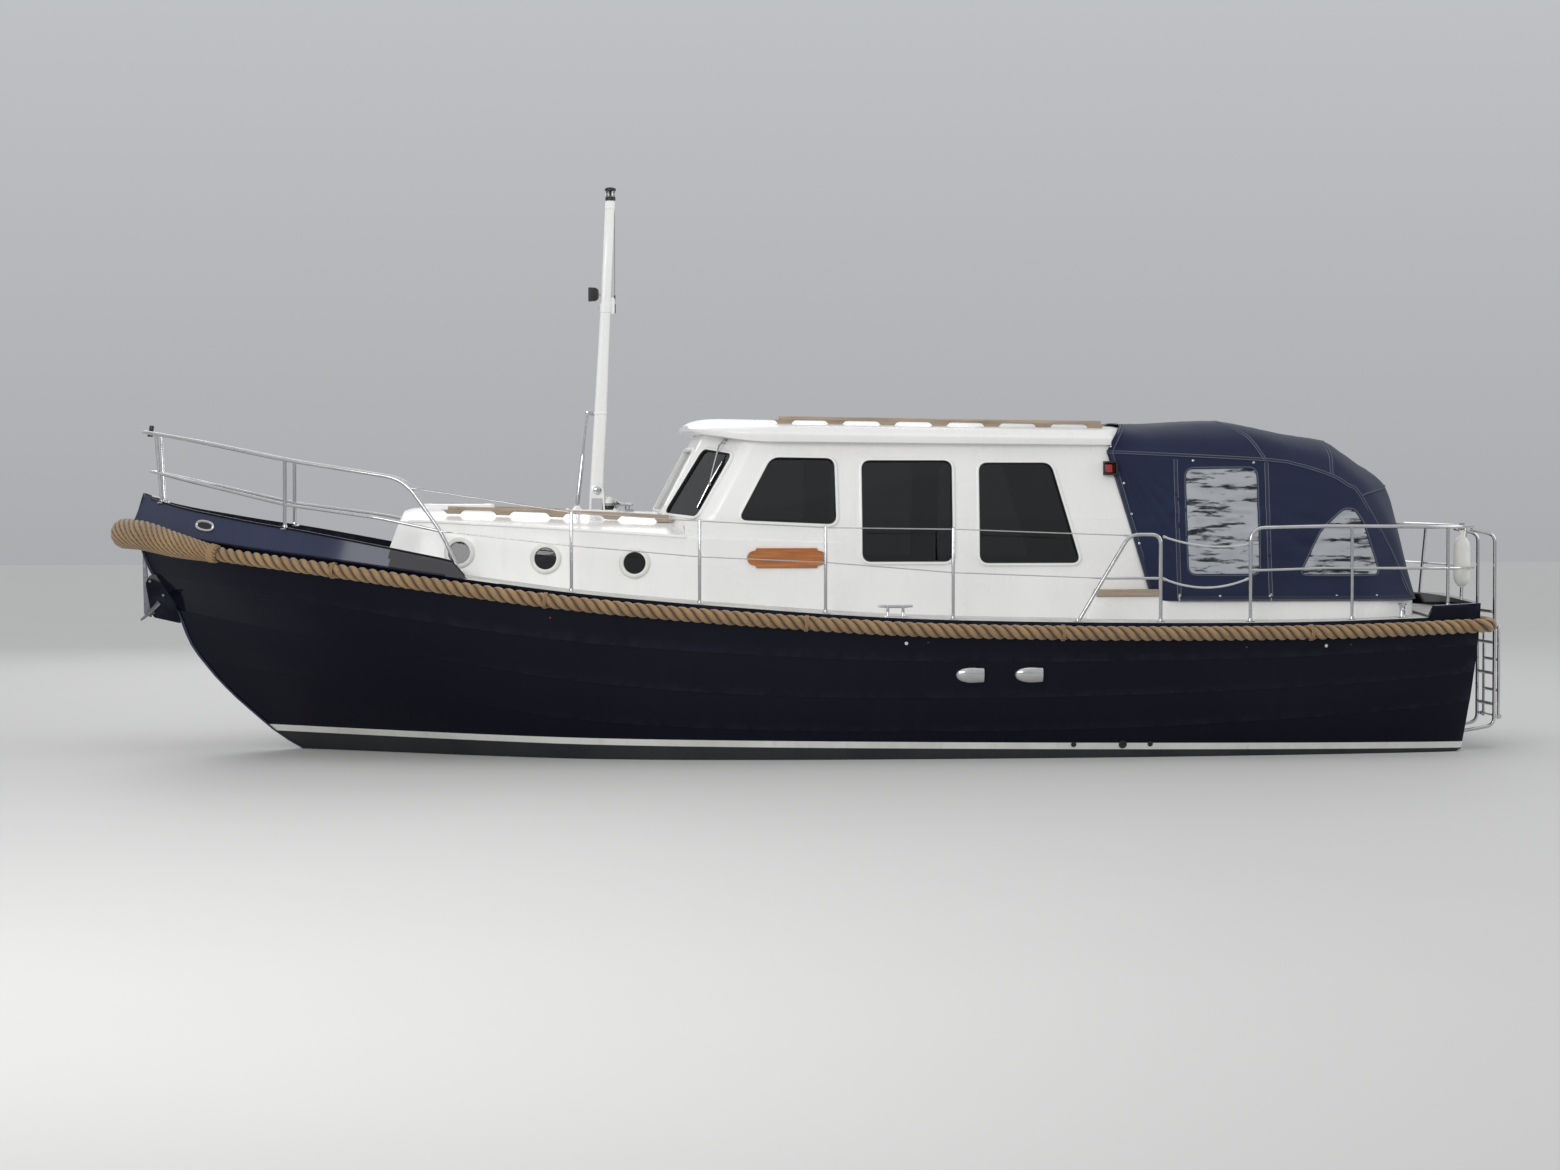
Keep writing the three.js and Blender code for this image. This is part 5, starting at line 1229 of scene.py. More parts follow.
def screenOutline(place, side=1):  # the outline on the wall, and the way the wall faces
    line = refined(roundedLine(houseSpec["screens"][place], houseSpec["screenRadius"], 7), 30)
    run = [screenPoint(place, p.x, p.y, side) for p in line]
    centre = middleOf(run)
    normal = Vector()
    for a, b in zip(run, [*run[1:], run[0]]):
        normal += (a - centre).cross(b - centre)
    normal.normalize()
    return (run[::-1], -normal) if normal.x < 0 else (run, normal)


screenPlaces = (("centre", 1), ("side", 1), ("side", -1))


def screenSlab(place, side, low, high, grow=0.0):  # the outline as a solid from low to high along its normal
    run, normal = screenOutline(place, side)
    centre = middleOf(run)
    run = [p + (p - centre).normalized() * grow for p in run]
    return Pile().rings([[p + normal * low for p in run], [p + normal * high for p in run]])


def makeWheelhouse():
    spec = houseSpec
    heights = [900, 1100, 1300, 1430, 1520, 1551, 1557, 1561, 1566, 1600, 1660, 1719]
    lower = Pile().rings([houseRing(z) for z in heights]).mesh("wheelhouseShell", "whitePaint liningPaint")
    wall, sill, rings = spec["wall"], spec["sill"], []
    for z in (600, 1300, sill):
        sideHalf, rearHalf = houseAt(z)[4:]
        rings.append([(bulkheadX(z) + wall, -rearHalf + wall, z), (1160, -sideHalf + wall, z),
                      (1160, sideHalf - wall, z), (bulkheadX(z) + wall, rearHalf - wall, z)])
    carve(lower, [Pile().rings(rings).mesh("lowerHollow", "liningPaint")])

    def foot(inset):  # the upper walls reach down into the coachroof
        return [[(x, y, z) for x, y, _ in houseRing(sill, inset, False)] for z in (1580, 1712)]

    upper = Pile().rings([*foot(11), *[houseRing(z) for z in (sill, 1760, 1850, 2000, 2150, 2296, 2360)]])
    upper = upper.mesh("upperWalls", "whitePaint liningPaint")
    top = Pile().rings([*[[(x, y, z - 20) for x, y, z in ring] for ring in foot(wall + 11)],
                        *[houseRing(z, wall, False) for z in (sill, 2000, 2400)]])
    carve(upper, [top.mesh("houseHollow", "liningPaint")])
    carve(lower, [upper], "UNION")
    cutters = []
    above = [(-2700, roofUnder(-2700) + 12), (400, roofUnder(400) + 12), (830, 2345), (1300, 2345), (1300, 2700),
             (-2700, 2700)]
    cutters.append(sideSolid("aboveRoof", above, -1400, 1400, "whitePaint"))
    for name, corners in spec["side"].items():
        cutters.append(sideCutter(f"{name}Hole", corners, spec["sideRadius"]))
    for place, side in screenPlaces:
        cutters.append(screenSlab(place, side, -140, 90).mesh("screenHole", "whitePaint"))
    door = spec["door"]
    hole = [(bulkheadX(400) - 200, 400), (bulkheadX(400) + 200, 400), (bulkheadX(door["head"]) + 200, door["head"]),
            (bulkheadX(door["head"]) - 200, door["head"])]
    cutters.append(sideSolid("doorHole", hole, door["hinge"] - door["width"] - 6, door["hinge"] + 0.8, "whitePaint"))
    coach = Pile().rings([coachRing(x, 38, 380) for x in spread(900, 1300, 80)])
    cutters.append(coach.mesh("coachCut", "whitePaint"))
    carve(lower, cutters)
    settle(lower, "root", "white_paint", ["wheelhouse"], sharp=26)


def alongSurface(line, surface):  # a flat outline laid on a curved wall, and the way the wall faces
    fine = refined(line, 26)
    return [Vector((p.x, surface(p.x, p.y), p.y)) for p in fine], [sideNormal(surface, p.x, p.y) for p in fine]


def makeSideWindows():
    spec = houseSpec
    frames, seals = Pile(), Pile()
    for corners in spec["side"].values():
        line = roundedLine(corners, spec["sideRadius"], 8)
        centre = middleOf(line)
        if sum((a.x * b.y - b.x * a.y) for a, b in zip(line, [*line[1:], line[0]])) < 0:
            line = line[::-1]
        run, normals = alongSurface(line, houseSideY)
        frames.bead(run, normals, outward(run, centre, spec["frame"]))
        seals.bead(run, normals, outward(run, centre, spec["seal"]))
    frames.mirrored().make("sideWindowFrames", "whitePaint", sharp=50)
    seals.mirrored().make("sideWindowSeals", "rubber", sharp=50)


def outward(run, centre, section):  # the section's sideways value runs away from the middle of the window
    heading = (run[1] - run[0]).normalized()
    side = heading.cross(Vector((0, 1, 0)))
    away = Vector((run[0].x - centre.x, 0, run[0].z - centre.y))
    flip = 1 if side.dot(away) > 0 else -1
    return [(a * -flip, b) for a, b in section]


def makeScreenTrim():
    spec = houseSpec
    frames, seals, glass = Pile(), Pile(), Pile()
    for place, side in screenPlaces:
        run, normal = screenOutline(place, side)
        frames.bead(run, [normal] * len(run), [(-a, b) for a, b in spec["frame"]])
        if place == "side":
            seals.bead(run, [normal] * len(run), [(-a, b) for a, b in spec["seal"]])
            glass.join(screenSlab(place, side, -5, 1, -1))
    frames.make("windscreenFrames", "whitePaint", sharp=50)
    seals.make("windscreenSeals", "rubber", sharp=50)
    glass.make("windscreenSideGlass", "windowGlass", ["windscreen_port", "windscreen_starboard"], sharp=30)


def finishNodes(finish, *names):  # CAD nodes that keep their shape get a worked finish
    for name in names:
        for slot in bpy.data.objects[name].material_slots:
            slot.material = finishes[finish]


makeWheelhouse()
makeSideWindows()
makeScreenTrim()
finishNodes("windowGlass", *[f"window_{place}_{side}" for place in houseSpec["side"] for side in ("port", "starboard")])
finishNodes("screenGlass", "windscreen_centre")
print("wheelhouse ready")


# Wheelhouse roof
# Rows: x, half-breadth, height of the edge, half-breadth and height of the shoulder, height on the centreline
roofSpec = {
    "rows": (
        (-2395, 420, 2350, 300, 2398, 2412), (-2378, 620, 2346, 470, 2396, 2413), (-2330, 860, 2338, 680, 2393, 2416),
        (-2260, 1060, 2328, 890, 2386, 2419), (-2180, 1150, 2322, 1005, 2382, 2422),
        (-2050, 1180, 2323, 1026, 2384, 2427),
        (-1000, 1185, 2335, 1030, 2395, 2445), (200, 1165, 2352, 1010, 2412, 2460),
        (620, 1105, 2368, 935, 2413, 2468), (760, 960, 2374, 800, 2418, 2460), (850, 770, 2381, 640, 2412, 2438),
        (885, 580, 2388, 470, 2403, 2414),
    ),
    "visor": ((420, 0), (600, 20), (780, 50), (885, 78)), "lip": 12,
}


def roofRing(x):
    _, half, edge, shoulder, shoulderZ, crown = rowAt(roofSpec["rows"], x)
    under = roofUnder(x) + straightAt(roofSpec["visor"], x)
    edge = max(edge, under + 8)
    corners = [(0, under), (half - roofSpec["lip"], under), (half, edge), (shoulder, max(shoulderZ, edge + 4)),
               (shoulder * 0.5, crown - (crown - shoulderZ) * 0.28), (0, crown)]
    line = roundedLine(corners, [0, 5, 24, 120, 260, 0], 5, closed=False)
    port = [(x, max(0.0, p.x), p.y) for p in line]
    return port + opposite(port[1:-1])


def makeRoof():
    stations = (-2395, -2390, -2378, -2356, -2330, -2296, -2260, -2220, -2180, -2120, -2050, *spread(-1900, 100, 250),
                200, 350, 480, 620, 690, 740, 790, 825, 850, 868, 879, 885)
    roof = Pile().rings([roofRing(x) for x in stations])
    roof.make("roofShell", "whitePaint", ["wheelhouse_roof"], bevel=5, sharp=30)


makeRoof()
print("roof ready")


# Cockpit: coaming with its teak caps, and the benches round the foot well
coamingSpec = {
    "plan": ((-1500, 1280), (-1960, 1280), (-4130, 1280), (-4415, 1122), (-4450, 1060), (-4450, 0)),
    "tops": ((-4600, 1130), (-2512, 1130), (-2511, 1190), (-2040, 1190), (-1960, 970), (-1500, 870)),
    "bottom": 850, "wall": 70, "round": 20, "capX": (-2510, -2036), "cap": ((1144, 1297), (1158, 1211)),
    "benchTop": 860, "lids": ((-3980, -3360), (-3340, -2720)), "lid": 12,
}


def coamingRun():
    run = refined(roundedLine(coamingSpec["plan"], [0, 0, 160, 90, 60, 0], 6, closed=False), 240, closed=False)
    extra = [Vector((x, 1280)) for x in (-2511, -2512, -2040, -1960)]
    straight = sorted([p for p in run if p.x > -4060] + extra, key=lambda p: -p.x)
    run = straight + [p for p in run if p.x <= -4060]
    return run + [Vector((p.x, -p.y)) for p in reversed(run[:-1])]


def makeCoaming():
    spec = coamingSpec
    run = coamingRun()
    last = len(run) - 1
    rings = []
    for i, p in enumerate(run):
        way = (run[min(i + 1, last)] - run[max(i - 1, 0)]).normalized()
        inward = Vector((-way.y, way.x))
        inward = -inward if inward.dot(Vector((-3200, 0)) - p) < 0 else inward
        wall = 132 if p.x > -2500 else spec["wall"]
        top, r = straightAt(spec["tops"], p.x), spec["round"]
        section = roundedLine([(0, spec["bottom"]), (0, top), (wall, top), (wall, spec["bottom"])], [0, r, r, 0], 4,
                              closed=False)
        rings.append([(*(p + inward * q.x), q.y) for q in section])
    Pile().rings(rings).make("cockpitCoaming", "whitePaint", ["cockpit_coaming"], sharp=40)
    (low, high), (z0, z1) = spec["cap"]
    x0, x1 = spec["capX"]
    caps = Pile()
    outline = roundedLine([(x0, low), (x1, low), (x1, high), (x0, high)], 12, 4)
    caps.prism(outline, (0, 0, z0), *level, z1 - z0)
    caps.mirrored().make("coamingCaps", "teakWood", bevel=11, segments=4)


def makeBenches():
    spec = coamingSpec
    top, aft, foot, half = spec["benchTop"], -4400, -4020, 1080
    ahead = bulkheadX(top)
    outline = [(ahead, half), (aft, half), (aft, -half), (ahead, -half), (ahead, -640), (foot, -640), (foot, 640),
               (ahead, 640)]
    low = interiorSpec["cockpitZ"]
    seats = Pile().prism(outline, (0, 0, low), *level, top - low)
    for x0, x1 in spec["lids"]:
        for side in (1, -1):
            corners = [(x0, 670), (x1, 670), (x1, 1040), (x0, 1040)]
            lid = [(p.x, p.y * side) for p in roundedLine(corners, 30, 5)][::side]
            seats.prism(lid, (0, 0, top), *level, spec["lid"], 1)
    lid = roundedLine([(-4370, -600), (-4050, -600), (-4050, 600), (-4370, 600)], 30, 5)
    seats.prism(lid, (0, 0, top), *level, spec["lid"], 1)
    seats.make("cockpitBenches", "whitePaint deckPaint", ["cockpit_benches"], bevel=4)


makeCoaming()
makeBenches()
print("cockpit ready")


# Canopy: one stitched cloth over three bows, with two clear windows let into each side
canopySpec = {
    "centre": ((-2362, 0, 2436), (-2560, 0, 2443), (-3170, 0, 2456), (-3600, 0, 2375), (-4015, 0, 2306),
               (-4235, 0, 2172), (-4460, 0, 2000), (-4560, 0, 1700), (-4625, 0, 1128)),
    "shoulder": ((-2292, 790, 2412), (-2500, 772, 2414), (-3065, 765, 2430), (-3545, 755, 2350), (-3850, 735, 2284),
                 (-4110, 715, 2130), (-4320, 690, 1960), (-4430, 665, 1690), (-4555, 650, 1128)),
    "seam": ((-2138, 1131, 2214), (-2450, 1130, 2202), (-3320, 1127, 2158), (-3580, 1122, 2118), (-3820, 1115, 2042),
             (-3940, 1107, 1975), (-4040, 1098, 1897), (-4262, 1100, 1500), (-4415, 1168, 1128)),
    "hem": ((-2465, 1206, 1128), (-2650, 1303, 1128), (-3300, 1307, 1128), (-3560, 1308, 1128), (-3800, 1306, 1128),
            (-3940, 1305, 1128), (-4070, 1302, 1128), (-4275, 1240, 1128), (-4415, 1168, 1128)),
    "columns": 20, "roofRows": 22, "sideRows": 44, "thick": 2.2, "bows": (0, 2, 4, 6, 8), "sag": 13, "hollow": 9,
    "notch": (-2531, 1214), "window": ((-3250, 1323), (-2722, 1323), (-2722, 2088), (-3250, 2094)),
    "gore": ((-4160, 1318), (-3548, 1318), (-3728, 1640), (-3900, 1790), (-3985, 1790), (-4050, 1690)),
    "windowRound": 62, "goreRound": 58, "lap": 12, "pull": (-2230, 2230),
    "tapes": (-2648, -3326),
    "studs": ((-2780, 2150), (-3231, 2136), (-2649, 1160), (-2946, 1160), (-3317, 1160), (-3815, 1160), (-4120, 1160),
              (-2318, 1760), (-2372, 1545), (-2262, 1985)),
    "flat": (5.6, 3.3), "area": 10.0,
}


def smoothAt(points, t):  # the smooth line through points, read at a share of the way in points
    last = len(points) - 1
    i = max(0, min(last - 1, int(t)))
    b, c = Vector(points[i]), Vector(points[i + 1])
    a = Vector(points[i - 1]) if i else b * 2 - c
    d = Vector(points[i + 2]) if i + 2 <= last else c * 2 - b
    return smoothStep(a, b, c, d, t - i)


def canopyRoof(t, v):  # port half of the top: t runs aft, v from the centreline to the side seam
    spec = canopySpec
    centre, shoulder, seam = (smoothAt(spec[key], t) for key in ("centre", "shoulder", "seam"))
    front = max(0.0, 1 - t)  # the first part goes round the corner of the roof
    corner = shoulder + (seam - shoulder) * Vector((0.55, 0.72 + 0.26 * front, 0.38 - 0.08 * front))
    half = centre.lerp(shoulder, 0.5) + Vector((0, 0, (centre.z - shoulder.z) * 0.18))
    place = smoothAt([centre, half, shoulder, corner, seam], v * 4)
    bows = spec["bows"]
    low = max(b for b in bows if b <= t + 1e-9)
    high = min([b for b in bows if b > t] or [bows[-1]])
    slack = sin(pi * (t - low) / max(1, high - low)) * spec["sag"]
    slack *= sin(pi * min(1, 0.25 + v * 0.75))
    crease = noise.noise(place * 0.0028) * 7 + noise.noise(Vector((place.x * 0.02, place.y * 0.004, 3))) * 2.5
    fade = min(1.0, (1 - v) * 6) * min(1.0, t * 3)
    down = Vector((0.35 if t > 5 else 0.1, 0, -1)).normalized()
    return place + down * (slack + crease) * fade


def canopySide(t, v):  # port side panel: v from the side seam down to the hem
    spec = canopySpec
    seam, hem = smoothAt(spec["seam"], t), smoothAt(spec["hem"], t)
    hem.z = spec["hem"][0][2]
    place = seam.lerp(hem, v)
    edge = sin(pi * v) * min(1.0, t * 2.5) * min(1.0, (8 - t) * 0.8)
    folds = noise.noise(Vector((place.x * 0.0022, 1.7, place.z * 0.016))) * 7
    folds += noise.noise(Vector((place.x * 0.005 + place.z * 0.007, 5.1, place.z * 0.003))) * 8
    folds += noise.noise(Vector((place.x * 0.006, 9.3, place.z * 0.045))) * 3
    reach = Vector((spec["pull"][0] - place.x, spec["pull"][1] - place.z))  # folds that fan out from the top corner
    angle = atan2(reach.y, max(1.0, reach.x))
    fan = noise.noise(Vector((angle * 8.5, reach.length * 0.0006, 2.2)))
    folds += (abs(fan) * 2 - 0.35) * 22 * min(1.0, reach.length / 260) * max(0.0, 1 - reach.length / 2100)
    return place + Vector((0, -spec["hollow"] + folds, 0)) * edge


def canopySideAt(x, z):  # the point of the side panel over an x and a height
    spec = canopySpec
    t = 4.0
    for _ in range(40):
        seam, hem = smoothAt(spec["seam"], t), smoothAt(spec["hem"], t)
        v = max(0.0, min(1.0, (seam.z - z) / (seam.z - spec["hem"][0][2])))
        gap = (seam.x + (hem.x - seam.x) * v) - x
        t = max(0.0, min(7.9, t + gap / 520))
    return canopySide(t, v)


def canopyNormal(x, z):
    here, ahead, above = canopySideAt(x, z), canopySideAt(x + 15, z), canopySideAt(x, z + 15)
    normal = (above - here).cross(ahead - here).normalized()
    return normal if normal.y > 0 else -normal


def thicken(obj, thick):  # half of it to each side
    step = obj.modifiers.new("thickness", "SOLIDIFY")
    step.thickness, step.offset = thick * mm, 0
    applyAll(obj)


def canopyCloth():
    spec = canopySpec
    columns = [k / spec["columns"] for k in range(8 * spec["columns"] + 1)]
    pile, sheet = Pile(), []
    for t in columns:
        top = [canopyRoof(t, k / spec["roofRows"]) for k in range(spec["roofRows"] + 1)]
        side = [canopySide(t, (k + 1) / spec["sideRows"]) for k in range(spec["sideRows"])]
        port = top + side
        sheet.append(flipped(reversed(port[1:])) + port)
    wide = len(sheet[0])
    faces = [(i * wide + k, i * wide + k + 1, (i + 1) * wide + k + 1, (i + 1) * wide + k)
             for i in range(len(sheet) - 1) for k in range(wide - 1)]
    pile.add([p for row in sheet for p in row], faces)
    cloth = pile.mesh("canopyCloth", "canopyCloth", weld=0.5)
    thicken(cloth, spec["thick"])
    return cloth


def windowCorners():
    spec = canopySpec
    return ((spec["window"], spec["windowRound"]), (spec["gore"], spec["goreRound"]))


def makeCanopy():
    spec = canopySpec
    cloth = canopyCloth()
    cutters = []
    for corners, reach in windowCorners():
        line = roundedLine(corners, reach, 8)
        for high in (1450, -950):
            hole = Pile().prism(line, (0, high, 0), *upright, 500)
            cutters.append(hole.mesh("canopyHole", "canopyCloth"))
    x, z = spec["notch"]
    notch = Pile().block(x, -2100, -1400, 1400, 1000, z)
    cutters.append(notch.mesh("canopyNotch", "canopyCloth"))
    carve(cloth, cutters)
    extras = [makeCanopyVinyl(), *makeCanopySeams(), makeCanopyStuds()]
    settle(cloth, "root", "canvas", ["canopy"], sharp=50)
    area = sum(face.area for face in cloth.data.polygons) / 2
    print(f"canopy cloth {area:.2f} square metres")


def makeCanopyVinyl():  # clear sheets behind the openings, lapped under the cloth
    spec = canopySpec
    pile = Pile()
    for corners, reach in windowCorners():
        line = roundedLine(corners, reach, 6)
        middle = middleOf(line)
        fine = refined(line, 22)
        rings, count, places = 16, len(fine), []
        for k in range(rings + 1):
            share = k / rings
            for p in fine:
                grow = 1 + spec["lap"] / max(60, (p - middle).length)
                q = middle + (p - middle) * (share * grow if share > 0 else 0.002)
                place = canopySideAt(q.x, q.y)
                buckle = noise.noise(Vector((q.x * 0.004, 2.2, q.y * 0.028))) * 13
                buckle += noise.noise(Vector((q.x * 0.012, 7.7, q.y * 0.06))) * 4
                place.y += -3.4 + buckle * min(1.0, (1 - share) * 4)
                places.append(place)
        faces = [(k * count + j, k * count + (j + 1) % count, (k + 1) * count + (j + 1) % count, (k + 1) * count + j)
                 for k in range(rings) for j in range(count)]
        faces.append(tuple(range(count - 1, -1, -1)))
        pile.add(places, faces)
    vinyl = pile.mirrored().mesh("canopyWindows", "clearVinyl")
    thicken(vinyl, 0.8)
    return settle(vinyl, "root", "window_glass", sharp=60)


def roofLine(t):
    run = [canopyRoof(t, k / 40) for k in range(41)]
    run = flipped(reversed(run[1:])) + run
    normals = []
    for p in run:
        out = Vector((0, p.y, 0)).normalized() * (abs(p.y) / 1130) ** 3
        normals.append((out + Vector((-0.75 if t > 5 else -0.2 if t > 2.5 else 0, 0, 1))).normalized())
    return run, normals


def makeCanopySeams():
    spec = canopySpec
    seams, threads = Pile(), Pile()

    def strip(run, normals, width, height, rows, closed=False):  # a sewn strip, and its rows of thread
        half = width / 2
        seams.bead(run, normals, [(-half, -1.4), (-half, height * 0.6), (-half + 1.5, height), (half - 1.5, height),
                                  (half, height * 0.6), (half, -1.4)], closed)
        lifted = [p + n * (height - 2.0) for p, n in zip(run, normals)]
        for shift in rows:
            section = [(shift - 1.7, 1.2), (shift - 1.0, 3.1), (shift + 1.0, 3.1), (shift + 1.7, 1.2)]
            threads.bead(lifted, normals, section, closed)

    for side in (1, -1):
        flip = Vector((1, side, 1))
        run = [canopyRoof(k / 14, 1) * flip for k in range(8 * 14 + 1)]
        normals = [Vector((0, side, 0.25)).normalized() for _ in run]
        strip(run, normals, 26, 3.4, (-9, 9))
        hem = [canopySide(k / 10, 1) for k in range(10, 81)]
        hem = [Vector((p.x, p.y, p.z + 17)) for p in hem if p.x < spec["notch"][0]]
        strip([p * flip for p in hem], [Vector((0, side, 0)) for _ in hem], 34, 2.6, (12,))
        for x in spec["tapes"]:
            heights = spread(1140, 2160, 30)
            run = [canopySideAt(x, z) * flip for z in heights]
            strip(run, [canopyNormal(x, z) * flip for z in heights], 34, 2.2, (-13, 13))
        edge = [canopySide(0.09, v / 24) * flip for v in range(0, 24)]
        strip(edge, [Vector((0.15, side, 0)).normalized() for _ in edge], 40, 2.4, (-16, 16))
        for corners, reach in windowCorners():
            line = roundedLine(corners, reach + 8, 8)
            middle = middleOf(line)
            away = [p + (p - middle).normalized() * 11 for p in refined(line, 30)]
            run = [canopySideAt(p.x, p.y) * flip for p in away]
            strip(run, [canopyNormal(p.x, p.y) * flip for p in away], 17, 2.4, (0,), True)
    for t in (0.12, 2.0, 4.0, 6.0):
        strip(*roofLine(t), 30, 2.8, (-11, 11))
    return (seams.make("canopySeams", "canopyTape", sharp=45),
            threads.make("canopyStitching", "thread", sharp=60))


def makeCanopyStuds():
    spec = canopySpec
    pile = Pile()
    cap = [(0, -2), (11, -2), (11, 1.5), (9.5, 4), (6, 6), (0, 6.8)]
    for x, z in spec["studs"]:
        pile.turned(cap, canopySideAt(x, z) + Vector((0, 2, 0)), canopyNormal(x, z), 16)
    for x in spec["tapes"]:  # strap ends with a turn-button
        place = canopySideAt(x, 1152) + Vector((0, 3, 0))
        outline = roundedLine([(-8, -30), (8, -30), (8, 28), (-8, 28)], 7, 4)
        pile.prism(outline, place, *upright, -3)
        pile.turned([(0, 0), (5, 0), (5, 6), (0, 7)], place + Vector((0, 2, -12)), (0, 1, 0), 12)
    corner = canopyRoof(0.03, 0.93)
    pile.turned(cap, corner, (0.2, 0.6, 0.5), 16)
    return pile.mirrored().make("canopyStuds", "steel", sharp=40)


makeCanopy()
print("canopy ready")


# Rails, lifelines and ladder
railSpec = {
    "radius": 14.0, "low": 11.5, "wire": 4.0, "feet": (3870, 4815),
    "end": ((0, 0), (5, 0), (6.5, 8), (6.5, 60), (4.5, 66), (4.5, 96), (0, 97)),
    "base": ((0, -3), (38, -3), (38, 3), (34, 6), (19, 8), (17, 26), (12.6, 28), (0, 28)),
    "stanchions": ((1790, 1788, 1540), (880, 1728, 1461), (-20, 1680, 1420), (-940, 1668, 1345)),
    "gate": {"foot": -1850, "rise": -2230, "top": 1615, "end": -2460, "bar": 1300}, "sternPosts": (-3130, -3900),
}
ladderSpec = {"sides": (400, 850), "x": -5130, "hingeZ": 240, "foldX": -5172, "foldTop": 920, "tube": 13}


def capAt(x):
    px, py, pz = hullSide(x)[0]
    return (px, py - 20, pz)


def across(points):  # a run and its mirror image, joined on the centreline
    return [*points, *[(x, -y, z) for x, y, z in reversed(points) if y > 1]]


def footing(pile, place):  # flange with its socket and screws
    pile.turned(railSpec["base"], place)
    for k in range(4):
        angle = pi * (k + 0.5) / 2
        spot = Vector(place) + Vector((28 * cos(angle), 28 * sin(angle), 0))
        pile.turned([(0, 2), (4, 2), (3.4, 7), (0, 8)], spot, sides=8)


def tubes(pile, *rows, sides=14):
    for points, radius, bend in rows:
        pile.tube(points, radius, bend, sides)


def onDeck(x, above=0):  # the foot of a post
    return (x, railY(x), sheerZ(x) + above)


def makePulpit():
    spec = railSpec
    foot, nose = (capAt(x) for x in spec["feet"])
    top = [(2560, railY(2560) + 30, 1292), (2700, railY(2700) + 20, 1620), (2980, railY(2980) + 20, 2015),
           (*foot[:2], 2153), (4480, 590, 2290), (4880, 200, 2360), (4915, 0, 2362)]
    low = [(2700, railY(2700) + 20, 1640), (3150, railY(3150) + 25, 1735), (*foot[:2], 1830), (4480, 580, 1985),
           (4830, 205, 2068), (4865, 0, 2070)]
    pile, posts = Pile(), Pile()
    tubes(pile, (across(top), spec["radius"], 140), (across(low), spec["low"], 80))
    tubes(posts, ([foot, (*foot[:2], 2150)], spec["radius"], 0), ([nose, (4800, 278, 2345)], spec["radius"], 0))
    for place in (foot, nose, (2560, railY(2560) + 30, sheerZ(2560) + 2)):
        footing(posts, place)
    pile.join(posts.mirrored())
    pile.make("pulpitRails", "steel", ["pulpit"], sharp=50)
    plug = Pile()  # socket for the jack staff
    plug.tube([(4858, 0, 2352), (4850, 0, 2412)], 17, sides=16).tube([(4862, 0, 2330), (4862, 0, 2352)], 21, sides=16)
    plug.make("staffSocket", "blackPlastic", bevel=2)


def makeLifelines():
    spec = railSpec
    pile, tops, lows = Pile(), [], []
    for x, top, low in spec["stanchions"]:
        y, z = railY(x), sheerZ(x)
        pile.tube([(x, y, z), (x, y, top - 6), (x, y, top - 1), (x, y, top + 3)], [12.5, 12.5, 11, 5], sides=14)
        footing(pile, (x, y, z + 2))
        pile.hoop([(3.6, -14), (6.5, -14), (6.5, 14), (3.6, 14)], (x, y, low), (1, 0, 0), 12)
        tops.append((x, y, top - 12))
        lows.append((x, y, low))
    gate = spec["gate"]
    foot, end = gate["foot"], gate["end"]
    frame = [onDeck(foot), (gate["rise"], railY(gate["rise"]), gate["top"]), (end, railY(end), gate["top"]),
             onDeck(end)]
    bar = [(x, railY(x), gate["bar"]) for x in (gate["rise"] + 200, end)]
    tubes(pile, (frame, spec["radius"], 70), (bar, 10, 0))
    for x in (foot, end):
        footing(pile, onDeck(x, 2))
    upper = [(2930, railY(2930) + 20, 1950), *tops, (-2250, railY(-2250), 1607)]
    lower = [(2715, railY(2715) + 20, 1642), *lows, (-2040, railY(-2040), 1300)]
    for run in (upper, lower):
        fine = [Vector(a).lerp(Vector(b), k / 4) for a, b in zip(run, run[1:]) for k in range(4)]
        fine.append(Vector(run[-1]))
        twistedTube(pile, fine, spec["wire"], 6, 400, 0.1, 10)
        for place, toward in ((fine[0], fine[1]), (fine[-1], fine[-2])):  # end fittings
            pile.turned(spec["end"], place, toward - place, 14)
    pile.mirrored().make("lifelines", "steel", ["lifelines_port", "lifelines_starboard"], sharp=50)


def makeSternRail():
    spec = railSpec
    fore, post = spec["sternPosts"]
    pile, side = Pile(), Pile()

    def loop(z, start):
        return across([*start, (-3700, railY(-3700), z + 8), (-4450, 1340, z + 2), (-4760, 1215, z),
                       (-4945, 960, z - 2), (-5000, 400, z - 2), (-5005, 0, z - 2)])

    y = railY(fore)
    tubes(pile, (loop(1665, [(fore, y, 900), (fore, y, 1661)]), spec["radius"], 110),
          (loop(1360, [(fore, y, 1352)]), 10, 60))
    tubes(side, ([onDeck(post), (post, railY(post), 1668)], 12.5, 0),
          ([(-4660, 1255, 920), (-4660, 1255, 1664)], 12.5, 0),
          ([(-4935, 600, 950), (-4990, 560, 1661)], 12.5, 0), sides=12)
    for place in (onDeck(post, 2), onDeck(fore, 2), (-4660, 1255, sheerZ(-4660) + 62)):
        footing(side, place)
    pile.join(side.mirrored())
    pile.make("sternRail", "steel", ["stern_rail"], sharp=50)


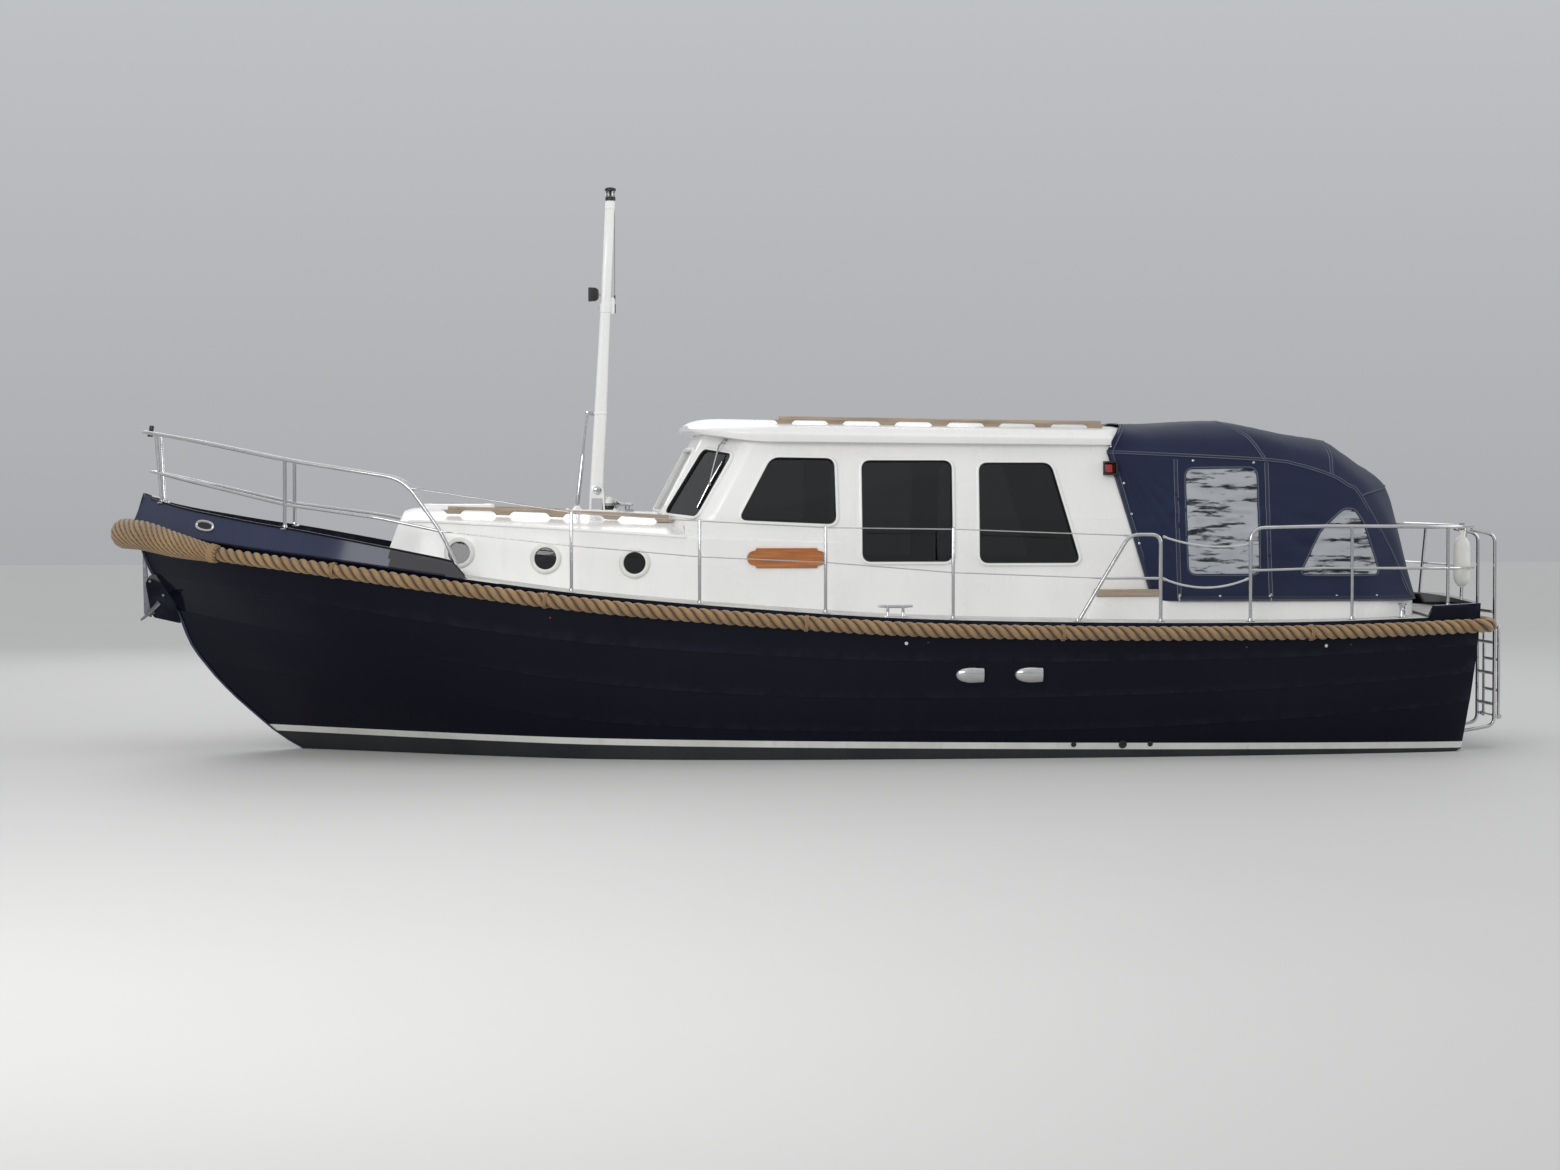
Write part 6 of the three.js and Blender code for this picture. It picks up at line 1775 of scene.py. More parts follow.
def makeLadder():
    spec = ladderSpec
    low, high = spec["sides"]
    fixed, fold = Pile(), Pile()
    x, r = spec["x"], spec["tube"]
    for y in spec["sides"]:
        fixed.tube([(-4940, y, 1640), (x, y, 1600), (x, y, 175), (-4780, y, 115)], r, 60, 14)
        fixed.turned([(0, 0), (30, 0), (30, 6), (15, 9), (0, 9)], (-4795, y, 117), (-1, 0, 0.17), 20)
    for z in (330, 560, 790, 1020):
        fixed.tube([(x, low, z), (x, high, z)], 11, sides=14)
        fixed.block(x - 16, x + 16, low + 60, high - 60, z + 6, z + 15)
    fixed.make("ladderFrame", "steel", ["ladder_fixed"], sharp=50)
    fx = spec["foldX"]
    for y in (low + 30, high - 30):
        fold.tube([(fx, y, 220), (fx, y, spec["foldTop"] - 8), (fx, y, spec["foldTop"])], [11, 11, 8], sides=14)
        fold.hoop([(8.5, -7), (15, -7), (15, 7), (8.5, 7)], (fx, y, spec["hingeZ"]), (0, 1, 0), 16)
    for z in (430, 660, 900):
        fold.tube([(fx, low + 30, z), (fx, high - 30, z)], 10, sides=14)
        fold.block(fx - 14, fx + 14, low + 80, high - 80, z + 5, z + 13)
    fold.tube([(fx, low - 12, spec["hingeZ"]), (fx, high + 12, spec["hingeZ"])], 8, sides=14)
    fold.make("ladderFold", "steel", ["ladder_folding"], body="ladder_folding", sharp=50)
    lugs = Pile()
    for y in spec["sides"]:
        lugs.hoop([(8.6, -5), (17, -5), (17, 5), (8.6, 5)], (fx, y, spec["hingeZ"]), (0, 1, 0), 18)
        lugs.block(fx + 14, x - 6, y - 5, y + 5, spec["hingeZ"] - 12, spec["hingeZ"] + 12)
    lugs.make("ladderLugs", "steel", sharp=40)


makePulpit()
makeLifelines()
makeSternRail()
makeLadder()
print("rails ready")


# Folding mast, its tabernacle and gas strut
mastSpec = {
    "pivot": (1540, 0, 1930), "top": (1436, 0, 4105), "half": 38,
    "depth": ((1880, 54), (2760, 45), (3150, 38.5), (4105, 34.5)), "strutTop": (1612, 0, 2510),
    "strutFoot": (1690, 0, 1800), "cylinder": 17, "rod": 9, "share": 0.57, "lampZ": 3402, "collarZ": 3300,
}


def onMast(z, forward=0.0, side=0.0):  # a point at a height, measured from the middle of the mast
    (x0, _, z0), (x1, _, z1) = mastSpec["pivot"], mastSpec["top"]
    return Vector((x0 + (x1 - x0) * (z - z0) / (z1 - z0) + forward, side, z))


def mastSection(z, grow=0.0):
    depth = straightAt(mastSpec["depth"], z) + grow
    half = mastSpec["half"] + grow
    line = roundedLine([(-depth, -half), (depth, -half), (depth, half), (-depth, half)], half * 0.7, 6)
    return [onMast(z, p.x, p.y) for p in line]


def makeMast():
    spec = mastSpec
    pile = Pile()
    levels = ((1880, -5), (1884, 0), (2400, 0), (3000, 0), (3600, 0), (4096, 0), (4105, -6))
    pile.rings([mastSection(z, grow) for z, grow in levels])
    for z0, z1, grow in ((spec["collarZ"] - 34, spec["collarZ"] + 34, 5), (4040, 4062, 3), (2498, 2522, 3)):
        pile.rings([mastSection(z, g) for z, g in ((z0, 0), (z0 + 4, grow), (z1 - 4, grow), (z1, 0))])
    box = roundedLine([(-68, -60), (-36, -60), (-36, 60), (-68, 60)], 8, 4)  # carries the whip behind the mast
    pile.prism(box, onMast(3318, 0, 15), *upright, 30)
    pile.make("mastTube", "whitePaint", ["mast"], body="mast", sharp=40)
    steel, black, lens = Pile(), Pile(), Pile()
    foot = roundedLine([(-45, -45), (45, -45), (45, 24), (-45, 24)], [44, 44, 4, 4], 8)
    steel.prism(foot, (1540, 37, 1930), *upright, 74)
    steel.tube([onMast(spec["collarZ"], 40), onMast(spec["collarZ"], 62)], 7, sides=10)
    steel.tube([(1540, -58, 1930), (1540, 58, 1930)], 9, sides=16)
    for side in (1, -1):
        steel.turned([(0, 0), (15, 0), (15, 8), (12, 11), (0, 11)], (1540, 51.6 * side, 1930), (0, side, 0), 6)
    top = Vector(spec["strutTop"])
    steel.prism(roundedLine([(-70, -26), (14, -16), (14, 16), (-70, 26)], 14, 5),
                top + Vector((-4, 21, 0)), *upright, 7)
    steel.tube([top + Vector((0, 24, 0)), top - Vector((0, 12, 0))], 5, sides=12)
    arm = spec["lampZ"]
    steel.prism(roundedLine([(0, -12), (62, -12), (62, 12), (0, 12)], 5, 3), onMast(arm, 38, 14),
                *upright, 28)
    x = onMast(arm).x + 92
    shell = roundedLine([(-42, -52), (42, -52), (42, 52), (-42, 52)], 10, 4)
    black.rings([[(x + dx, p.x * grow, arm + p.y * grow) for p in shell]
                 for dx, grow in ((-36, 0.55), (-28, 0.8), (-8, 0.97), (34, 1), (40, 0.98), (40, 0.88), (30, 0.86))])
    lens.prism([(p.x * 0.86, p.y * 0.86) for p in shell], (x + 32, 0, arm), (0, 1, 0), (0, 0, 1), 3)
    low = onMast(3262, -72)
    steel.tube([onMast(3262, -40), low], 4, sides=10)
    for foot, top, radius, sides in ((0, 68, 7, 12), (104, 134, 6, 12), (0, 840, 1.6, 6)):  # the whip on its base
        black.tube([low + Vector((0, 0, foot)), low + Vector((0, 0, top))], radius, sides=sides)
    steel.make("mastFittings", "steel", body="mast", bevel=1.2)
    black.make("floodLamp", "blackPlastic", body="mast", sharp=40)
    lens.make("floodLens", "lampGlass", body="mast", sharp=40)


def makeMastLight():
    base = mastSpec["top"]
    body, glass = Pile(), Pile()
    for profile in ([(0, 0.5), (34, 0.5), (39, 5), (39, 26), (35, 31), (0, 31)],
                    [(0, 72), (36, 72), (43, 75), (43, 86), (38, 95), (22, 101), (0, 104)]):
        body.turned(profile, base, sides=28)
    body.tube([Vector(base) + Vector((0, 0, 30)), Vector(base) + Vector((0, 0, 72))], 7, sides=12)
    ribs = [(33 + (1.6 if k % 2 else 0), 32 + k * 2.4) for k in range(17)]
    glass.turned([(0, 31), (33, 31), *ribs, (33, 72), (0, 72)], base, sides=28)
    body.make("mastLightBody", "blackPlastic", ["masthead_light"], body="mast", sharp=40)
    glass.make("mastLightLens", "lampGlass", body="mast", sharp=30)


def makeTabernacle():
    pile = Pile()
    cheek = [(-60, 62), (-44, 62), (-42, 164), (-36, 171), (36, 171), (42, 164), (44, 62), (60, 62), (53, 180)]
    cheek += [(x, 230 + z) for x, z in roundSection(48, 28)[:15]] + [(-53, 180)]
    for y in (51, -43):
        pile.prism(cheek, (1540, y, 1700), *upright, 8)
    plate = roundedLine([(1380, -120), (1790, -120), (1790, 120), (1380, 120)], 22, 5)
    pile.prism(plate, (0, 0, 1740), *level, 44)
    for x in (1410, 1760):
        for y in (-95, 95):
            pile.turned([(0, 0), (12, 0), (12, 7), (9, 10), (0, 10)], (x, y, 1784), (0, 0, 1), 6)
    lug = [(-35, -15), (35, -15), (35, 4), (14, 32), (-14, 32), (-35, 4)]
    for y in (30, -18):
        pile.prism(lug, (1690, y, 1784), *upright, 12)
    pile.tube([(1690, -34, 1800), (1690, 34, 1800)], 6, sides=14)
    head = [(0, 0), (30, 0), (30, 3), (24, 7), (12, 9.5), (0, 10)]
    for side in (1, -1):  # the ends of the pivot
        pile.turned(head, (1540, 59 * side, 1930), (0, side, 0), 24, 1)
    pile.make("tabernacleFrame", "whitePaint steel", ["tabernacle"], slot="stainless", bevel=1.6)


def makeStrut():
    spec = mastSpec
    foot, top = Vector(spec["strutFoot"]), Vector(spec["strutTop"])
    length, way = (top - foot).length, (top - foot).normalized()
    cylinder, rod = Pile(), Pile()
    reach, r, thin = length * spec["share"], spec["cylinder"], spec["rod"]
    cylinder.turned([(0, 16), (7, 16), (7, 26), (r, 30), (r, reach - 5), (r - 2, reach), (thin + 0.8, reach),
                     (thin + 0.8, 40), (0, 40)], foot, way, 20)
    cylinder.hoop([(6.4, -11), (17, -11), (17, 11), (6.4, 11)], foot, (0, 1, 0), 20)
    rod.turned([(0, reach - 6), (thin, reach - 6), (thin, length - 16), (0, length - 16)], foot, way, 16)
    rod.hoop([(5.4, -9), (14, -9), (14, 9), (5.4, 9)], top, (0, 1, 0), 18)
    cylinder.make("strutCylinder", "steel", ["strut_cylinder"], body="strut_cylinder", sharp=40)
    rod.make("strutRod", "steel", ["strut_rod"], body="strut_rod", sharp=40)


def makeHorns():
    curve = [(48 * cos(a), 50 + 48 * sin(a)) for a in [pi * k / 20 for k in range(-3, 10)]]
    place = (1455, 0, 1784)
    dome = Pile().turned([(0, 46), *curve, (0, 98)], place, sides=32)
    base = [(0, 0.4), (52, 0.4), (52, 7), (45, 10), (45, 38), (49, 42), (49, 47), (0, 48)]
    dome.turned(base, place, sides=32, finish=1)
    dome.make("hornDome", "whitePlastic blackPlastic", ["horn"], sharp=40)
    pile = Pile()
    bell = [(0, -8), (11, -8), (14, 0), (10, 14), (10, 44), (14, 80), (23, 104), (38, 120), (38, 124), (33, 123),
            (19, 104), (0, 90)]
    for y, shift in ((34, 0), (-34, 22)):
        pile.turned(bell, (1278 + shift, y, 1824), (1, 0, 0), 24)
        pile.tube([(1300 + shift, y, 1822), (1300 + shift, y, 1782)], 6, sides=10)
    pile.block(1268, 1330, -52, 52, 1778, 1789)
    pile.make("hornTrumpets", "steel", sharp=40)


makeMast()
makeMastLight()
makeTabernacle()
makeStrut()
makeHorns()
print("mast ready")


# Handrails
handrailSpec = {
    "coach": {"line": ((1035, 1700), (1500, 1723), (2100, 1748), (2670, 1765)), "feet": (1085, 1470, 1870, 2260, 2620),
              "side": ((900, 1150), (1800, 1085), (2550, 935), (3150, 760)), "share": 0.62, "shift": 60},
    "roof": {"line": ((-2150, 2392), (-1000, 2406), (260, 2424)), "side": ((-3000, 880), (1000, 880)),
             "feet": (-2095, -1710, -1325, -940, -555, -170, 205), "share": 1, "shift": 0},
    "height": 52, "bar": (19, 27), "foot": (50, 92),
}


def makeHandrail(name, spec):
    bar, high, (low, wide) = (handrailSpec[key] for key in ("bar", "height", "foot"))
    pile = Pile()
    x0, x1 = spec["line"][0][0], spec["line"][-1][0]

    def at(x, z=0.0):
        return Vector((x, straightAt(spec["side"], x) * spec["share"] + spec["shift"], rowAt(spec["line"], x)[1] + z))

    run = [at(x, high) for x in spread(x0 + 12, x1 - 12, 60)]
    section = roundedLine([(-bar[0], -bar[1]), (bar[0], -bar[1]), (bar[0], 0), (-bar[0], 0)], 6, 3)
    pile.bead(run, [Vector((0, 0, 1))] * len(run), section, closed=False)
    for x in spec["feet"]:
        ahead = (at(x + 20) - at(x - 20)).normalized()
        outline = [(-low, -4), (low, -4), (low + 3, 4), (wide - 22, high - bar[1] - 5), (wide, high - bar[1] + 1),
                   (-wide, high - bar[1] + 1), (22 - wide, high - bar[1] - 5), (-low - 3, 4)]
        side = ahead.cross(Vector((0, 0, 1))).normalized()
        pile.prism(outline, at(x) - side * (bar[0] - 1.5), ahead, side.cross(ahead), 2 * bar[0] - 3)
    pile.mirrored().make(f"{name}Handrails", "teakWood", [f"{name}_rail_port", f"{name}_rail_starboard"], bevel=2.5)


# Deck gear
def platingAt(x, z, column):  # where the plating of a station lies at a height
    side = hullSide(x)
    for a, b in zip(side, side[1:]):
        if b[2] <= z <= a[2]:
            return a[column] + (b[column] - a[column]) * (a[2] - z) / max(0.1, a[2] - b[2])
    return side[0][column]


def hullY(x, z):
    return platingAt(x, z, 1)


def makeCleats():
    pile = Pile()
    x, y = -530, sheerHalf(-530) - 130
    z = sheerZ(x) + 6
    base = roundedLine([(x - 90, y - 32), (x + 90, y - 32), (x + 90, y + 32), (x - 90, y + 32)], 28, 6)
    pile.prism(base, (0, 0, z - 8), *level, 12)
    for dx in (-55, 55):
        pile.tube([(x + dx, y, z + up) for up in (0, 12, 62, 76)], [17, 12, 11, 13], sides=14)
    horn = ((-128, 76), (-122, 75), (-60, 72), (60, 72), (122, 75), (128, 76))
    pile.tube([(x + dx, y, z + up) for dx, up in horn], [5, 9, 11.5, 11.5, 9, 5], sides=14)
    pile.mirrored().make("midCleats", "steel", ["cleat_mid_port", "cleat_mid_starboard"], bevel=1.5)
    posts = Pile()
    place = (-4300, 1320, sheerZ(-4300))
    posts.turned([(0, -4), (46, -4), (46, 5), (42, 8), (24, 11), (22, 16), (22, 88), (27, 92), (32, 97), (32, 104),
                  (26, 108), (0, 109)], place, sides=28)
    posts.tube([(-4300, 1262, place[2] + 62), (-4300, 1378, place[2] + 62)], 8, sides=14)
    posts.mirrored().make("aftBollards", "steel", ["bollard_aft_port", "bollard_aft_starboard"], sharp=40)
    bitts, deck = Pile(), sheerZ(3720)
    for y in (-110, 110):
        bitts.turned([(0, deck - 20), (70, deck - 20), (70, deck + 50), (42, deck + 56), (38, 1500), (38, 1596),
                      (46, 1600), (46, 1608), (38, 1613), (0, 1615)], (3720, y, 0), sides=28)
    bitts.tube([(3720, y, 1562) for y in (-224, -220, 220, 224)], [14, 20, 20, 14], sides=18)
    bitts.make("foreBitts", "steel", ["fore_bitts"], sharp=40)


def makeAnchor():  # stowed on the stem: cheek plates, an upright shank and a plough with two palms
    pile = Pile()
    cheek = roundedLine([(4640, 940), (4840, 985), (4868, 1060), (4900, 1240), (4870, 1300), (4740, 1330)],
                                           16, 4)
    for y in (37, -28):
        pile.prism(cheek, (0, y, 0), *upright, 9, 2)
    for x, z in ((4868, 1255), (4842, 1020), (4770, 1150)):  # pins through the cheeks
        pile.turned([(0, -44), (9, -44), (11, -41), (11, 41), (9, 44), (0, 44)], (x, 0, z), (0, 1, 0), 18)
    pile.turned([(0, -17), (22, -17), (17, -8), (17, 8), (22, 17), (0, 17)], (4842, 0, 1020), (0, 1, 0), 22)
    shank = [(4888, 1478), (4920, 1474), (4922, 1380), (4918, 1200), (4914, 1010), (4860, 985), (4852, 1030),
             (4876, 1200), (4892, 1380)]
    pile.prism(shank, (0, 13, 0), *upright, 26)
    for side in (1, -1):
        rings = []
        for k in range(11):
            t = k / 10
            low = Vector((4934, 0, 958)).lerp(Vector((4800, 0, 1088)), t)
            wide = 84 * sin(min(1.0, t * 1.15) * pi / 2) ** 0.8
            keelAt = low + Vector((4, 0, 4))
            edge = low + Vector((-14 * t, side * (wide + 2), -34 * t + 30 * t * t))
            middle = keelAt.lerp(edge, 0.5) + Vector((10 * t, 0, 16 * t))
            over = Vector((5, 0, 8))
            rings.append([keelAt, middle, edge, edge + over, middle + over, keelAt + over])
        pile.rings(rings)
    pile.hoop([(15, -5), (25, -5), (25, 5), (15, 5)], (4903, 0, 1478), (0, 1, 0), 20)
    pile.make("stowedAnchor", "zincCoat steel navyPaint", ["anchor"], bevel=2)


def makeBulwarkTrim():
    cap, rings = Pile(), []
    for x in spread(2566, 4900, 90):
        px, py, pz = hullSide(x)[0]
        section = roundedLine([(-42, -2), (14, -2), (14, 12), (-42, 12)], 6, 4)
        rings.append([(px, py + p.x, pz + p.y) for p in section])
    cap.rings(rings).mirrored()
    cap.make("capRail", "navyPaint", sharp=50)
    band = Pile()  # moulding along the foot of the bulwark
    run = [Vector(hullSide(x)[4]) + Vector((0, 3, 4)) for x in spread(2680, 4860, 90)]
    band.tube(run, 9, sides=10).mirrored()
    band.make("bulwarkBead", "navyPaint", sharp=60)
    hawse, mouth = Pile(), Pile()
    top, foot = (Vector(hullSide(4440)[k]) for k in (0, 4))
    place = top.lerp(foot, 0.44)
    ahead = (Vector(hullSide(4500)[0]) - Vector(hullSide(4380)[0])).normalized()
    out = ahead.cross(top - foot).normalized()
    out = out if out.y > 0 else -out
    up = out.cross(ahead)

    def oval(wide, high, shift):
        return [place + ahead * (wide * copysign(abs(c) ** 0.8, c)) + up * (high * copysign(abs(s) ** 0.8, s))
                + out * shift for c, s in roundSection(1, 44)]

    section = [(13 * c, 3 + 11 * s) for c, s in roundSection(1, 10)]
    hawse.bead(oval(84, 33, 0), [out] * 44, section)
    hawse.mirrored().make("hawseRings", "steel", sharp=60)
    mouth.rings([oval(77, 26, 2.5), oval(77, 26, -8)])
    mouth.mirrored().make("hawseMouths", "rubber", sharp=30)
    strip, rings = Pile(), []
    for z in spread(-260, 1500, 80):  # band down the face of the stem
        x = platingAt(hullSpec["stemHead"], z, 0) + 17
        port = [(x + 7, 26, z), (x + 3, 31, z), (x - 14, 31, z)]
        rings.append([*flipped(reversed(port)), *port])
    # the stem band takes the lighter navy: a painted reflection of the sky on the stem face
    strip.rings(rings).make("stemBand", "bulwarkPaint", sharp=40)


# Side fittings. Rows: x, height, radius, finish
sideFittingSpec = {
    "vents": ((-1050, 614), (-1478, 614)), "ventLength": 206, "ventHigh": 74, "ventOut": 44,
    "discs": ((-593, 842, 12, "whitePlastic"), (-3688, 805, 12, "whitePlastic"), (-752, 849, 9, "blackPlastic"),
              (-3877, 812, 9, "blackPlastic"), (1943, 1030, 7, "redLamp"), (-3087, 800, 7, "redLamp"),
              (-1830, 100, 20, "rubber"), (-2193, 96, 30, "rubber"), (-2397, 98, 20, "rubber")),
    "board": (-70, 506, 1370, 1515), "lamp": (-2212, -2112, 2044, 2146),
}


def makeSideFittings():
    spec = sideFittingSpec
    vents = Pile()
    for x, z in spec["vents"]:  # clamshell hoods, rounded ahead and open aft
        rings = []
        for k in range(13):
            t = k / 12
            swell = max(0.02, sqrt(max(0.0, 1 - (1 - min(1, t * 1.35)) ** 2)))
            px = x + spec["ventLength"] * (0.5 - t)
            ring = []
            for j in range(15):
                a = pi * j / 14
                pz = z + cos(a) * spec["ventHigh"] * swell * (0.82 + 0.18 * (1 - t))
                ring.append((px, hullY(px, pz) + sin(a) * spec["ventOut"] * swell - 1, pz))
            rings.append(ring)
        inner = [[(a + (0 if i < 12 else 0.5), b - 3, z + (c - z) * 0.93) for a, b, c in ring]
                 for i, ring in enumerate(rings)]
        vents.rings([outer + list(reversed(low)) for outer, low in zip(rings, inner)])
    vents.mirrored().make("clamshellVents", "steel", sharp=50)
    for finish in ("whitePlastic", "blackPlastic", "redLamp", "rubber"):
        discs = Pile()
        for x, z, r, name in spec["discs"]:
            if name == finish:
                place, out = Vector((x, hullY(x, z), z)), sideNormal(hullY, x, z)
                profile = [(0, -3), (r, -3), (r, 3), (r - 2, 5), (r * 0.55, 5.5), (r * 0.45, 2.5), (0, 2.5)]
                discs.turned(profile, place, out, 24)
        slot = "white_paint" if finish == "whitePlastic" else "black_plastic"
        discs.mirrored().make(f"sideDiscs_{finish}", finish, slot=slot, sharp=40)
    x0, x1, z0, z1 = spec["board"]
    middle, high = (x0 + x1) / 2, (z0 + z1) / 2
    half, neck, lobe = (z1 - z0) / 2, 21, 46
    tip = [(x1 - lobe + lobe * cos(a), high + (half - neck) * sin(a)) for a in
           [pi * (0.5 - k / 12) for k in range(7)]]
    quarter = [(x1 - lobe - neck, z1)] + [(x1 - lobe - neck * cos(a), z1 - neck * sin(a)) for a in
                                          [pi * k / 12 for k in range(1, 7)]] + tip[1:]
    right = quarter + [(x, 2 * high - z) for x, z in reversed(quarter[:-1])]
    outline = [Vector(p) for p in right + [(2 * middle - x, 2 * high - z) for x, z in right]]
    lean = (houseSideY(middle, z1) - houseSideY(middle, z0)) / (z1 - z0)
    rings = [[(middle + (p.x - middle) * (1 - inset / (middle - x0)), houseSideY(p.x, high) + out + (p.y - high) * lean,
               high + (p.y - high) * (1 - inset / (high - z0))) for p in outline]
             for inset, out in ((0, 1), (0, 12), (3, 16), (10, 16), (13, 13.5))]
    Pile().rings(rings).mirrored().make("sideBoards", "varnish", sharp=30)
    x0, x1, z0, z1 = spec["lamp"]
    box, wall = Pile(), houseSideY((x0 + x1) / 2, z0) - 6
    box.block(x0, x1, wall, wall + 22, z0, z1).block(x0, x1, wall, wall + 62, z0, z0 + 12)
    box.block(x0, x1, wall, wall + 62, z1 - 12, z1).block(x0, x0 + 12, wall, wall + 62, z0, z1)
    box.mirrored().make("lampBoxes", "blackPlastic", bevel=2)
    for side, finish, name in ((1, "redLamp", "port"), (-1, "greenLamp", "starboard")):
        ribs = [(30 + (1.2 if k % 2 else 0), 6 + k * 5.2) for k in range(12)]
        lamp = Pile().turned([(0, 4), *ribs, (0, 70)], ((x0 + x1) / 2 + 8, (wall + 24) * side, z0 + 14), sides=26)
        lamp.make(f"sideLamp_{name}", finish, sharp=25)


def makeWipers():
    steel, rubber = Pile(), Pile()
    _, out = screenOutline("side", 1)

    def over(u, z, lift):
        return screenPoint("side", u, z) + out * lift

    steel.turned([(0, -14), (19, -14), (19, 14), (14, 22), (0, 24)], over(335, 2288, 0), out, 20)
    arm = ((335, 2288, 18), (352, 2240, 40), (440, 2060, 38), (490, 1966, 34))
    steel.tube([over(*spot) for spot in arm], [8, 8, 6, 5], sides=10)
    steel.tube([over(487, 2126, 30), over(490, 1966, 36), over(495, 1794, 30)], [4, 7, 4], sides=8)
    middle, half = over(490, 1966, 34), Vector((9, 9, 14))
    steel.block(*[c for pair in zip(middle - half, middle + half) for c in pair])
    blade = [over(487, 2130, 18), over(490, 1966, 18), over(495, 1790, 18)]
    rubber.bead(blade, [out] * 3, [(-2, -13), (2, -13), (5, 8), (-5, 8)], closed=False)
    steel.mirrored().make("wiperArms", "steel", sharp=40)
    rubber.mirrored().make("wiperBlades", "rubber", sharp=40)


def makeHungFender():
    x, y, z = -4836, 998, 1212
    profile = [(0, 0), (16, 0), (20, 8), (34, 16), (52, 38), (61, 70), (62, 120), (62, 290), (58, 330), (42, 362),
               (22, 380), (18, 392), (18, 420), (13, 425), (0, 425)]
    body = Pile().turned(profile, (x, y, z), sides=32)
    body.make("hungFender", "whitePlastic", ["hung_fender"], slot="white_plastic", sharp=50)
    tie = Pile()
    run = smoothRun([(x, y, z + 418), (x + 6, y + 8, z + 440), (x - 2, y + 20, z + 462)], 6)
    twistedTube(tie, evenRun(run, 6), 6, 3, 30, 0.16, 12)
    for dx in (-10, 0, 10):
        tie.hoop([(13, -5), (24, -5), (26, 0), (24, 5), (13, 5)], (x + dx, y - 2, z + 452), (1, 0.2, 0.1), 18)
    tie.make("fenderTie", "manilaRope", sharp=60)


# Propeller and rudder
propellerSpec = {"place": (-3760, 0, -620), "radius": 225, "blades": 4, "pitch": 300}


def makePropeller():
    spec = propellerSpec
    x, _, z = spec["place"]
    pile = Pile().turned([(0, -90), (14, -90), (26, -78), (30, -66), (40, -62), (48, -40), (48, 46), (40, 58), (0, 58)],
                         spec["place"], (1, 0, 0), 32)
    shaft = Pile().turned([(0, -100), (20, -100), (20, 700), (0, 700)], spec["place"], (1, 0, 0), 28)
    for turn in turnsOf(spec["blades"]):
        rings = []
        for k in range(11):
            share = k / 10
            r = 38 + (spec["radius"] - 39) * share
            chord = 78 * sqrt(max(0.0, 1 - (2 * share * 0.97 - 0.98) ** 2)) + 34 * (1 - share) ** 2 + 2
            twist = atan2(spec["pitch"], 2 * pi * r)
            thick, skew = 9 * (1 - share * 0.75), 0.22 * share ** 2
            ring = []
            for a in turnsOf(14):
                along, off = cos(a) * chord, sin(a) * thick
                ahead = along * sin(twist) + off * cos(twist)
                angle = turn + skew + (along * cos(twist) - off * sin(twist)) / r
                ring.append((x + ahead, r * sin(angle), z + r * cos(angle)))
            rings.append(ring)
        pile.rings(rings)
    pile.join(shaft, 1)
    pile.make("propellerBlades", "castBronze steel", ["propeller"], body="propeller", sharp=50)


def makeRudder():
    corners = [(-4095, -300), (-4420, -250), (-4620, -300), (-4640, -780), (-4560, -860), (-4110, -866)]
    outline = roundedLine(corners, 30, 5)
    pile = Pile().rings([[(-4360 + (p.x + 4360) * share, y, -570 + (p.y + 570) * share) for p in outline]
                         for y, share in ((-20, 0.955), (-15, 1), (15, 1), (20, 0.955))])
    pile.turned([(0, -866), (20, -866), (20, 100), (0, 100)], (-4200, 0, 0))
    for z in (-420, -570, -720):
        pile.block(-4600, -4220, -24, 24, z - 5, z + 5)
    pile.make("rudderBlade", "bottomPaint", ["rudder"], body="rudder", bevel=4)


for railName in ("coach", "roof"):
    makeHandrail(railName, handrailSpec[railName])
makeCleats()
makeAnchor()
makeBulwarkTrim()
makeSideFittings()
makeWipers()
makeHungFender()
makePropeller()
makeRudder()
print("fittings ready")


# Door, helm and seat, seen through the glass
def makeDoor():
    spec = houseSpec["door"]
    z0, z1 = spec["z"]
    y1 = spec["hinge"] - 1
    y0 = spec["hinge"] - spec["width"]
    lean = Vector((bulkheadX(z1) - bulkheadX(z0), 0, z1 - z0)).normalized()
    origin = Vector((bulkheadX(z0) + 34, 0, z0))
    high = (z1 - z0) / lean.z
    door = Pile().prism([(y0, 0), (y1, 0), (y1, high), (y0, high)], origin, (0, 1, 0), lean, -32)
    door = door.mesh("cabinDoor", "interiorWood")
    low, top = (1420 - z0) / lean.z, (1940 - z0) / lean.z
    pane = roundedLine([(-200, low), (200, low), (200, top), (-200, top)], 40, 6)
    hole = Pile().prism(pane, origin + Vector((80, 0, 0)), (0, 1, 0), lean, -200)
    panel = roundedLine([(-215, 110), (215, 110), (215, low - 90), (-215, low - 90)], 26, 5)
    recess = Pile().prism(panel, origin + Vector((-24, 0, 0)), (0, 1, 0), lean, -40)
    carve(door, [hole.mesh("doorPane", "interiorWood"), recess.mesh("doorPanel", "interiorWood")])
    settle(door, "cabin_door", "teak", ["cabin_door"], bevel=2)
    glass = Pile().prism([(p.x * 1.02, p.y) for p in pane], origin + Vector((-14, 0, 0)), (0, 1, 0), lean, -5)
    glass.make("doorGlass", "windowGlass", body="cabin_door")
    knob = Pile()
    place = origin + lean * 470 + Vector((-30, 0, 0))
    for x in (-22, 42):
        knob.tube([place + Vector((x + dx, y0 + dy, 0)) for dx, dy in ((12, 50), (-6, 50), (-6, 130))], 8, 12, 12)
    knob.make("doorHandle", "steel", body="cabin_door", sharp=40)


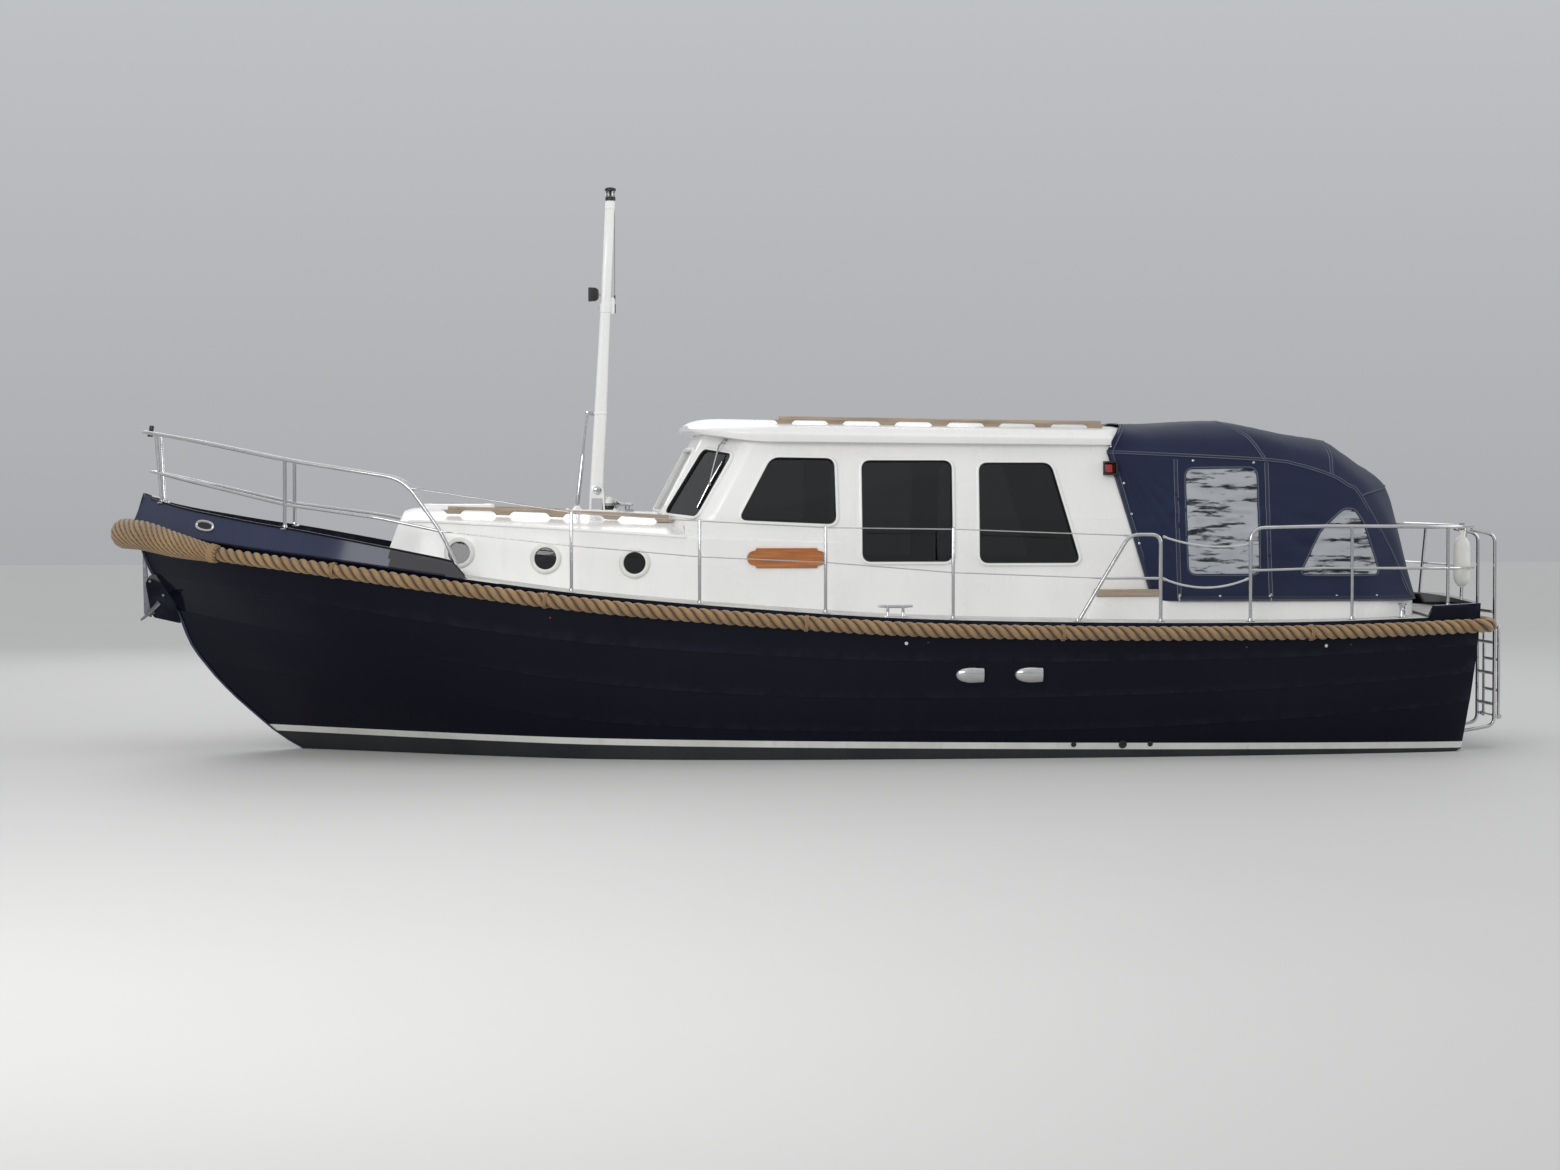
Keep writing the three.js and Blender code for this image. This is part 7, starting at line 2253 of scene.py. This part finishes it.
helmSpec = {"place": (560, -520, 1430), "radius": 215, "lean": 0.35, "rim": 14, "spokes": 6}
helmAxis = Vector((-cos(helmSpec["lean"]), 0, sin(helmSpec["lean"])))


def makeHelm():
    spec = helmSpec
    place, side, reach = Vector(spec["place"]), Vector((0, 1, 0)), spec["radius"] - spec["rim"]
    up = helmAxis.cross(side)
    wood, steel = Pile(), Pile()
    ring = ringAt(place, side, up, reach, 56)
    wood.bead(ring, [(p - place).normalized() for p in ring], roundSection(spec["rim"], 12))
    for end in ringAt(place, side, up, reach, spec["spokes"]):
        steel.tube([place, end], 8, sides=10)
    steel.turned([(0, -14), (30, -14), (38, -8), (38, 8), (22, 20), (0, 22)], place, helmAxis, 24)
    wood.make("helmRim", "teakWood", ["helm_wheel"], body="helm_wheel", sharp=60)
    steel.make("helmSpokes", "steel", body="helm_wheel", sharp=50)


def makeConsole():
    outline = [(600, 431), (930, 431), (930, 1640), (840, 1690), (700, 1640), (600, 1330)]
    pile = Pile().prism(outline, (0, -120, 0), *upright, 860)
    pile.make("helmConsole", "interiorWood blackPlastic", ["helm_console"], bevel=14, segments=3)
    dials, out = Pile(), Vector((-310, 0, 100)).normalized()
    for y, z, r in ((-250, 1520, 45), (-370, 1545, 34), (-680, 1545, 34), (-800, 1520, 45)):
        x = 600 + (z - 1330) * 100 / 310
        dials.turned([(0, 0), (r, 0), (r, 8), (r - 5, 11), (r - 7, 6), (0, 6)], Vector((x, y, z)), out, 28)
    dials.turned([(0, -178), (46, -178), (46, -64), (0, -64)], helmSpec["place"], helmAxis, 28)
    dials.make("helmDials", "blackPlastic", sharp=40)


def cushion(name, low, high, replaces=()):  # a crowned pad whose sides pull in between corners
    square = 6  # the higher, the squarer its outline
    centre, half = (Vector(low) + Vector(high)) / 2, (Vector(high) - Vector(low)) / 2
    flat = min(range(3), key=lambda i: half[i])
    one, two = [i for i in range(3) if i != flat]
    rings = []
    for k in range(17):
        v = sin(pi * (k / 16 - 0.5))
        shrink = (1 - abs(v) ** 6) ** 0.5 if abs(v) < 1 else 0.0
        ring = []
        for a in turnsOf(64):
            c, s = cos(a), sin(a)
            reach = (abs(c) ** square + abs(s) ** square) ** (-1 / square)
            size = max(0.02, shrink) * (1 - 0.03 * (1 - abs(sin(2 * a))) * (1 - v * v))
            across, along = c * reach * size, s * reach * size
            dome = 1 - 0.35 * min(1.0, across * across + along * along)
            q = Vector(centre)
            q[one] += across * half[one]
            q[two] += along * half[two]
            q[flat] += v * half[flat] * dome
            ring.append(q)
        rings.append(ring)
    Pile().rings(rings).make(name, "leather", replaces, sharp=60)


def makeSeat():
    cushion("seatCushion", (-180, -760, 896), (300, -280, 1004), ["helm_seat"])
    cushion("seatBack", (-242, -752, 985), (-138, -288, 1330))
    post = Pile().turned([(0, 400.6), (160, 400.6), (160, 414), (140, 422), (52, 430), (45, 450), (45, 880), (70, 892),
                          (0, 894)], (60, -520, 0), sides=32)
    post.block(-232, -200, -560, -480, 880, 1200).block(-232, 120, -560, -480, 872, 892)
    post.make("seatPost", "steel", bevel=2)


makeDoor()
makeHelm()
makeConsole()
makeSeat()
finishNodes("teakWood", "cabin_sole")
finishNodes("enginePaint", "engine")
print("cabin ready")



# Floor and light
stageSpec = {"half": 60.0, "floorZ": 0.0, "floor": (0.62, 0.62, 0.61), "world": 0.74}


def makeStage(spec):
    half = spec["half"]
    mesh = bpy.data.meshes.new("floor")
    mesh.from_pydata([(-half, -half, 0), (half, -half, 0), (half, half, 0), (-half, half, 0)], [], [(0, 1, 2, 3)])
    floor = bpy.data.objects.new("floor", mesh)
    floor.location.z = spec["floorZ"]
    scene.collection.objects.link(floor)
    material, tree, inputs = newMaterial("paleFloor")
    tone = nodeIn(tree, "ShaderNodeValToRGB", {"Fac": noiseIn(tree, placeIn(tree), 0.35)})
    tone.color_ramp.elements[0].color = (*[c * 0.96 for c in spec["floor"]], 1)
    tone.color_ramp.elements[1].color = (*spec["floor"], 1)
    tree.links.new(tone.outputs["Color"], inputs["Base Color"])
    inputs["Roughness"].default_value = 0.6
    mesh.materials.append(material)


def makeWorld(spec):
    world = bpy.data.worlds.new("studio")
    world.use_nodes = True
    tree = world.node_tree
    back = tree.nodes["Background"]
    place = nodeIn(tree, "ShaderNodeTexCoord").outputs["Generated"]
    height = nodeIn(tree, "ShaderNodeSeparateXYZ", {0: place}).outputs["Z"]
    tone = nodeIn(tree, "ShaderNodeValToRGB", {"Fac": rangeIn(tree, height, -0.2, 1.0)})
    stops = tone.color_ramp.elements
    stops[0].position, stops[0].color = 0.15, (0.55, 0.56, 0.58, 1)
    stops[1].position, stops[1].color = 1.0, (1.0, 1.0, 1.0, 1)
    middle = stops.new(0.35)
    middle.color = (0.80, 0.82, 0.85, 1)
    tree.links.new(tone.outputs["Color"], back.inputs["Color"])
    back.inputs["Strength"].default_value = spec["world"]
    scene.world = world


def addLight(name, place, aim, size, power, tint=(1, 1, 1)):
    light = bpy.data.lights.new(name, "AREA")
    light.shape = "RECTANGLE"
    light.size, light.size_y = size
    light.energy = power
    light.color = tint
    obj = bpy.data.objects.new(name, light)
    scene.collection.objects.link(obj)
    obj.location = place
    obj.rotation_euler = (Vector(aim) - Vector(place)).to_track_quat("-Z", "Y").to_euler()


makeStage(stageSpec)
makeWorld(stageSpec)
# place and aim in metres, size in metres, power in watts, tint
addLight("overhead", (-1, 5, 13), (0, 0, 1), (16, 10), 120)
addLight("photoSide", (9, 15.5, 7), (0, 0, 1), (11, 5), 980, (1, 0.99, 0.97))
addLight("sternSide", (-14, 2, 6), (-2, 0, 1), (8, 6), 300, (0.96, 0.98, 1))
addLight("farSide", (2, -14, 8), (0, 0, 1), (12, 6), 420)
scene.view_settings.view_transform = "Standard"


print("scene ready")
